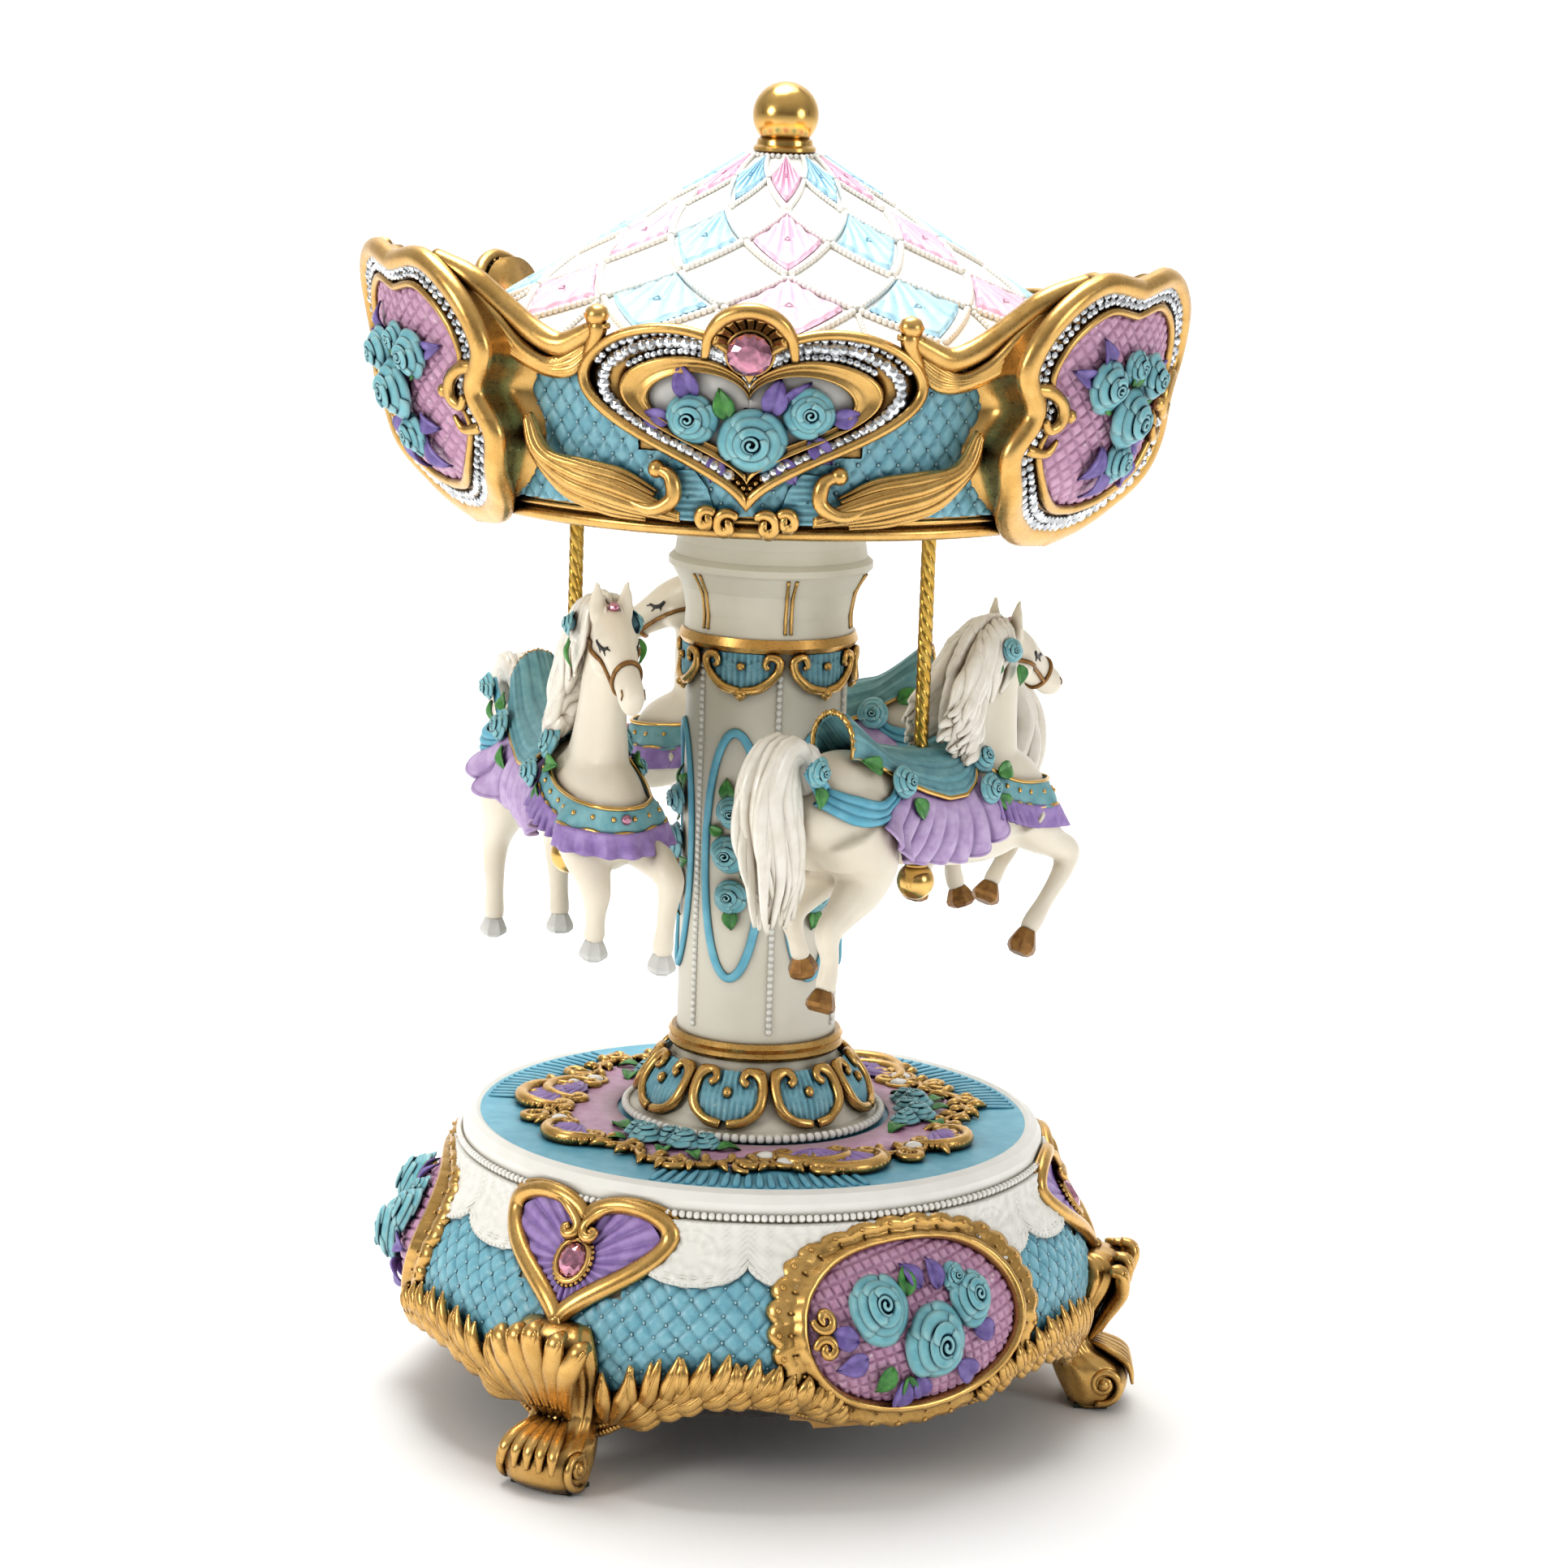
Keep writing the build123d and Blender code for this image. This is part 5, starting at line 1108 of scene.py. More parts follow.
def flares():
    """Flared cartouches: lip, stones, quilted panel and roses."""
    outline = resample(mirrored(FLARE_OUTLINE), 180, True)
    centre = np.array([0.0, 200.5])

    def inset(k):
        return centre + (outline - centre) * k

    def hatch(u, v, f):
        a = (u * 0.8 + v * 0.75) / 2.6
        b = (u * 0.62 - v * 0.85) / 2.6
        line = np.minimum(np.abs(a - np.round(a)), np.abs(b - np.round(b)))
        return 1.1 + 1.5 * (1 - f ** 2) - 0.55 * np.exp(-(line / 0.12) ** 2)

    for azimuth in thirds(FLARE_AZ):
        place = FLARE.front(azimuth)
        lay("flares_gold", slab(outline, centre, 14, place, FLARE_IN.front(azimuth)))
        lay("flares_gold", sweep(lifted(inset(0.98), 1.2), 2.0, 2.0, 14, closed=True), place)
        lay("flares_gold", ring_band(inset(0.96), inset(0.74), ((0, -0.6), (0, 0.9), (0.5, 1.1), (1, 0.9),
                                                               (1, -0.6))), place)
        lay("flares_gold", sweep(lifted(inset(0.77), 1.3), 0.8, 0.95, 8, closed=True), place)
        lay("flare_panels_pink", patch(resample(inset(0.75), 420, True), centre, 80, hatch, -0.5), place)
        for k, size in ((0.905, 0.95), (0.845, 0.72)):
            line = resample(inset(k), int(150 * k / (size * 1.9)), True)
            line = line + RNG.uniform(-0.12, 0.12, line.shape)
            spots = np.column_stack([line, np.full(len(line), 1.7)])
            lay("heart_stones", copies(STONE, spots, size * RNG.uniform(0.88, 1.12, len(spots))), place)
        for sign in (1, -1):
            hook = curve([(sign * 24.0, 205.5, 1.6), (sign * 20.6, 205.0, 2.2), (sign * 17.6, 202.6, 2.6),
                          (sign * 17.4, 199.6, 2.8), (sign * 19.6, 198.4, 2.8), (sign * 21.0, 200.2, 2.8)],
                         30)
            lay("flares_gold", sweep(hook, taper(30, 1.2, 1.3, 0.7, 0.3), None, 8), place)
            lay("flares_gold", copies(BEAD, [(sign * 15.4, 200.6, 2.6)], 1.35), place)
            low = curve([(sign * 22.6, 194.6, 1.6), (sign * 18.4, 194.0, 2.2), (sign * 16.6, 196.4, 2.4)], 16)
            lay("flares_gold", sweep(low, taper(16, 1.0, 0.9, 0.4), None, 7), place)
        for k, (u, v, size) in enumerate(((0.0, 199.6, 5.4), (-7.4, 205.6, 4.8), (6.8, 206.2, 4.6),
                                          (0.6, 208.6, 3.4), (1.6, 191.8, 3.8))):
            flower("canopy_roses_teal", place, u, v, size, 2.2 + (1.0 if k == 0 else 0.2), pick=k)
        for u, v, size, turn in ((-4.4, 201.2, 5.0, 60), (4.6, 202.0, 5.0, -50), (1.0, 204.4, 5.2, 0)):
            leafed("canopy_leaves_green", place, u, v, size, turn, 2.8)
        for u, v, size, turn in ((-10.6, 206.6, 5.4, 70), (-7.6, 209.0, 5.2, 20), (10.0, 207.0, 5.2, -75),
                                 (-3.6, 194.4, 6.4, 150), (-1.6, 191.6, 6.2, 170), (5.0, 191.4, 6.0, -140),
                                 (4.8, 195.0, 5.6, -110)):
            leafed("canopy_leaves_violet", place, u, v, size, turn, 2.0, True)


def valley_strands():
    """Gold rims, feathered strands and S-leaves between a heart and its two flares."""
    for azimuth in thirds(HEART_AZ):
        turn = lambda p, a=azimuth: turned(p, a)
        for sign in (1, -1):
            def sky(points, count, s=sign):
                p = curve(points, count)
                a = np.radians(p[:, 0]) * s
                return np.stack([p[:, 1] * np.sin(a), -p[:, 1] * np.cos(a), p[:, 2]], axis=1)
            rim = sky([(24.2, 65.2, 213.8), (28.0, 65.0, 211.4), (32.0, 65.2, 209.6), (36.5, 66.6, 211.6),
                       (41.0, 69.4, 216.0), (45.0, 73.2, 220.8), (50.0, 75.8, 223.6)], 46)
            up = unit(rim * (1, 1, 0))
            lay("canopy_scrolls_gold", sweep(rim, taper(46, 1.6, 2.3, 1.7, 0.5), None, 12, up), turn)
            for k in range(7):
                f = k / 6
                blade = sky([(25.5 + 1.5 * f, 65.0, 212.0 - 4.4 * f), (29.5, 65.0 + 0.5 * f, 208.6 - 3.6 * f),
                             (33.5 + 0.4 * f, 65.8, 206.4 - 1.4 * f), (37.4 + 0.6 * f, 68.2, 208.6 - 1.0 * f),
                             (40.5 + 1.2 * f, 71.4 + 0.6 * f, 214.0 - 3.2 * f),
                             (43.6 + 1.4 * f, 74.0, 219.0 - 5.0 * f)][:6 - (k % 2)], 34)
                up = unit(blade * (1, 1, 0))
                w = 1.45 * taper(34, 0.4, 1.0, 0.35, 0.5)
                lay("canopy_scrolls_gold", sweep(blade, w, w * 0.9, 7, up), turn)
            for k in range(9):
                f = (k - 4) / 4
                bow = 1.5 * (1 - f * f)
                leaf = sky([(36.6 + 0.3 * f, 67.0 + bow * 0.6, 196.6 - 0.6 * f),
                            (34.6 + 1.6 * f, 66.2 + bow, 190.8 + 0.2 * f),
                            (29.0 + 2.2 * f, 64.8 + bow, 186.6 - 2.6 * f),
                            (22.0 + 1.6 * f, 63.6 + bow, 184.4 - 3.6 * f),
                            (15.6 + 1.0 * f, 63.0 + bow, 182.4 - 2.6 * f),
                            (10.6, 62.6 + bow, 180.8 - 1.2 * f)][:6 - (1 if abs(f) > 0.6 else 0)], 40)
                up = unit(leaf * (1, 1, 0))
                w = 0.92 * taper(40, 0.5, 1.0, 0.35, 0.5) * (1.25 if k % 2 else 0.9)
                lay("canopy_scrolls_gold", sweep(leaf, w, w * 1.1, 8, up), turn)
            tail = sky([(20.0, 64.6, 183.6), (15.0, 64.8, 182.0), (11.6, 64.8, 184.2), (12.0, 64.8, 188.0),
                        (14.4, 64.4, 189.2)], 30)
            up = unit(tail * (1, 1, 0))
            lay("canopy_scrolls_gold", sweep(tail, taper(30, 0.5, 1.4, 1.0, 0.5), None, 9, up), turn)
            bulb = tail[-1:]
            lay("canopy_scrolls_gold", copies(BEAD, bulb, 1.7), turn)
        place = CANOPY.front(azimuth)
        for sign in (1, -1):
            box = [(5.0, 180.4), (15.0, 180.4), (15.4, 184.6), (13.4, 189.0), (9.4, 189.4), (7.0, 186.4)]
            ring = resample(np.array(box), 60, True) * (sign, 1)
            lay("canopy_ribbed_blue", patch(ring, (sign * 10.4, 184.4), 26,
                                            lambda u, v, f: 0.8 + 0.42 * np.abs(np.sin(v * 2.6)), -0.3),
                place)
    a = np.arange(240) * TAU / 240
    for r, z, w, h in ((58.9, 178.2, 1.5, 1.3), (59.9, 180.3, 0.7, 0.6)):
        ring = np.stack([r * np.sin(a), -r * np.cos(a), np.full(240, z)], axis=1)
        lay("canopy_scrolls_gold", sweep(ring, w, h, 10, (0, 0, 1), True))


def roof():
    """Fluted lozenges in a white field, crossed by rows of small beads."""
    half = pi / 12
    rows = (12.6, 29.4, 46.4)
    for column in range(12):
        name = "roof_pink" if column % 2 == 0 else "roof_blue"
        place = on_roof(2.0 + 30.0 * column)
        for radius in rows:
            reach = 7.2 if radius > 20 else 6.0
            side = half * 0.80
            k = np.linspace(0, 1, 17)[:-1]
            corners = np.array([(0, radius - reach), (side, radius), (0, radius + reach), (-side, radius)])
            ring = np.vstack([corners[i] * (1 - k[:, None]) + corners[(i + 1) % 4] * k[:, None] for i in range(4)])
            lay(name, patch(ring, (0, radius), 14, lambda u, v, f, r=radius, s=side, e=reach: np.where(
          f > 0.999, 0.25, 0.5 + 0.6 * np.abs(np.cos((u / s) * 9.0 / (0.35 + (v - r + e) / (2 * e))
                                                      )) ** 0.8), -0.2), place)
            lines = []
            cell = (8.0, 8.6) if radius > 20 else (6.4, 8.4)
            for sign in (1, -1):
                for inward, size in ((True, cell[0]), (False, cell[1])):
                    start = (sign * half, radius)
                    end = (0.0, radius - size) if inward else (0.0, radius + size)
                    n = 15
                    t = np.linspace(0, 1, n)[:-1]
                    lines.append(np.stack([start[0] * (1 - t), start[1] * (1 - t) + end[1] * t,
                                           np.full(n - 1, 0.35)],
                                          axis=1))
            spots = np.vstack(lines)
            spots = spots[(spots[:, 1] > 6.4) & (spots[:, 1] < 58.0)]
            where = place(spots)
            lay("roof_beads", copies(BEAD, where, np.where(spots[:, 1] > 20, 0.72, 0.52)))
    a = np.arange(36) * TAU / 36
    collar = np.stack([a, np.full(36, 6.3), np.full(36, 0.3)], 1)
    lay("roof_beads", copies(STUD, on_roof(0.0)(collar), 0.5))
    strip = np.stack([np.zeros(14), np.linspace(48.0, 58.2, 14), np.full(14, 0.3)], 1)
    for column in range(1, 24, 2):
        lay("roof_beads", copies(STUD, on_roof(2.0 + 15.0 * column)(strip), 0.6))


def canopy():
    """Every visible piece of the canopy and roof."""
    sheet, beads = net(CANOPY, 181.0, 210.6, (3.75, 5.0), 0.42, canopy_keep, 0.15, 0.62, 0.34)
    lay("canopy_net", sheet)
    lay("canopy_net_beads", beads)
    canopy_hearts()
    flares()
    valley_strands()
    roof()
    build("canopy_net", "carousel", BLUE)
    build("canopy_net_beads", "carousel", BLUE)
    build("hearts_gold", "carousel", GOLD, ["canopy_heart_frames"])
    build("heart_panels_painted_shade", "carousel", GREY, ["canopy_heart_panels"])
    build("heart_stones", "carousel", CRYSTAL, smooth=False)
    build("crests_gold", "carousel", GOLD, ["canopy_crests"])
    build("canopy_stones", "carousel", PINK_GEM, ["canopy_gems"], False)
    build("canopy_roses_teal", "carousel", TEAL, ["canopy_roses"])
    build("canopy_leaves_green", "carousel", GREEN)
    build("canopy_leaves_violet", "carousel", VIOLET)
    build("flares_gold", "carousel", GOLD, ["flare_bodies", "flare_rims"])
    build("flare_panels_pink", "carousel", PINK, ["flare_panels"])
    build("canopy_scrolls_gold", "carousel", GOLD)
    build("canopy_ribbed_blue", "carousel", BLUE)
    build("roof_pink", "carousel", ROOF_PINK, ["roof_lozenges_pink"])
    build("roof_blue", "carousel", ROOF_BLUE, ["roof_lozenges_blue"])
    build("roof_beads", "carousel", ROOF_WHITE)


ROOF_PINK = paint("roof_pink_paint", (244, 206, 222), (238, 192, 213), (192, 112, 152), 0.45, bump=0.02,
                  scale=300, reach=0.8, recess_shade_low=0.5, recess_shade_high=1.0)
ROOF_BLUE = paint("roof_blue_paint", (186, 224, 238), (170, 215, 233), (96, 162, 192), 0.45, bump=0.02,
                  scale=300, reach=0.8, recess_shade_low=0.5, recess_shade_high=1.0)
ROOF_WHITE = paint("roof_white", (246, 245, 240), (243, 241, 235), (214, 211, 202), 0.38, bump=0.02,
                   scale=200, reach=0.5)


# ---- column and platform ----------------------------------------------------------------------
def column():
    """Bead strips, ribbon ovals, roses, swags, ribs and shields of the column."""
    for k in range(6):
        azimuth = -21.0 + 60.0 * k
        place = SHAFT.front(azimuth, tight=True)
        lay("wreaths_blue", sweep(oval_path((0, 110.0), 5.9, 23.8, 0.25, 90), 0.85, 0.6, 8, closed=True),
            place)
        for i, v in enumerate((118.6, 110.4, 102.4)):
            flower("column_roses_teal", place, (0.3, -0.3, 0.2)[i], v, (3.3, 3.6, 3.3)[i], 0.4, pick=i + k)
        for u, v, size, turn in ((-0.6, 120.6, 4.2, 12), (1.6, 121.0, 3.8, -35), (0.4, 100.0, 4.2, 178),
                                 (1.8, 106.2, 3.2, -70), (-1.8, 114.4, 3.2, 80)):
            leafed("column_leaves_green", place, u, v, size, turn, 0.3)
        strip = SHAFT.front(azimuth + 30.0, tight=True)
        z = np.arange(76.0, 148.0, 1.32)
        lay("column_beads", copies(BEAD, SHAFT.front(azimuth + 30.0, tight=True)(
      np.stack([0 * z, z, np.full(len(z), 0.1)], 1)), 0.62))
        lay("column_beads", sweep([(0, 75.6, 0.0), (0, 112.0, 0.0), (0, 148.4, 0.0)], 0.5, 0.3, 6), strip)
        swag(SHAFT.front(-17.5 + 60.0 * k, tight=True))
        rib = CAPITAL.front(13.0 + 60.0 * k, tight=True)
        for side in (-0.55, 0.55):
            bar = curve([(side, 153.0, 0.15), (side, 156.0, 0.15), (side, 160.0, 0.15),
                         (side * 1.5, 163.6, 0.15)], 16)
            lay("capital_gold", sweep(bar, 0.34, 0.3, 6), rib)
    for k in range(8):
        shield(BELL.front(-14.0 + 45.0 * k, tight=True))
    count = 96
    a = np.arange(count) * TAU / count
    lay("column_beads", copies(BEAD, np.stack([24.9 * np.sin(a), -24.9 * np.cos(a), np.full(count, 57.5)], 1),
                               0.86))


def swag(place):
    """A ribbed blue half-round under the capital in a gold C-scroll frame."""
    ring = mirrored([(0, 142.4), (3.6, 143.2), (6.0, 145.8), (6.6, 148.9), (3.0, 149.2), (0, 149.2)])
    lay("shields_blue", patch(ring, (0, 146.6), 14,
                              lambda u, v, f: 0.7 + 0.4 * np.abs(np.cos(u * 2.6)) + 0 * v, -0.3), place)
    for sign in (1, -1):
        line = curve([(0, 142.0, 1.0), (sign * 3.4, 142.8, 1.2), (sign * 6.2, 145.4, 1.3),
                      (sign * 6.8, 148.0, 1.4),
                      (sign * 5.0, 148.8, 1.5), (sign * 4.3, 147.2, 1.5), (sign * 5.0, 146.6, 1.5)], 34)
        lay("shields_gold", sweep(line, taper(34, 0.8, 0.85, 0.5, 0.4), None, 8), place)
    lay("shields_gold", copies(BEAD, [(0, 146.8, 1.3)], 0.85), place)
    drop = curve([(0, 142.6, 1.0), (0, 141.2, 1.1), (0, 140.2, 0.9)], 8)
    lay("shields_gold", sweep(drop, (0.6, 0.9, 1.2, 1.3, 1.2, 0.9, 0.6, 0.3), None, 8), place)


def shield(place):
    """A ribbed blue shield on the bell in a gold scrolled frame."""
    ring = mirrored([(0, 59.4), (3.2, 60.2), (5.4, 62.4), (5.2, 65.4), (3.4, 67.6), (0, 67.9)])
    lay("shields_blue", patch(ring, (0, 63.8), 14,
                              lambda u, v, f: 0.8 + 0.4 * np.abs(np.cos(u * 2.6)) + 0 * v, -0.4), place)
    for sign in (1, -1):
        line = curve([(sign * 0.6, 58.8, 1.2), (sign * 4.0, 59.8, 1.3), (sign * 6.4, 62.8, 1.3),
                      (sign * 5.8, 66.6, 1.4), (sign * 3.4, 67.8, 1.6), (sign * 2.4, 66.4, 1.6),
                      (sign * 3.6, 65.6, 1.6)], 36)
        lay("shields_gold", sweep(line, taper(36, 0.9, 1.0, 0.6, 0.4), None, 8), place)
    lay("shields_gold", copies(BEAD, [(0, 64.4, 1.4)], 0.9), place)


def c_scroll(name, place, centre, radius, start, turns, width=1.0, lift=0.7):
    """One C-shaped scroll of the platform."""
    path = spiral(centre, radius, radius * 0.28, start, turns, 44, lift, 0.5)
    lay(name, sweep(path, width * taper(44, 0.6, 1.0, 0.7, 0.3), None, 8), place)
    end = path[-1]
    lay(name, copies(BEAD, [end], width * 1.0), place)


def platform():
    """Scrollwork, shells, pearls and roses on the blue disc, repeated three times round the bell."""
    inner = np.array([(26.6 * cos(b), 26.6 * sin(b)) for b in np.linspace(0, TAU, 200, endpoint=False)])
    b = np.linspace(0, TAU, 200, endpoint=False)
    edge = 37.0 + 3.0 * np.abs(np.sin(b * 4.5 + 0.4)) ** 0.8
    outer = np.stack([edge * np.cos(b), edge * np.sin(b)], axis=1)
    profile = ((0, -0.2), (0, 0.45), (0.25, 0.8), (0.6, 0.9), (1, 0.8), (1, -0.2))
    lay("platform_pink", ring_band(outer, inner, profile), on_deck(0.0))
    for azimuth in thirds(-31.0):
        scroll_third(azimuth)
    for azimuth in thirds(2.0):
        place = on_deck(azimuth)
        for k in range(-9, 10):
            a = radians(k * 2.5)
            line = [(43.4 * sin(a), -43.4 * cos(a), 0.1), (48.0 * sin(a), -48.0 * cos(a), 0.22),
                    (52.2 * sin(a), -52.2 * cos(a), 0.05)]
            lay("platform_flutes", sweep(curve(line, 8), (0.2, 0.5, 0.62, 0.7, 0.74, 0.76, 0.7, 0.5), 0.35,
                                         6),
                                   place)


def scroll_third(azimuth):
    """One third of the gold scrollwork; angles are counted from this third's rose cluster."""
    rng = np.random.default_rng(int(azimuth) + 500)

    def polar(angle, radius, h):
        a = np.radians(angle)
        return np.stack([radius * np.sin(a), -radius * np.cos(a), h + 0 * a], axis=-1)

    place = on_deck(azimuth)
    gold = "platform_gold"
    wave = np.linspace(-58, 58, 120)
    radius = 40.4 + 1.9 * np.sin(np.radians(wave * 9.0)) + 1.0 * np.sin(np.radians(wave * 22.0 + 40))
    lay(gold, sweep(polar(wave, radius, 0.6), 0.75 + 0.25 * np.sin(np.radians(wave * 25)), 0.85, 7), place)
    for k in range(34):
        a = -56 + k * 3.4 + rng.uniform(-0.6, 0.6)
        r = 40.4 + 1.9 * sin(radians(a * 9.0))
        side = 1 if k % 2 else -1
        lean = rng.uniform(-4.5, 4.5)
        blade = curve(polar(np.array([a, a + lean * 0.5, a + lean]),
                            np.array([r, r + side * 2.2, r + side * rng.uniform(3.0, 4.4)]),
                            np.array([0.6, 1.2, 0.5])), 12)
        lay(gold, sweep(blade, taper(12, 0.5, 1.0, 0.2, 0.5), None, 7), place)
        lay(gold, copies(BEAD, polar(np.array([a + 1.5]), np.array([r + side * 0.6]), 0.9), 0.62), place)
    for a, r, size, turns in ((-44, 43.0, 3.4, 1.2), (-22, 41.0, 3.0, -1.2), (12, 42.6, 3.2, 1.2),
                              (30, 41.6, 3.0, -1.2),
                              (50, 43.4, 3.2, 1.2)):
        spot = polar(np.array([a]), np.array([r]), 0)[0]
        c_scroll(gold, place, (spot[0], spot[1]), size, rng.uniform(0, 360), turns, 0.9)
    for a, r, size in ((-63.0, 40.5, 1.0), (50.0, 37.0, 0.85), (-26.0, 41.5, 0.8)):
        shell_fan(azimuth + a, r, size)
    for k, (a, r, size) in enumerate(((-14.0, 30.6, 2.9), (-6.6, 32.4, 3.6), (0.6, 30.4, 3.3),
                                      (7.6, 32.0, 3.8),
                                      (14.6, 30.8, 3.1))):
        spot = polar(np.array([a]), np.array([r]), 0)[0]
        flower("platform_roses_teal", place, spot[0], spot[1], size, 0.9, pick=k)
    for a, r, size, turn in ((-20.0, 31.0, 5.0, 80), (-11.0, 35.4, 4.4, 130), (3.0, 35.0, 4.4, 200),
                             (19.0, 32.6, 5.0, -60), (12.0, 35.6, 4.2, 220)):
        spot = polar(np.array([a]), np.array([r]), 0)[0]
        leafed("platform_leaves", place, spot[0], spot[1], size, turn + a, 0.8)


def shell_fan(azimuth, radius, size):
    """A ribbed purple shell in a gold C-scroll with a white pearl oval beside it."""
    deck = on_deck(azimuth, radius)
    place = lambda p: deck(p * (size, size, 1.0))
    a = np.radians(np.linspace(-100, 100, 60))
    rim = np.stack([7.0 * np.sin(a), -6.2 * np.cos(a) + 2.0], axis=1)
    outline = np.vstack([rim, [(3.0, 3.6), (0.0, 4.4), (-3.0, 3.6)]])
    lay("platform_purple", patch(outline, (0, 2.8), 16, lambda u, v, f: 1.1 + 1.2 * (1 - f) + 0.45 * np.abs(
  np.cos(np.arctan2(u, 3.6 - v) * 8.0)) * np.clip(f * 2, 0, 1), -0.2), place)
    line = np.column_stack([rim * 1.12 + (0, -0.2), np.full(60, 1.2)])
    lay("platform_gold", sweep(line, taper(60, 0.9, 1.5, 0.9, 0.5), None, 10), place)
    lay("platform_gold", copies(BEAD, resample(line * (1.16, 1.16, 1), 22), 0.75), place)
    for sign in (1, -1):
        c_scroll("platform_gold", place, (sign * 6.2, 3.6), 2.8, 250 if sign > 0 else -70, sign * 1.3, 1.1)
    lay("platform_pearls", moved(ball(1.0, 16, 9, 0.5), 2.4, 0, (-10.4, 3.4, 0.9)), place)
    lay("platform_gold", sweep(oval_path((-10.4, 3.4), 2.9, 2.9, 0.9, 36), 0.65, 0.65, 8, closed=True), place)


# ---- horses -----------------------------------------------------------------------------------
# Each horse is made at its pole in (a, t, z): a along its heading, t towards the axis, z up.
TRUNK = [(-33.5, 129.0, 2.5, 3.0), (-31.5, 127.6, 5.8, 7.2), (-26.0, 126.4, 8.4, 10.3),
         (-18.0, 125.2, 8.8, 10.6),
         (-8.0, 123.6, 8.8, 10.2), (2.0, 122.4, 9.0, 10.6), (12.0, 121.8, 8.8, 11.4),
         (21.0, 121.6, 8.2, 11.4),
         (28.0, 120.8, 7.0, 9.4), (32.6, 119.8, 5.0, 6.0), (34.8, 119.4, 2.2, 2.6)]
NECK = [(15.0, 124.0, 6.4, 9.0), (18.2, 131.0, 5.4, 8.6), (19.8, 138.0, 4.3, 7.2), (21.2, 145.0, 3.7, 5.8),
        (22.8, 150.6, 3.4, 4.4), (23.8, 153.4, 2.4, 2.6)]
HEAD = [(20.5, 151.8, 2.0, 2.2), (23.5, 151.4, 3.5, 4.3), (27.6, 149.2, 3.7, 4.6), (31.6, 146.8, 3.0, 3.7),
        (35.6, 144.2, 2.4, 3.0), (38.6, 142.4, 2.4, 2.7), (40.4, 141.4, 1.5, 1.7)]
LEGS = [
    [(25.0, -4.4, 119.5, 6.2), (29.5, -5.0, 115.5, 4.6), (34.6, -5.6, 112.4, 3.1), (38.4, -6.0, 110.2, 2.7),
     (37.0, -6.0, 106.2, 2.0), (32.4, -6.0, 101.4, 1.7), (28.8, -6.0, 97.8, 2.0), (27.0, -6.0, 95.8, 1.7)],
    [(24.6, 4.4, 119.5, 6.2), (29.0, 5.0, 116.4, 4.4), (33.6, 5.6, 114.6, 3.0), (37.0, 6.0, 113.2, 2.5),
     (36.0, 6.0, 109.6, 1.9), (33.0, 6.0, 106.2, 1.6), (31.2, 6.0, 104.0, 1.8), (30.2, 6.0, 102.6, 1.6)],
    [(-25.0, -4.0, 123.0, 7.2), (-21.6, -4.8, 116.6, 7.0), (-22.6, -5.2, 111.6, 4.8),
     (-27.6, -5.4, 107.6, 3.2),
     (-31.4, -5.6, 104.4, 2.5), (-30.6, -5.6, 99.6, 1.8), (-31.2, -5.6, 95.6, 2.0), (-32.0, -5.6, 93.6, 1.8)],
    [(-25.0, 4.0, 123.0, 7.2), (-21.4, 4.8, 116.6, 6.8), (-21.4, 5.2, 112.2, 4.6), (-25.6, 5.4, 108.6, 3.0),
     (-28.6, 5.6, 105.8, 2.4), (-27.2, 5.6, 101.2, 1.7), (-25.9, 5.6, 98.2, 1.9), (-25.4, 5.6, 97.0, 1.7)],
]
HIGH_LEGS = [
    [(25.0, -4.4, 119.5, 6.2), (28.0, -4.4, 114.5, 4.6), (30.0, -3.8, 110.6, 3.2), (30.4, -3.4, 108.0, 2.8),
     (29.6, -3.2, 104.6, 2.1), (28.8, -3.0, 101.6, 1.9), (28.4, -3.0, 100.0, 2.1), (28.2, -3.0, 98.6, 1.8)],
    [(24.6, 4.4, 119.5, 6.2), (29.5, 6.0, 116.4, 4.4), (35.0, 7.6, 113.8, 3.1), (38.0, 8.4, 111.6, 2.7),
     (37.0, 8.4, 107.0, 2.0), (35.4, 8.4, 101.8, 1.8), (34.6, 8.4, 98.6, 2.1), (34.2, 8.4, 97.0, 1.8)],
    [(-25.0, -4.0, 123.0, 7.2), (-26.0, -4.8, 116.6, 6.6), (-29.0, -5.2, 111.0, 4.4),
     (-32.4, -5.4, 106.0, 3.0),
     (-33.6, -5.6, 101.6, 2.4), (-33.2, -5.6, 95.0, 1.9), (-33.2, -5.6, 90.6, 2.1), (-33.4, -5.6, 89.0, 1.9)],
    [(-25.0, 4.0, 123.0, 7.2), (-23.0, 4.8, 116.6, 6.6), (-24.4, 5.2, 110.6, 4.4), (-27.0, 5.4, 105.8, 3.0),
     (-27.4, 5.6, 102.0, 2.4), (-26.0, 5.6, 96.0, 1.9), (-25.4, 5.6, 92.4, 2.1), (-25.2, 5.6, 91.0, 1.8)],
]
HIGH_HOOVES = [((28.2, -3.0, 98.6), (27.8, -3.0, 95.2)), ((34.2, 8.4, 97.0), (33.6, 8.4, 93.6)),
               ((-33.4, -5.6, 89.0), (-34.0, -5.6, 85.6)), ((-25.2, 5.6, 91.0), (-25.0, 5.6, 87.6))]
HOOVES = [((27.0, -6.0, 95.8), (24.8, -6.0, 92.0)), ((30.2, 6.0, 102.6), (28.4, 6.0, 99.6)),
          ((-32.0, -5.6, 93.6), (-33.2, -5.6, 90.2)), ((-25.4, 5.6, 97.0), (-24.6, 5.6, 93.4))]


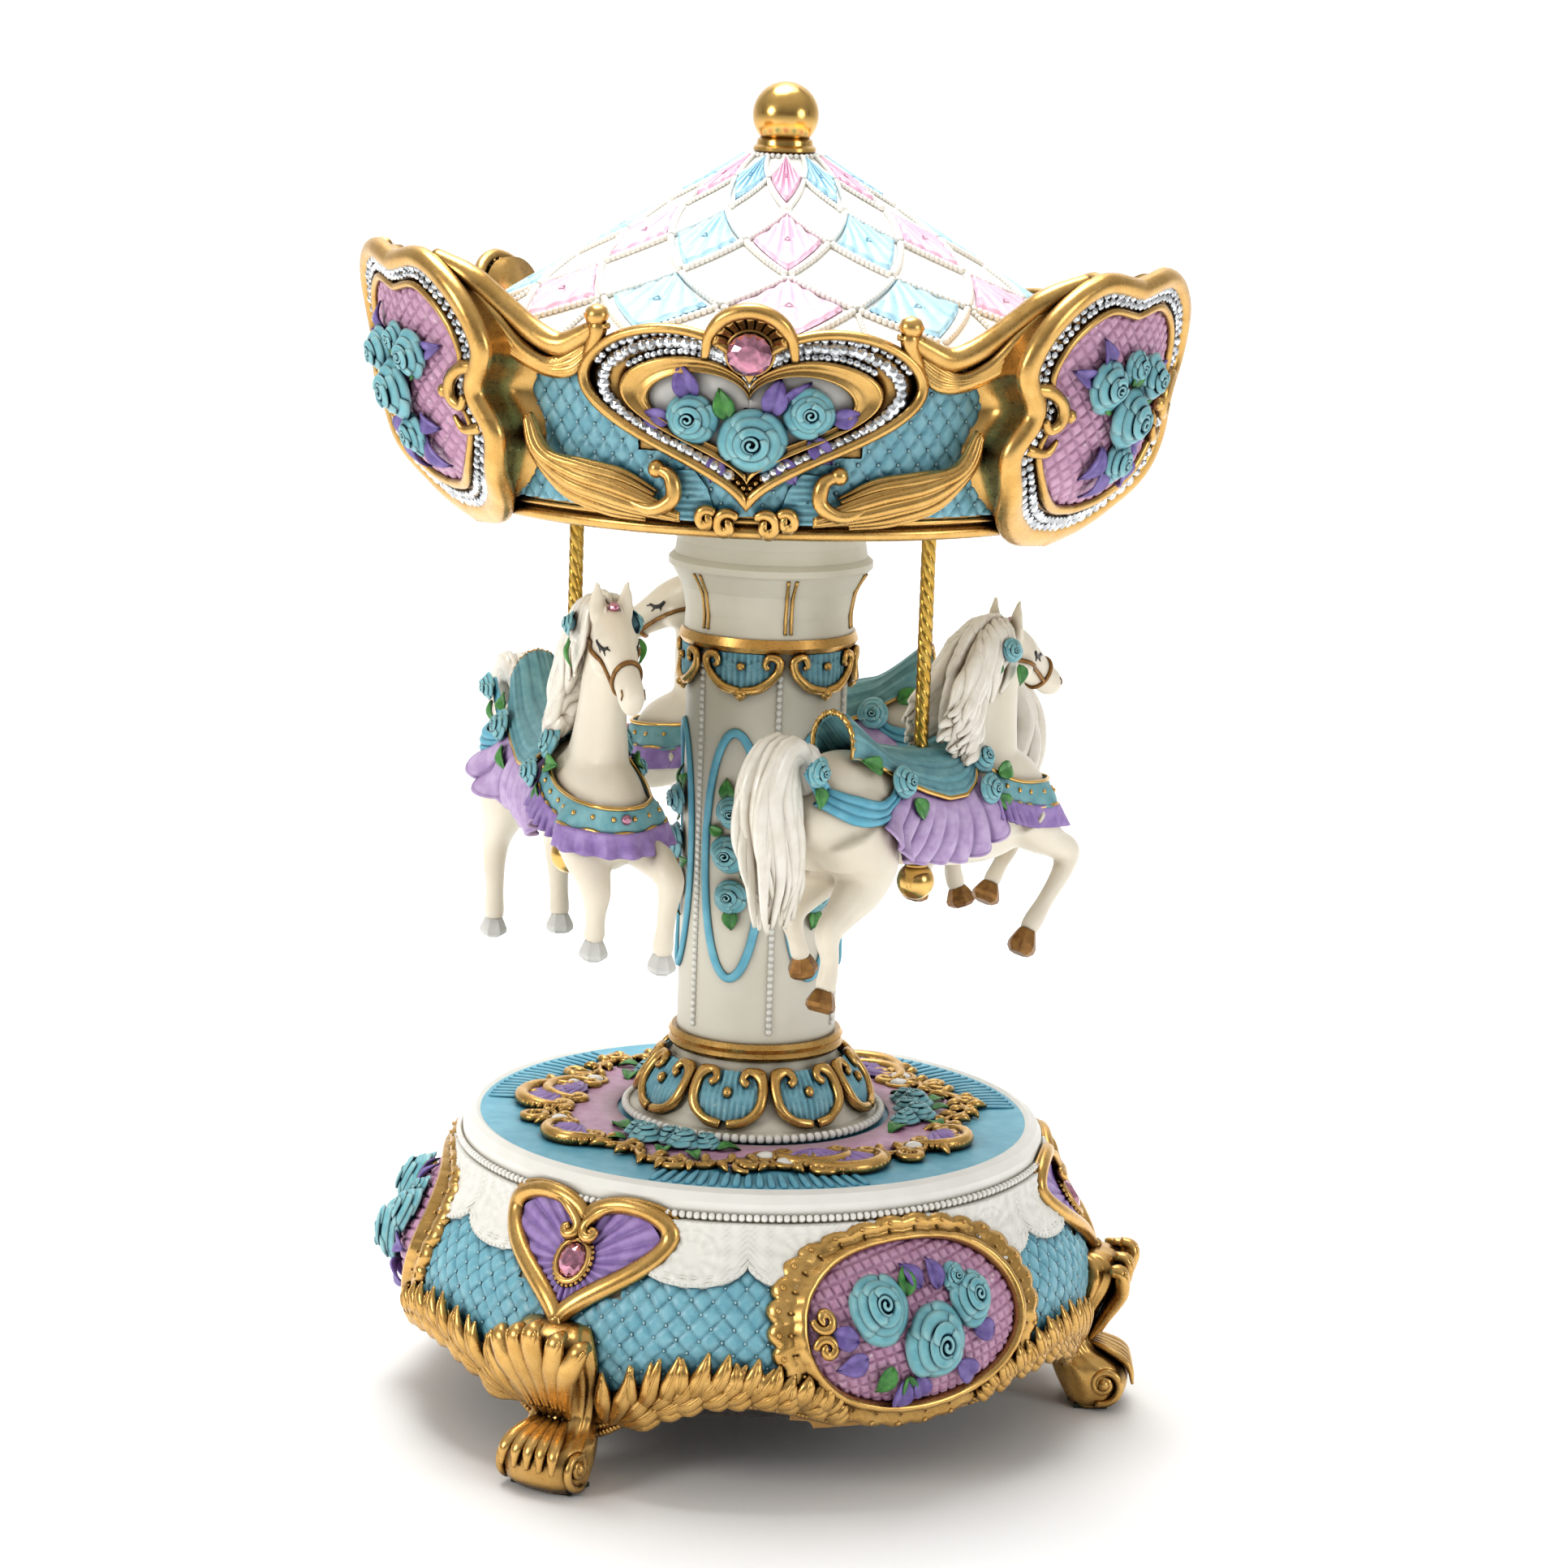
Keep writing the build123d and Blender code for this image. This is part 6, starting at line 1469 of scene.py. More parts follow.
def profile_sweep(rows, count, sides, up):
    """A loft through (a, z, half width, half height) stations in the plane t = 0."""
    p = curve(np.array(rows, float), count)
    path = np.stack([p[:, 0], np.zeros(count), p[:, 1]], axis=1)
    return sweep(path, np.maximum(p[:, 2], 0.3), np.maximum(p[:, 3], 0.3), sides, up)


def hold_high(points):
    """Lifts the head and upper neck of the horse that carries its head high."""
    rise = np.clip((points[:, 2] - 129.0) / 21.0, 0, 1)
    ahead = np.clip((points[:, 0] - 4.0) / 7.0, 0, 1)
    out = points.copy()
    out[:, 2] += 5.0 * rise * rise * (3 - 2 * rise) * ahead
    return out


def horse_body(legs):
    """One horse body: lofted parts fused by a voxel remesh and smoothed; returned in millimetres."""
    raw = Stock()
    raw.add(profile_sweep(TRUNK, 60, 40, (0, 0, 1)))
    raw.add(profile_sweep(NECK, 40, 32, (1, 0, 0)))
    raw.add(profile_sweep(HEAD, 36, 28, (0, 0, 1)))
    for leg in legs:
        p = curve(np.array(leg, float), 56)
        raw.add(sweep(p[:, :3], p[:, 3], None, 22, (0.9, 0.0, 0.44)))
    for sign in (1, -1):
        ear = curve([(24.2, sign * 2.2, 152.6), (23.8, sign * 2.7, 156.4), (24.4, sign * 2.9, 160.4)], 14)
        raw.add(sweep(ear, (1.5, 1.8, 2.0, 2.05, 2.0, 1.9, 1.75, 1.6, 1.4, 1.2, 1.0, 0.8, 0.6, 0.4),
                      np.linspace(1.3, 0.45, 14), 12, (1, 0, 0)))
        for at, r in (((28.6, sign * 2.6, 149.9), 1.5), ((26.2, sign * 2.2, 147.0), 2.6),
                      ((39.0, sign * 1.5, 142.6), 1.0),
                      ((27.0, sign * 5.0, 121.0), 4.6), ((-24.0, sign * 4.8, 126.0), 5.6)):
            v, f = ball(r, 18, 12)
            raw.add((v + np.array(at), f))
    mesh = bpy.data.meshes.new("horse_raw")
    points = np.concatenate(raw.points)
    mesh.from_pydata(points.tolist(), [], [tuple(row) for face in raw.faces for row in face.tolist()])
    thing = bpy.data.objects.new("horse_raw", mesh)
    bpy.context.scene.collection.objects.link(thing)
    remesh = thing.modifiers.new("fuse", "REMESH")
    remesh.mode = "VOXEL"
    remesh.voxel_size = 0.55
    smooth = thing.modifiers.new("smooth", "SMOOTH")
    smooth.factor = 0.6
    smooth.iterations = 9
    graph = bpy.context.evaluated_depsgraph_get()
    result = thing.evaluated_get(graph).to_mesh()
    v = np.zeros(len(result.vertices) * 3, np.float32)
    result.vertices.foreach_get("co", v)
    quads = np.array([list(face.vertices) for face in result.polygons if len(face.vertices) == 4], int)
    tris = np.array([list(face.vertices) for face in result.polygons if len(face.vertices) == 3],
                    int).reshape(-1, 3)
    v = v.reshape(-1, 3).astype(float)
    bpy.data.objects.remove(thing)
    tree = BVHTree.FromPolygons(v.tolist(), quads.tolist() + tris.tolist())
    return (v, [quads, tris]), tree


def cast(tree, origins, targets):
    """Surface points and normals where rays from the origins towards the targets first meet the body."""
    shape = origins.shape[:-1]
    points, normals = [], []
    last = None
    for o, e in zip(origins.reshape(-1, 3), targets.reshape(-1, 3)):
        hit, normal, _, _ = tree.ray_cast(Vector(o), Vector(e - o).normalized())
        if hit is None:
            if last is None:
                last = (Vector(e), Vector(o - e).normalized())
            hit, normal = Vector(e + (o - e) * 0.15), last[1]
        last = (hit, normal)
        points.append(tuple(hit))
        normals.append(tuple(normal))
    return np.array(points).reshape(*shape, 3), np.array(normals).reshape(*shape, 3)


def soften(grid, passes):
    """Average a grid of points with its neighbours a number of times."""
    g = grid.copy()
    for _ in range(passes):
        g[1:-1, 1:-1] = 0.5 * g[1:-1, 1:-1] + 0.125 * (g[2:, 1:-1] + g[:-2, 1:-1] + g[1:-1, 2:] + g[1:-1,
                                                                                                    :-2])
    return g


def side_rays(a, z, sign):
    """Rays from one flank straight towards the plane t = 0."""
    origins = np.stack([a, sign * 30.0 + 0 * a, z], axis=-1)
    return origins, np.stack([a, 0 * a, z], axis=-1)


def perch(tree, a, z, sign, lift=0.0):
    """Places a flat mesh on a flank at (a, z), v upwards and h outwards."""
    o, e = side_rays(np.array([a]), np.array([z]), sign)
    p, n = cast(tree, o, e)
    p, n = p[0], n[0]
    n = unit(n + np.array([0, sign * 0.8, 0]))
    v = unit(np.array([0, 0, 1.0]) - n * n[2])
    u = np.cross(v, n)
    return lambda q: p + n * lift + q[:, :1] * u + q[:, 1:2] * v + q[:, 2:3] * n


def saddle_parts(tree):
    """The saddle, draped on the back, and its gold edge."""
    a = np.linspace(-25.2, 8.6, 44)
    limit = np.radians(np.interp(a, [-25.2, -22, -18.5, -14.7, -8.7, -2.8, 2.2, 5.4, 7.3, 8.6],
                                 [20, 26, 36, 48, 61, 72, 72, 62, 48, 28]))
    r = np.linspace(-1, 1, 41)
    theta = r[:, None] * limit[None, :]
    direction = np.stack([0 * theta, np.sin(theta), np.cos(theta)], axis=-1)
    centre = np.stack([a[None, :] + 0 * theta, 0 * theta, BARREL_Z + 0 * theta], axis=-1)
    p, n = cast(tree, centre + direction * 34, centre)
    rise = np.clip((-14.5 - a) / 10.0, 0, 1) ** 1.4
    lift = 1.0 + 6.2 * rise[None, :] * np.cos(r[:, None] * pi / 2) ** 0.6 + 0.28 * np.cos(r[:, None] * 52)
    lift = lift + 1.2 * np.exp(-((a[None, :] - 8.0) / 2.0) ** 2) * np.cos(r[:, None] * pi / 2)
    p = soften(p, 6) + direction * lift[..., None]
    sheet = shell(p[::-1], 1.1)
    edge = np.vstack([p[0], p[1:-1, -1], p[-1, ::-1], p[-2:0:-1, 0]])
    out = unit((edge - (0, 0, BARREL_Z)) * (0, 1, 1))
    trim = sweep(edge + out * 0.3, 0.55, 0.5, 7, out, closed=True)
    return sheet, trim


def skirt_part(tree, sign):
    """One side's pleated saddle skirt and its hem."""
    k = np.linspace(0, 1, 90)
    top = curve([(-14.0, 130.0), (-11.0, 129.2), (-7.0, 127.6), (-3.0, 126.4), (2.0, 126.4), (5.4, 128.0),
                 (7.6, 130.0)], 90)
    low = curve([(-23.5, 124.5), (-21.9, 121.7), (-18.3, 118.4), (-13.3, 116.3), (-5.0, 114.9), (4.3, 114.4),
                 (10.1, 116.8), (14.1, 120.1)], 90)
    m = np.linspace(0, 1, 16)[:, None, None]
    line = top[None] * (1 - m) + low[None] * m
    p, n = cast(tree, *side_rays(line[..., 0], line[..., 1], sign))
    fold = np.abs(np.sin(k * pi * 8.0)) ** 0.8
    mm = m[..., 0]
    lift = 0.45 + 1.6 * mm + (2.3 * fold[None, :] - 0.9) * mm ** 0.8
    outward = unit(np.stack([0 * lift, sign + 0 * lift, -0.15 + 0 * lift], axis=-1))
    p = soften(p, 4) + outward * lift[..., None]
    return shell(p if sign > 0 else p[:, ::-1], 0.6), sweep(p[-1], 0.42, 0.42, 6, (0, 1, 0.1))


def sash_part(tree, sign):
    """One side's folded sash over the haunch."""
    line = curve([(-38.0, 135.6), (-35.6, 133.0), (-32.1, 129.4), (-25.6, 126.6), (-19.2, 127.0),
                  (-15.6, 129.6)], 44)
    t = unit(np.gradient(line, axis=0))
    side = np.stack([-t[:, 1], t[:, 0]], axis=1)
    w = np.linspace(-1, 1, 13)[:, None, None]
    spread = np.interp(np.linspace(0, 1, 44), [0, 0.5, 1], [1.2, 2.3, 1.3])[None, :, None]
    area = line[None] + side[None] * w * spread
    p, n = cast(tree, *side_rays(area[..., 0], area[..., 1], sign))
    fold = 0.55 + 0.55 * np.abs(np.sin((w[..., 0] + 1) * pi * 1.5)) + 0 * p[..., 0]
    p = soften(p, 4) + unit(n) * fold[..., None]
    return shell(p if sign < 0 else p[:, ::-1], 0.5)


def collar_parts(tree):
    """The breast collar with its gold edges, studs, stone and pleated fringe."""
    turn = np.radians(np.linspace(-108, 108, 120))
    middle = 122.4 + 4.6 * (np.abs(turn) / radians(100)) ** 1.6
    v = np.linspace(-1, 1, 9)[:, None]
    z = middle[None, :] + 2.5 * v
    a = 14.0 + 0 * z
    ring = np.stack([a + 34 * np.cos(turn)[None, :], 34 * np.sin(turn)[None, :] + 0 * z, z], axis=-1)
    p, n = cast(tree, ring, np.stack([a, 0 * z, z], axis=-1))
    p = soften(p, 5)
    out = unit(p - np.stack([a, 0 * z, z], axis=-1))
    band = p + out * 0.9
    pieces = {"strap": shell(band, 0.7)}
    gold = [sweep(band[-1] + out[-1] * 0.3, 0.42, 0.42, 7, (0, 0, 1))]
    wave = band[1] + out[1] * 0.45
    wave[:, 2] += 0.75 * np.abs(np.sin(np.linspace(0, 1, 120) * pi * 13)) - 0.7
    gold.append(sweep(wave, 0.4, 0.4, 7, (0, 0, 1)))
    studs = resample(band[5] + out[5] * 0.4, 16)
    gold.append(copies(BEAD, studs, 0.5))
    pieces["gold"] = gold
    pieces["stone"] = (band[5, 60] + out[5, 60] * 0.5)
    m = np.linspace(0, 1, 8)[:, None]
    fall = band[1][None] + np.array([0, 0, -1.0]) * (4.4 * m[..., None])
    pleat = (0.6 + 1.7 * m + 0.8 * m * np.sin(np.linspace(0, 1, 120)[None, :] * pi * 40))[..., None]
    pieces["fringe"] = shell((fall + out[1][None] * pleat)[::-1], 0.45)
    return pieces


def lock(path, width, rng, wave=0.5, count=26):
    """One wavy tapered lock of hair."""
    p = curve(path, count)
    t = np.linspace(0, 1, count)
    side = unit(np.cross(np.gradient(p, axis=0), np.array([0, 1.0, 0.2])))
    p = p + side * (wave * np.sin(t * TAU * rng.uniform(0.9, 1.6) + rng.uniform(0, TAU)) * t)[:, None]
    w = width * taper(count, 0.5, 1.0, 0.2, 0.4)
    a = np.arange(12) * TAU / 12
    section = np.stack([np.cos(a), np.sin(a) * (1 + 0.2 * np.cos(a * 5))], axis=1)
    return sweep(p, w, w * 0.66, up=(0.1, 1.0, 0.1), section=section)


def mane_and_tail():
    """A full mane swept back from the crest and a full curled tail."""
    rng = np.random.default_rng(21)
    hair = Stock()
    crestline = curve([(21.4, 155.6), (18.0, 155.6), (14.4, 153.6), (11.8, 150.0), (10.6, 145.4),
                       (10.2, 140.4),
                       (9.8, 136.4)], 16)
    for sign in (1, -1):
        mass = [(20.6, sign * 1.6, 153.6), (15.6, sign * 2.8, 150.8), (11.6, sign * 3.6, 146.0),
                (8.4, sign * 4.4, 141.0), (6.2, sign * 5.0, 137.6)]
        hair.add(sweep(curve(mass, 30), taper(30, 1.6, 4.2, 1.2, 0.6), taper(30, 1.2, 2.2, 1.0, 0.5), 18,
                       (0, 1, 0)))
        for i, (a, z) in enumerate(crestline):
            back = np.interp(i, [0, 4, 9, 15], [8.0, 12.5, 11.0, 8.0])
            drop = np.interp(i, [0, 4, 9, 15], [10.0, 13.0, 9.5, 4.0])
            for layer in range(4):
                out = 2.1 + layer * 0.6 + 0.16 * i
                b = back * rng.uniform(0.6, 1.0) - layer * 0.8
                d = drop * rng.uniform(0.85, 1.15) + layer * 0.5
                path = [(a + 1.0, sign * 0.5, z + 0.3), (a - 0.4, sign * (out * 0.75), z - 0.6),
                        (a - b * 0.30, sign * out, z - d * 0.38),
                        (a - b * 0.70, sign * (out + 0.9), z - d * 0.72),
                        (a - b * 1.05, sign * (out + 0.8), z - d * 1.0)]
                hair.add(lock(path, rng.uniform(1.7, 2.3), rng, 1.3))
    for i, (a, z) in enumerate(crestline):
        path = [(a + 1.2, 0.3, z - 0.4), (a - 0.4, 0.0, z + 0.4), (a - 2.6, -0.4, z - 1.4),
                (a - 4.6, 0.3, z - 5.6)]
        hair.add(lock(path, 2.0, rng, 0.4))
    for sign in (-1, 0, 1):
        path = [(21.8, sign * 0.8, 155.2), (24.6, sign * 1.3, 154.9), (27.0, sign * 1.6, 153.0),
                (28.4, sign * 1.2, 151.4)]
        hair.add(lock(path, 0.95, rng, 0.3, 18))
    spine = curve([(-31.0, 0, 130.0), (-34.6, 0, 136.0), (-39.6, 0, 137.6), (-42.2, 0, 131.6),
                   (-41.4, 0, 123.0),
                   (-39.4, 0, 115.0), (-38.8, 0, 109.0)], 40)
    hair.add(sweep(spine, np.interp(np.linspace(0, 1, 40), [0, 0.3, 0.55, 0.85, 1],
                                    [2.4, 3.6, 5.0, 4.0, 1.0]),
                   np.interp(np.linspace(0, 1, 40), [0, 0.3, 0.6, 1], [1.8, 2.2, 2.8, 0.8]), 20, (0, 1, 0)))
    for i in range(46):
        s = 1 if i % 2 else -1
        depth = rng.uniform(0.3, 1.0)
        d = rng.uniform(-1, 1)
        end = rng.uniform(-3.5, 3.5)
        path = [(-31.2 + d * 0.8, s * 1.0 * depth, 130.6 + d * 1.2),
                (-34.8 + d * 1.4, s * 2.2 * depth, 136.2 + abs(d) * 1.0),
                (-39.8 + d * 0.4, s * 2.8 * depth, 137.8 - d * 1.4),
                (-42.6 + d * 3.0, s * 3.2 * depth, 131.6),
                (-41.6 + d * 5.0, s * 3.4 * depth, 122.6),
                (-39.6 + d * 4.8, s * 3.0 * depth, 114.4 + end * 0.3),
                (-39.4 + d * 3.2, s * 2.0 * depth, 108.8 + end)]
        hair.add(lock(path, rng.uniform(1.7, 2.5), rng, 1.6, 40))
    return np.concatenate(hair.points), hair.faces


def hoof(top, toe):
    """A faceted hoof from its coronet to its toe."""
    a, b = np.array(top, float), np.array(toe, float)
    t = np.linspace(-0.12, 1.0, 6)
    path = a + (b - a) * t[:, None]
    return sweep(path, (1.7, 2.1, 2.45, 2.75, 2.7, 1.9), (1.8, 2.3, 2.7, 3.1, 3.0, 2.0), 7, (1, 0, 0.6))


def twisted_pole():
    """A round rod with four rope grooves."""
    z = np.linspace(111.0, 179.2, 330)
    a = np.arange(40) * TAU / 40
    twist = z[:, None] * 0.62
    r = 1.36 * (1 - 0.17 * np.clip(1 - np.abs(np.sin((a[None, :] + twist) * 2)) * 1.5, 0, 1))
    v = np.stack([r * np.cos(a), r * np.sin(a), z[:, None] + 0 * r], axis=-1).reshape(-1, 3)
    n = len(v)
    ring = np.arange(40)
    last = (len(z) - 1) * 40
    caps = np.vstack([np.stack([np.full(40, n), (ring + 1) % 40, ring], 1),
                      np.stack([np.full(40, n + 1), last + ring, last + (ring + 1) % 40], 1)])
    v = np.vstack([v, [(0, 0, 111.0), (0, 0, 179.2)]])
    return v, [grid_faces(len(z), 40, True), caps]


def horses():
    """The three horses in their trappings, with poles and balls."""
    body, tree = horse_body(LEGS)
    high_body, _ = horse_body(HIGH_LEGS)
    saddle, trim = saddle_parts(tree)
    hair = mane_and_tail()
    collar = collar_parts(tree)
    trappings_and_edge_highlight = {"saddles_teal": [saddle, collar["strap"]], "saddle_trim_gold": [trim] + collar["gold"],
            "skirts_lilac": [], "sashes_blue": [], "fringes_purple": [collar["fringe"]], "bridles": [],
            "horse_roses": [], "horse_leaves": [], "horse_eyes": [],
            "horse_stones": []}
    stone = collar["stone"]
    v, f = cut_stone(8)
    trappings_and_edge_highlight["horse_stones"].append((np.stack([v[:, 2] * 0.9, v[:, 0] * 1.0, v[:, 1] * 1.0], axis=1) + stone, f))
    trappings_and_edge_highlight["horse_stones"].append((np.stack([v[:, 0] * 1.1 + v[:, 2] * 0.6, v[:, 1] * 1.1,
                                           v[:, 2] + v[:, 0] * -0.4],
                                          axis=1) + np.array([25.6, 0, 155.6]), f))
    for sign in (1, -1):
        pleats, hem = skirt_part(tree, sign)
        trappings_and_edge_highlight["skirts_lilac"] += [pleats, hem]
        trappings_and_edge_highlight["sashes_blue"].append(sash_part(tree, sign))
        blooms = ((-36.6, 135.2, 2.5, 1), (-16.0, 130.6, 2.9, 2), (9.8, 131.2, 2.9, 3), (8.6, 126.6, 2.7, 0),
                  (19.6, 150.8, 2.1, 1))
        for a, z, size, pick in blooms:
            place = perch(tree, a, z, sign, 1.6 if a < 15 else 3.4)
            m = moved(ROSES[pick], size, 40 * pick + a)
            trappings_and_edge_highlight["horse_roses"].append((place(m[0]), m[1]))
        for a, z, size, turn in ((-36.4, 132.4, 4.6, 200), (-20.4, 133.0, 5.0, 60), (-13.4, 127.6, 5.0, 215),
                                 (12.6, 128.6, 5.0, -80), (11.4, 125.0, 4.4, -130), (17.8, 149.0, 3.8, 150),
                                 (20.4, 148.6, 4.0, 190)):
            place = perch(tree, a, z, sign, 1.2 if a < 15 else 3.0)
            m = moved(LEAF, size, turn if sign < 0 else -turn)
            trappings_and_edge_highlight["horse_leaves"].append((place(m[0]), m[1]))
        line = curve([(22.0, 149.2), (26.0, 148.2), (30.0, 146.2), (33.6, 143.6)], 24)
        p, n = cast(tree, *side_rays(line[:, 0], line[:, 1], sign))
        trappings_and_edge_highlight["bridles"].append(sweep(p + n * 0.15, 0.42, 0.42, 7, (0, 1, 0)))
        eye = curve([(28.4, 150.0), (29.4, 149.0), (30.6, 148.7), (31.6, 149.2)], 14)
        p, n = cast(tree, *side_rays(eye[:, 0], eye[:, 1], sign))
        trappings_and_edge_highlight["horse_eyes"].append(sweep(p + n * 0.05, taper(14, 0.3, 0.42, 0.15, 0.5), 0.25, 6, (0, 1, 0)))
        for a, z, da, dz in ((29.2, 149.0, 0.1, -1.0), (30.4, 148.7, 0.8, -1.0), (31.3, 149.0, 1.1, -0.3)):
            lash = np.array([(a, z), (a + da * 0.6, z + dz * 0.6), (a + da, z + dz)])
            p, n = cast(tree, *side_rays(lash[:, 0], lash[:, 1], sign))
            trappings_and_edge_highlight["horse_eyes"].append(sweep(curve(p + n * 0.1, 8), np.linspace(0.22, 0.08, 8), None, 5,
                                            (0, 1, 0)))
        nostril = curve([(38.8, 143.6), (39.4, 143.0), (39.2, 142.3)], 8)
        p, n = cast(tree, *side_rays(nostril[:, 0], nostril[:, 1], sign))
        trappings_and_edge_highlight["bridles"].append(sweep(p + n * 0.02, 0.22, 0.16, 6, (0, 1, 0)))
    turn = np.arange(48) * TAU / 48
    axis, across = np.array([0.82, 0.0, -0.57]), np.array([0, 1.0, 0])
    up = np.array([0.57, 0.0, 0.82])
    centre = np.array([34.6, 0.0, 144.6])
    direction = up[None] * np.cos(turn)[:, None] + across[None] * np.sin(turn)[:, None]
    p, n = cast(tree, centre + direction * 12, np.broadcast_to(centre, direction.shape))
    trappings_and_edge_highlight["bridles"].append(sweep(p + direction * 0.15, 0.45, 0.45, 7, axis, closed=True))
    pole = twisted_pole()
    knob = ball(3.55, 40, 24)
    collar_ring = sweep([(0, 0, 111.4), (0, 0, 112.2), (0, 0, 113.0)], (2.0, 2.3, 1.7), None, 24, (1, 0, 0))
    for i, azimuth in enumerate(thirds(HORSE_AZ)):
        high = i == 2
        shape = hold_high if high else np.array
        seat = lambda q, z=azimuth: turned(q + np.array([0, -POLE_CIRCLE, 0]), z)
        place = lambda q, s=shape, t=seat: t(s(q))
        lay(f"horse_body_{i + 1}", high_body if high else body, place)
        for pair in HIGH_HOOVES if high else HOOVES:
            lay("hooves_pale" if high else "hooves", hoof(*pair), seat)
        lay(f"horse_hair_{i + 1}", hair, place)
        for name, meshes in trappings_and_edge_highlight.items():
            for mesh in meshes:
                lay(name, mesh, place)
        lay("twisted_poles", pole, seat)
        lay("pole_balls", (knob[0] + (0, 0, BALL_Z), knob[1]), seat)
        lay("pole_balls", collar_ring, seat)
        build(f"horse_body_{i + 1}", "carousel", HORSE, [f"horse_{i + 1}"])
        build(f"horse_hair_{i + 1}", "carousel", HAIR)
    build("saddles_teal", "carousel", SADDLE, ["saddles"])
    build("skirts_lilac", "carousel", LILAC, ["saddle_cloths"])
    build("saddle_trim_gold", "carousel", GOLD_SMOOTH)
    build("sashes_blue", "carousel", BLUE_DECK)
    build("fringes_purple", "carousel", PURPLE)
    build("bridles", "carousel", BRONZE)
    build("horse_roses", "carousel", TEAL)
    build("horse_leaves", "carousel", GREEN)
    build("horse_eyes", "carousel", BLACK)
    build("hooves", "carousel", BRONZE, smooth=False)
    build("hooves_pale", "carousel", GREY, smooth=False)
    build("horse_stones", "carousel", PINK_GEM, smooth=False)
    build("twisted_poles", "carousel", BRASS, ["poles"])
    build("pole_balls", "carousel", GOLD_SMOOTH)


# ---- kept CAD nodes ---------------------------------------------------------------------------
def shell_paint():
    """The plinth: gold along its lower edge, white above."""
    material = IVORY.copy()
    material.name = "base_shell_paint"
    tree = material.node_tree
    shader = tree.nodes["Principled BSDF"]
    old = shader.inputs["Base Color"].links[0].from_socket
    where = tree.nodes.new("ShaderNodeTexCoord")
    split = tree.nodes.new("ShaderNodeSeparateXYZ")
    tree.links.new(where.outputs["Object"], split.inputs["Vector"])
    tree.links.new(mix(tree, ramp(tree, split.outputs["Z"], 0.0192, 0.0196), srgb(176, 130, 62), old),
                   shader.inputs["Base Color"])
    return material


def dress(node_name, material):
    """Give a kept CAD node one material."""
    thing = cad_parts[node_name]
    thing.data.materials.clear()
    thing.data.materials.append(material)
    for face in thing.data.polygons:
        face.material_index = 0


def dress_kept():
    """Materials for the CAD nodes that stay visible."""
    for name, material in (("base_shell", shell_paint()), ("foot_pads", FELT), ("platform_disc", BLUE_DECK),
                           ("platform_rim", WHITE), ("bottom_cover", BOARD), ("cover_screws", STEEL),
                           ("movement_plate", ZINC), ("movement_screws", STEEL), ("spring_housing", STEEL),
                           ("mainspring", SPRING), ("comb", STEEL), ("bearing_brackets", BRASS),
                           ("spindle_bush", NYLON), ("great_wheel", BRASS), ("drive_spindle", STEEL),
                           ("column_foot", IVORY), ("column_shaft", IVORY), ("column_rings", GOLD),
                           ("capital", IVORY), ("canopy_floor", IVORY), ("canopy_wall", GOLD),
                           ("roof_cone", ROOF_WHITE), ("finial", GOLD_SMOOTH), ("winding_arbor", STEEL),
                           ("winding_key", BRASS), ("music_cylinder", BRASS), ("cylinder_arbor", STEEL),
                           ("governor_wheel", BRASS), ("governor_worm", NYLON)):
        dress(name, material)


# ---- stage ------------------------------------------------------------------------------------
PHOTO_PITCH, PHOTO_YAW, PHOTO_ROLL = radians(11.28), radians(0.28), radians(1.95)
PHOTO_LENS, PHOTO_PLACE = 97.23, (0.0, -0.8, 0.281)
FLOOR_FRONT, FLOOR_BACK, FLOOR_SIDE = -31.0, 1.0, 32.0
WALL_BEND, WALL_TOP = 0.9, 4.0
FLOOR_GAP = 0.0002      # keeps the floor just under the feet
HORIZON, ZENITH, SKY_STRENGTH = (0.22, 0.215, 0.21, 1.0), (1.0, 1.0, 1.0, 1.0), 0.62


def area_light(name, place, target, size, power, colour=(1, 1, 1)):
    """A disc lamp at a place, aimed at a target."""
    data = bpy.data.lights.new(name, "AREA")
    data.shape = "DISK"
    data.size = size
    data.energy = power
    data.color = colour
    light = bpy.data.objects.new(name, data)
    light.location = place
    aim = Vector(target) - Vector(place)
    light.rotation_euler = aim.to_track_quat("-Z", "Y").to_euler()
    bpy.context.scene.collection.objects.link(light)


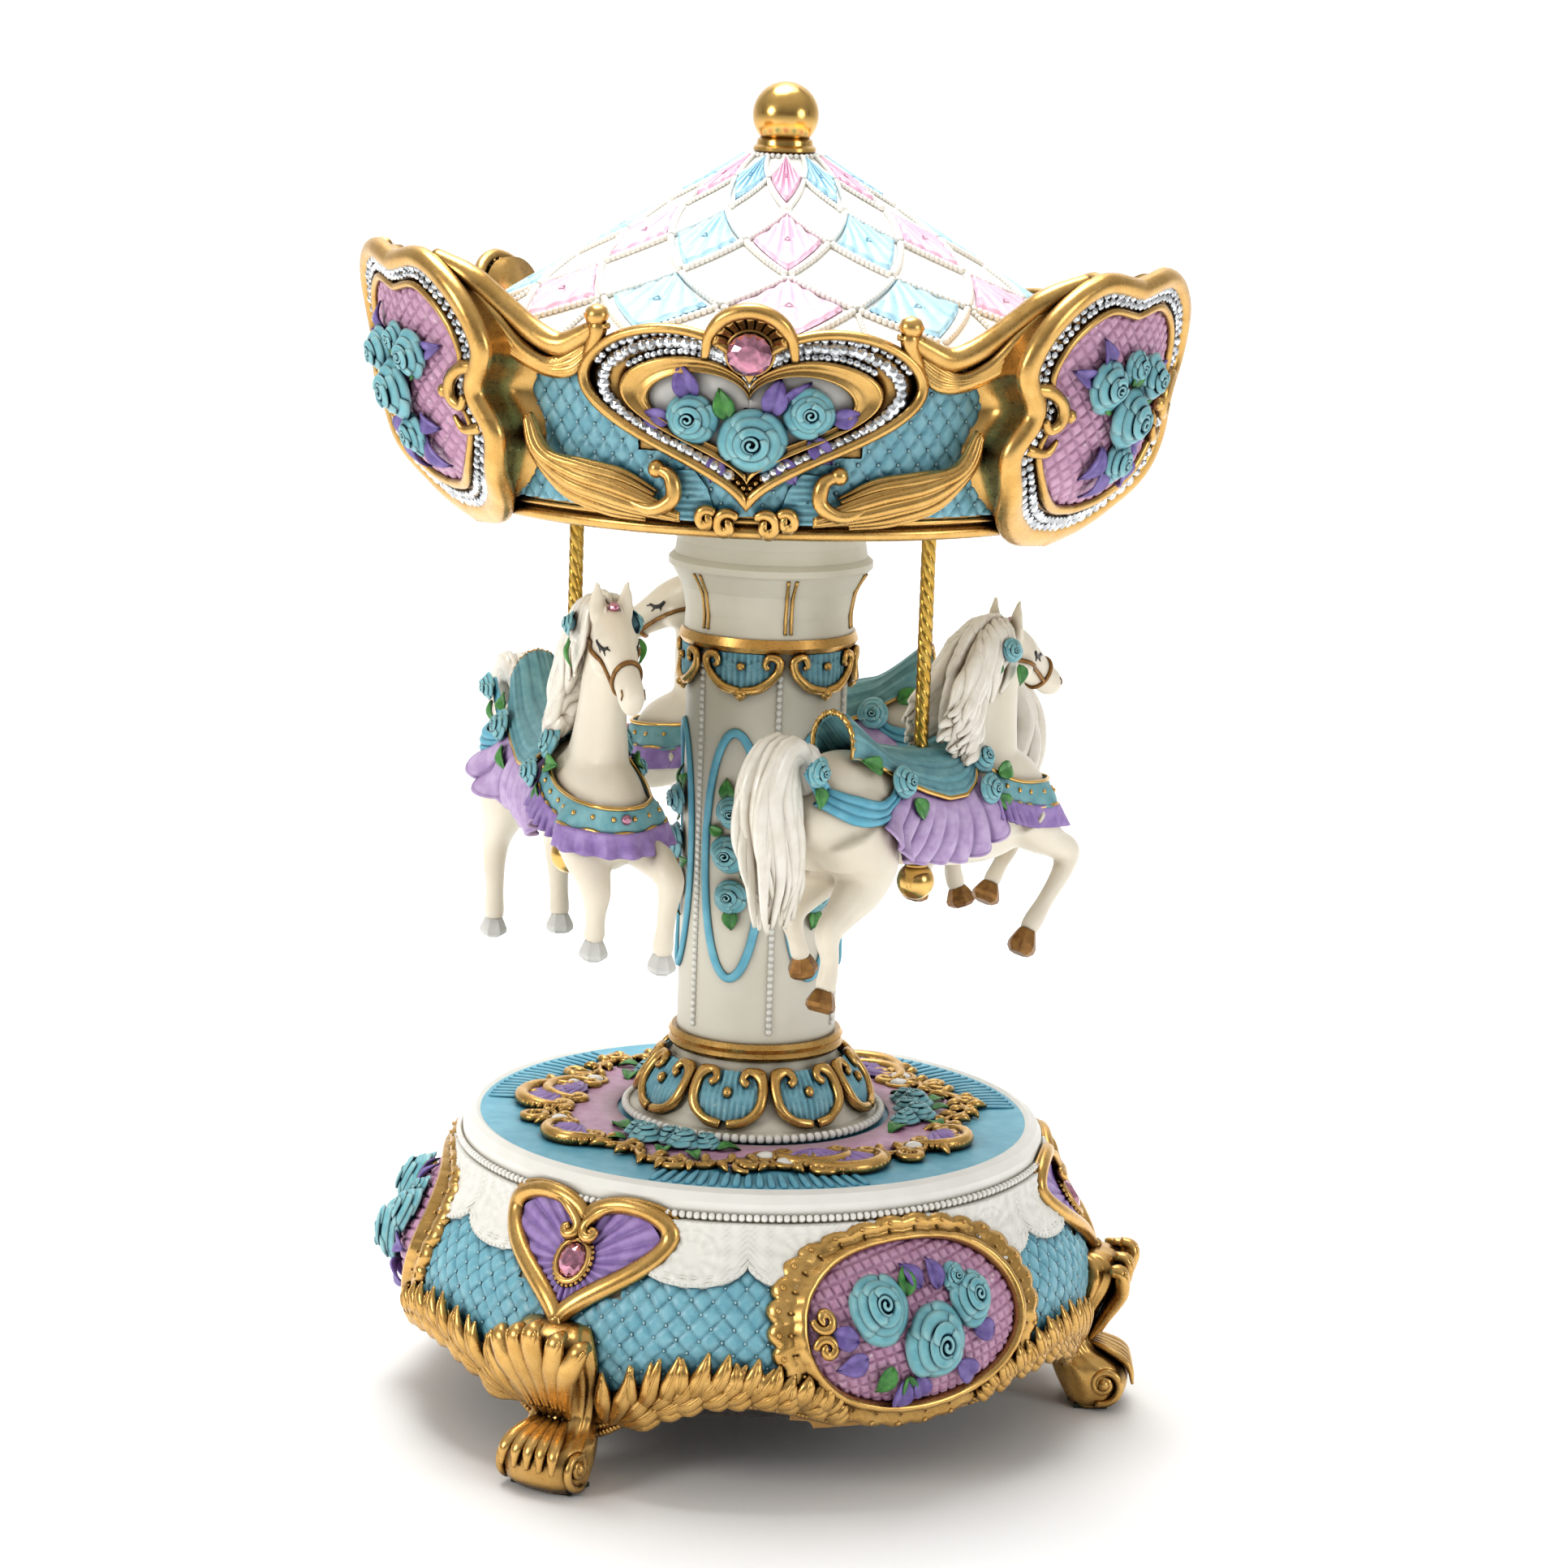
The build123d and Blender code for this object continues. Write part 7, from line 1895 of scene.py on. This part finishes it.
def stage():
    """Pale floor curving up into a wall, soft sky and four lamps."""
    bend = np.radians(np.linspace(0, 90, 25)[1:])
    depth = np.concatenate([np.linspace(FLOOR_FRONT, FLOOR_BACK, 17), FLOOR_BACK + WALL_BEND * np.sin(bend),
                            [FLOOR_BACK + WALL_BEND]])
    height = np.concatenate([np.zeros(17), WALL_BEND * (1 - np.cos(bend)), [WALL_TOP]]) - FLOOR_GAP
    span = np.linspace(-FLOOR_SIDE, FLOOR_SIDE, 17)
    points = [(x, y, z) for y, z in zip(depth, height) for x in span]
    mesh = bpy.data.meshes.new("floor")
    mesh.from_pydata(points, [], grid_faces(len(depth), len(span)).tolist())
    mesh.polygons.foreach_set("use_smooth", [True] * len(mesh.polygons))
    # Painted shadow: the floor's third colour darkens it within 30 mm of the object.
    material = paint("floor_paint", (250, 250, 249), (246, 246, 245), (225, 225, 224), 0.8, bump=0.0,
                     scale=3, reach=30)
    mesh.materials.append(material)
    floor = bpy.data.objects.new("floor", mesh)
    bpy.context.scene.collection.objects.link(floor)
    world = bpy.data.worlds.new("studio")
    bpy.context.scene.world = world
    world.use_nodes = True
    tree = world.node_tree
    where = tree.nodes.new("ShaderNodeTexCoord")
    split = tree.nodes.new("ShaderNodeSeparateXYZ")
    tree.links.new(where.outputs["Generated"], split.inputs["Vector"])
    sky = mix(tree, ramp(tree, split.outputs["Z"], 0.1, 0.75), HORIZON, ZENITH)
    tree.links.new(sky, tree.nodes["Background"].inputs["Color"])
    tree.nodes["Background"].inputs["Strength"].default_value = SKY_STRENGTH
    area_light("top_softbox", (-0.10, 0.10, 0.90), (0, 0, 0.2), 0.45, 4.6)
    area_light("left_softbox", (-0.75, -0.55, 0.45), (0, 0, 0.12), 0.35, 3.4, (1.0, 0.98, 0.95))
    area_light("right_softbox", (0.75, -0.5, 0.35), (0, 0, 0.12), 0.35, 1.6, (0.97, 0.985, 1.0))
    area_light("back_wash", (0.0, 0.9, 2.4), (0, 1.5, 0.4), 2.0, 42.0)


def camera():
    """The photograph's viewpoint: slightly above, rolled about two degrees."""
    pitch, yaw, roll = PHOTO_PITCH, PHOTO_YAW, PHOTO_ROLL
    forward = Vector((sin(yaw) * cos(pitch), cos(yaw) * cos(pitch), -sin(pitch)))
    right = Vector((cos(yaw), -sin(yaw), 0.0))
    up = right.cross(forward)
    right, up = cos(roll) * right + sin(roll) * up, cos(roll) * up - sin(roll) * right
    data = bpy.data.cameras.new("camera")
    data.sensor_width = 36.0
    data.lens = PHOTO_LENS
    thing = bpy.data.objects.new("camera", data)
    basis = Matrix((right, up, -forward)).transposed().to_4x4()
    basis.translation = Vector(PHOTO_PLACE)
    thing.matrix_world = basis
    bpy.context.scene.collection.objects.link(thing)
    bpy.context.scene.camera = thing
    bpy.context.scene.view_settings.view_transform = "Standard"
    bpy.context.scene.view_settings.look = "None"


def column_and_platform():
    """Build the pieces of the column and the platform."""
    column()
    platform()
    build("wreaths_blue", "carousel", BLUE_DECK, ["column_wreaths"])
    build("column_roses_teal", "carousel", TEAL, ["column_roses"])
    build("column_leaves_green", "carousel", GREEN)
    build("column_beads", "carousel", WHITE, ["column_pearls"])
    build("shields_blue", "carousel", BLUE, ["column_shields"])
    build("shields_gold", "carousel", GOLD)
    build("capital_gold", "carousel", GOLD)
    build("platform_gold", "base", GOLD, ["platform_scrollwork"])
    build("platform_pink", "base", PINK)
    build("platform_purple", "base", PURPLE)
    build("platform_pearls", "base", PEARL)
    build("platform_flutes", "base", BLUE_DECK)
    build("platform_roses_teal", "base", TEAL, ["platform_roses"])
    build("platform_leaves", "base", GREEN)


camera()
stage()
dress_kept()
base()
canopy()
column_and_platform()
horses()
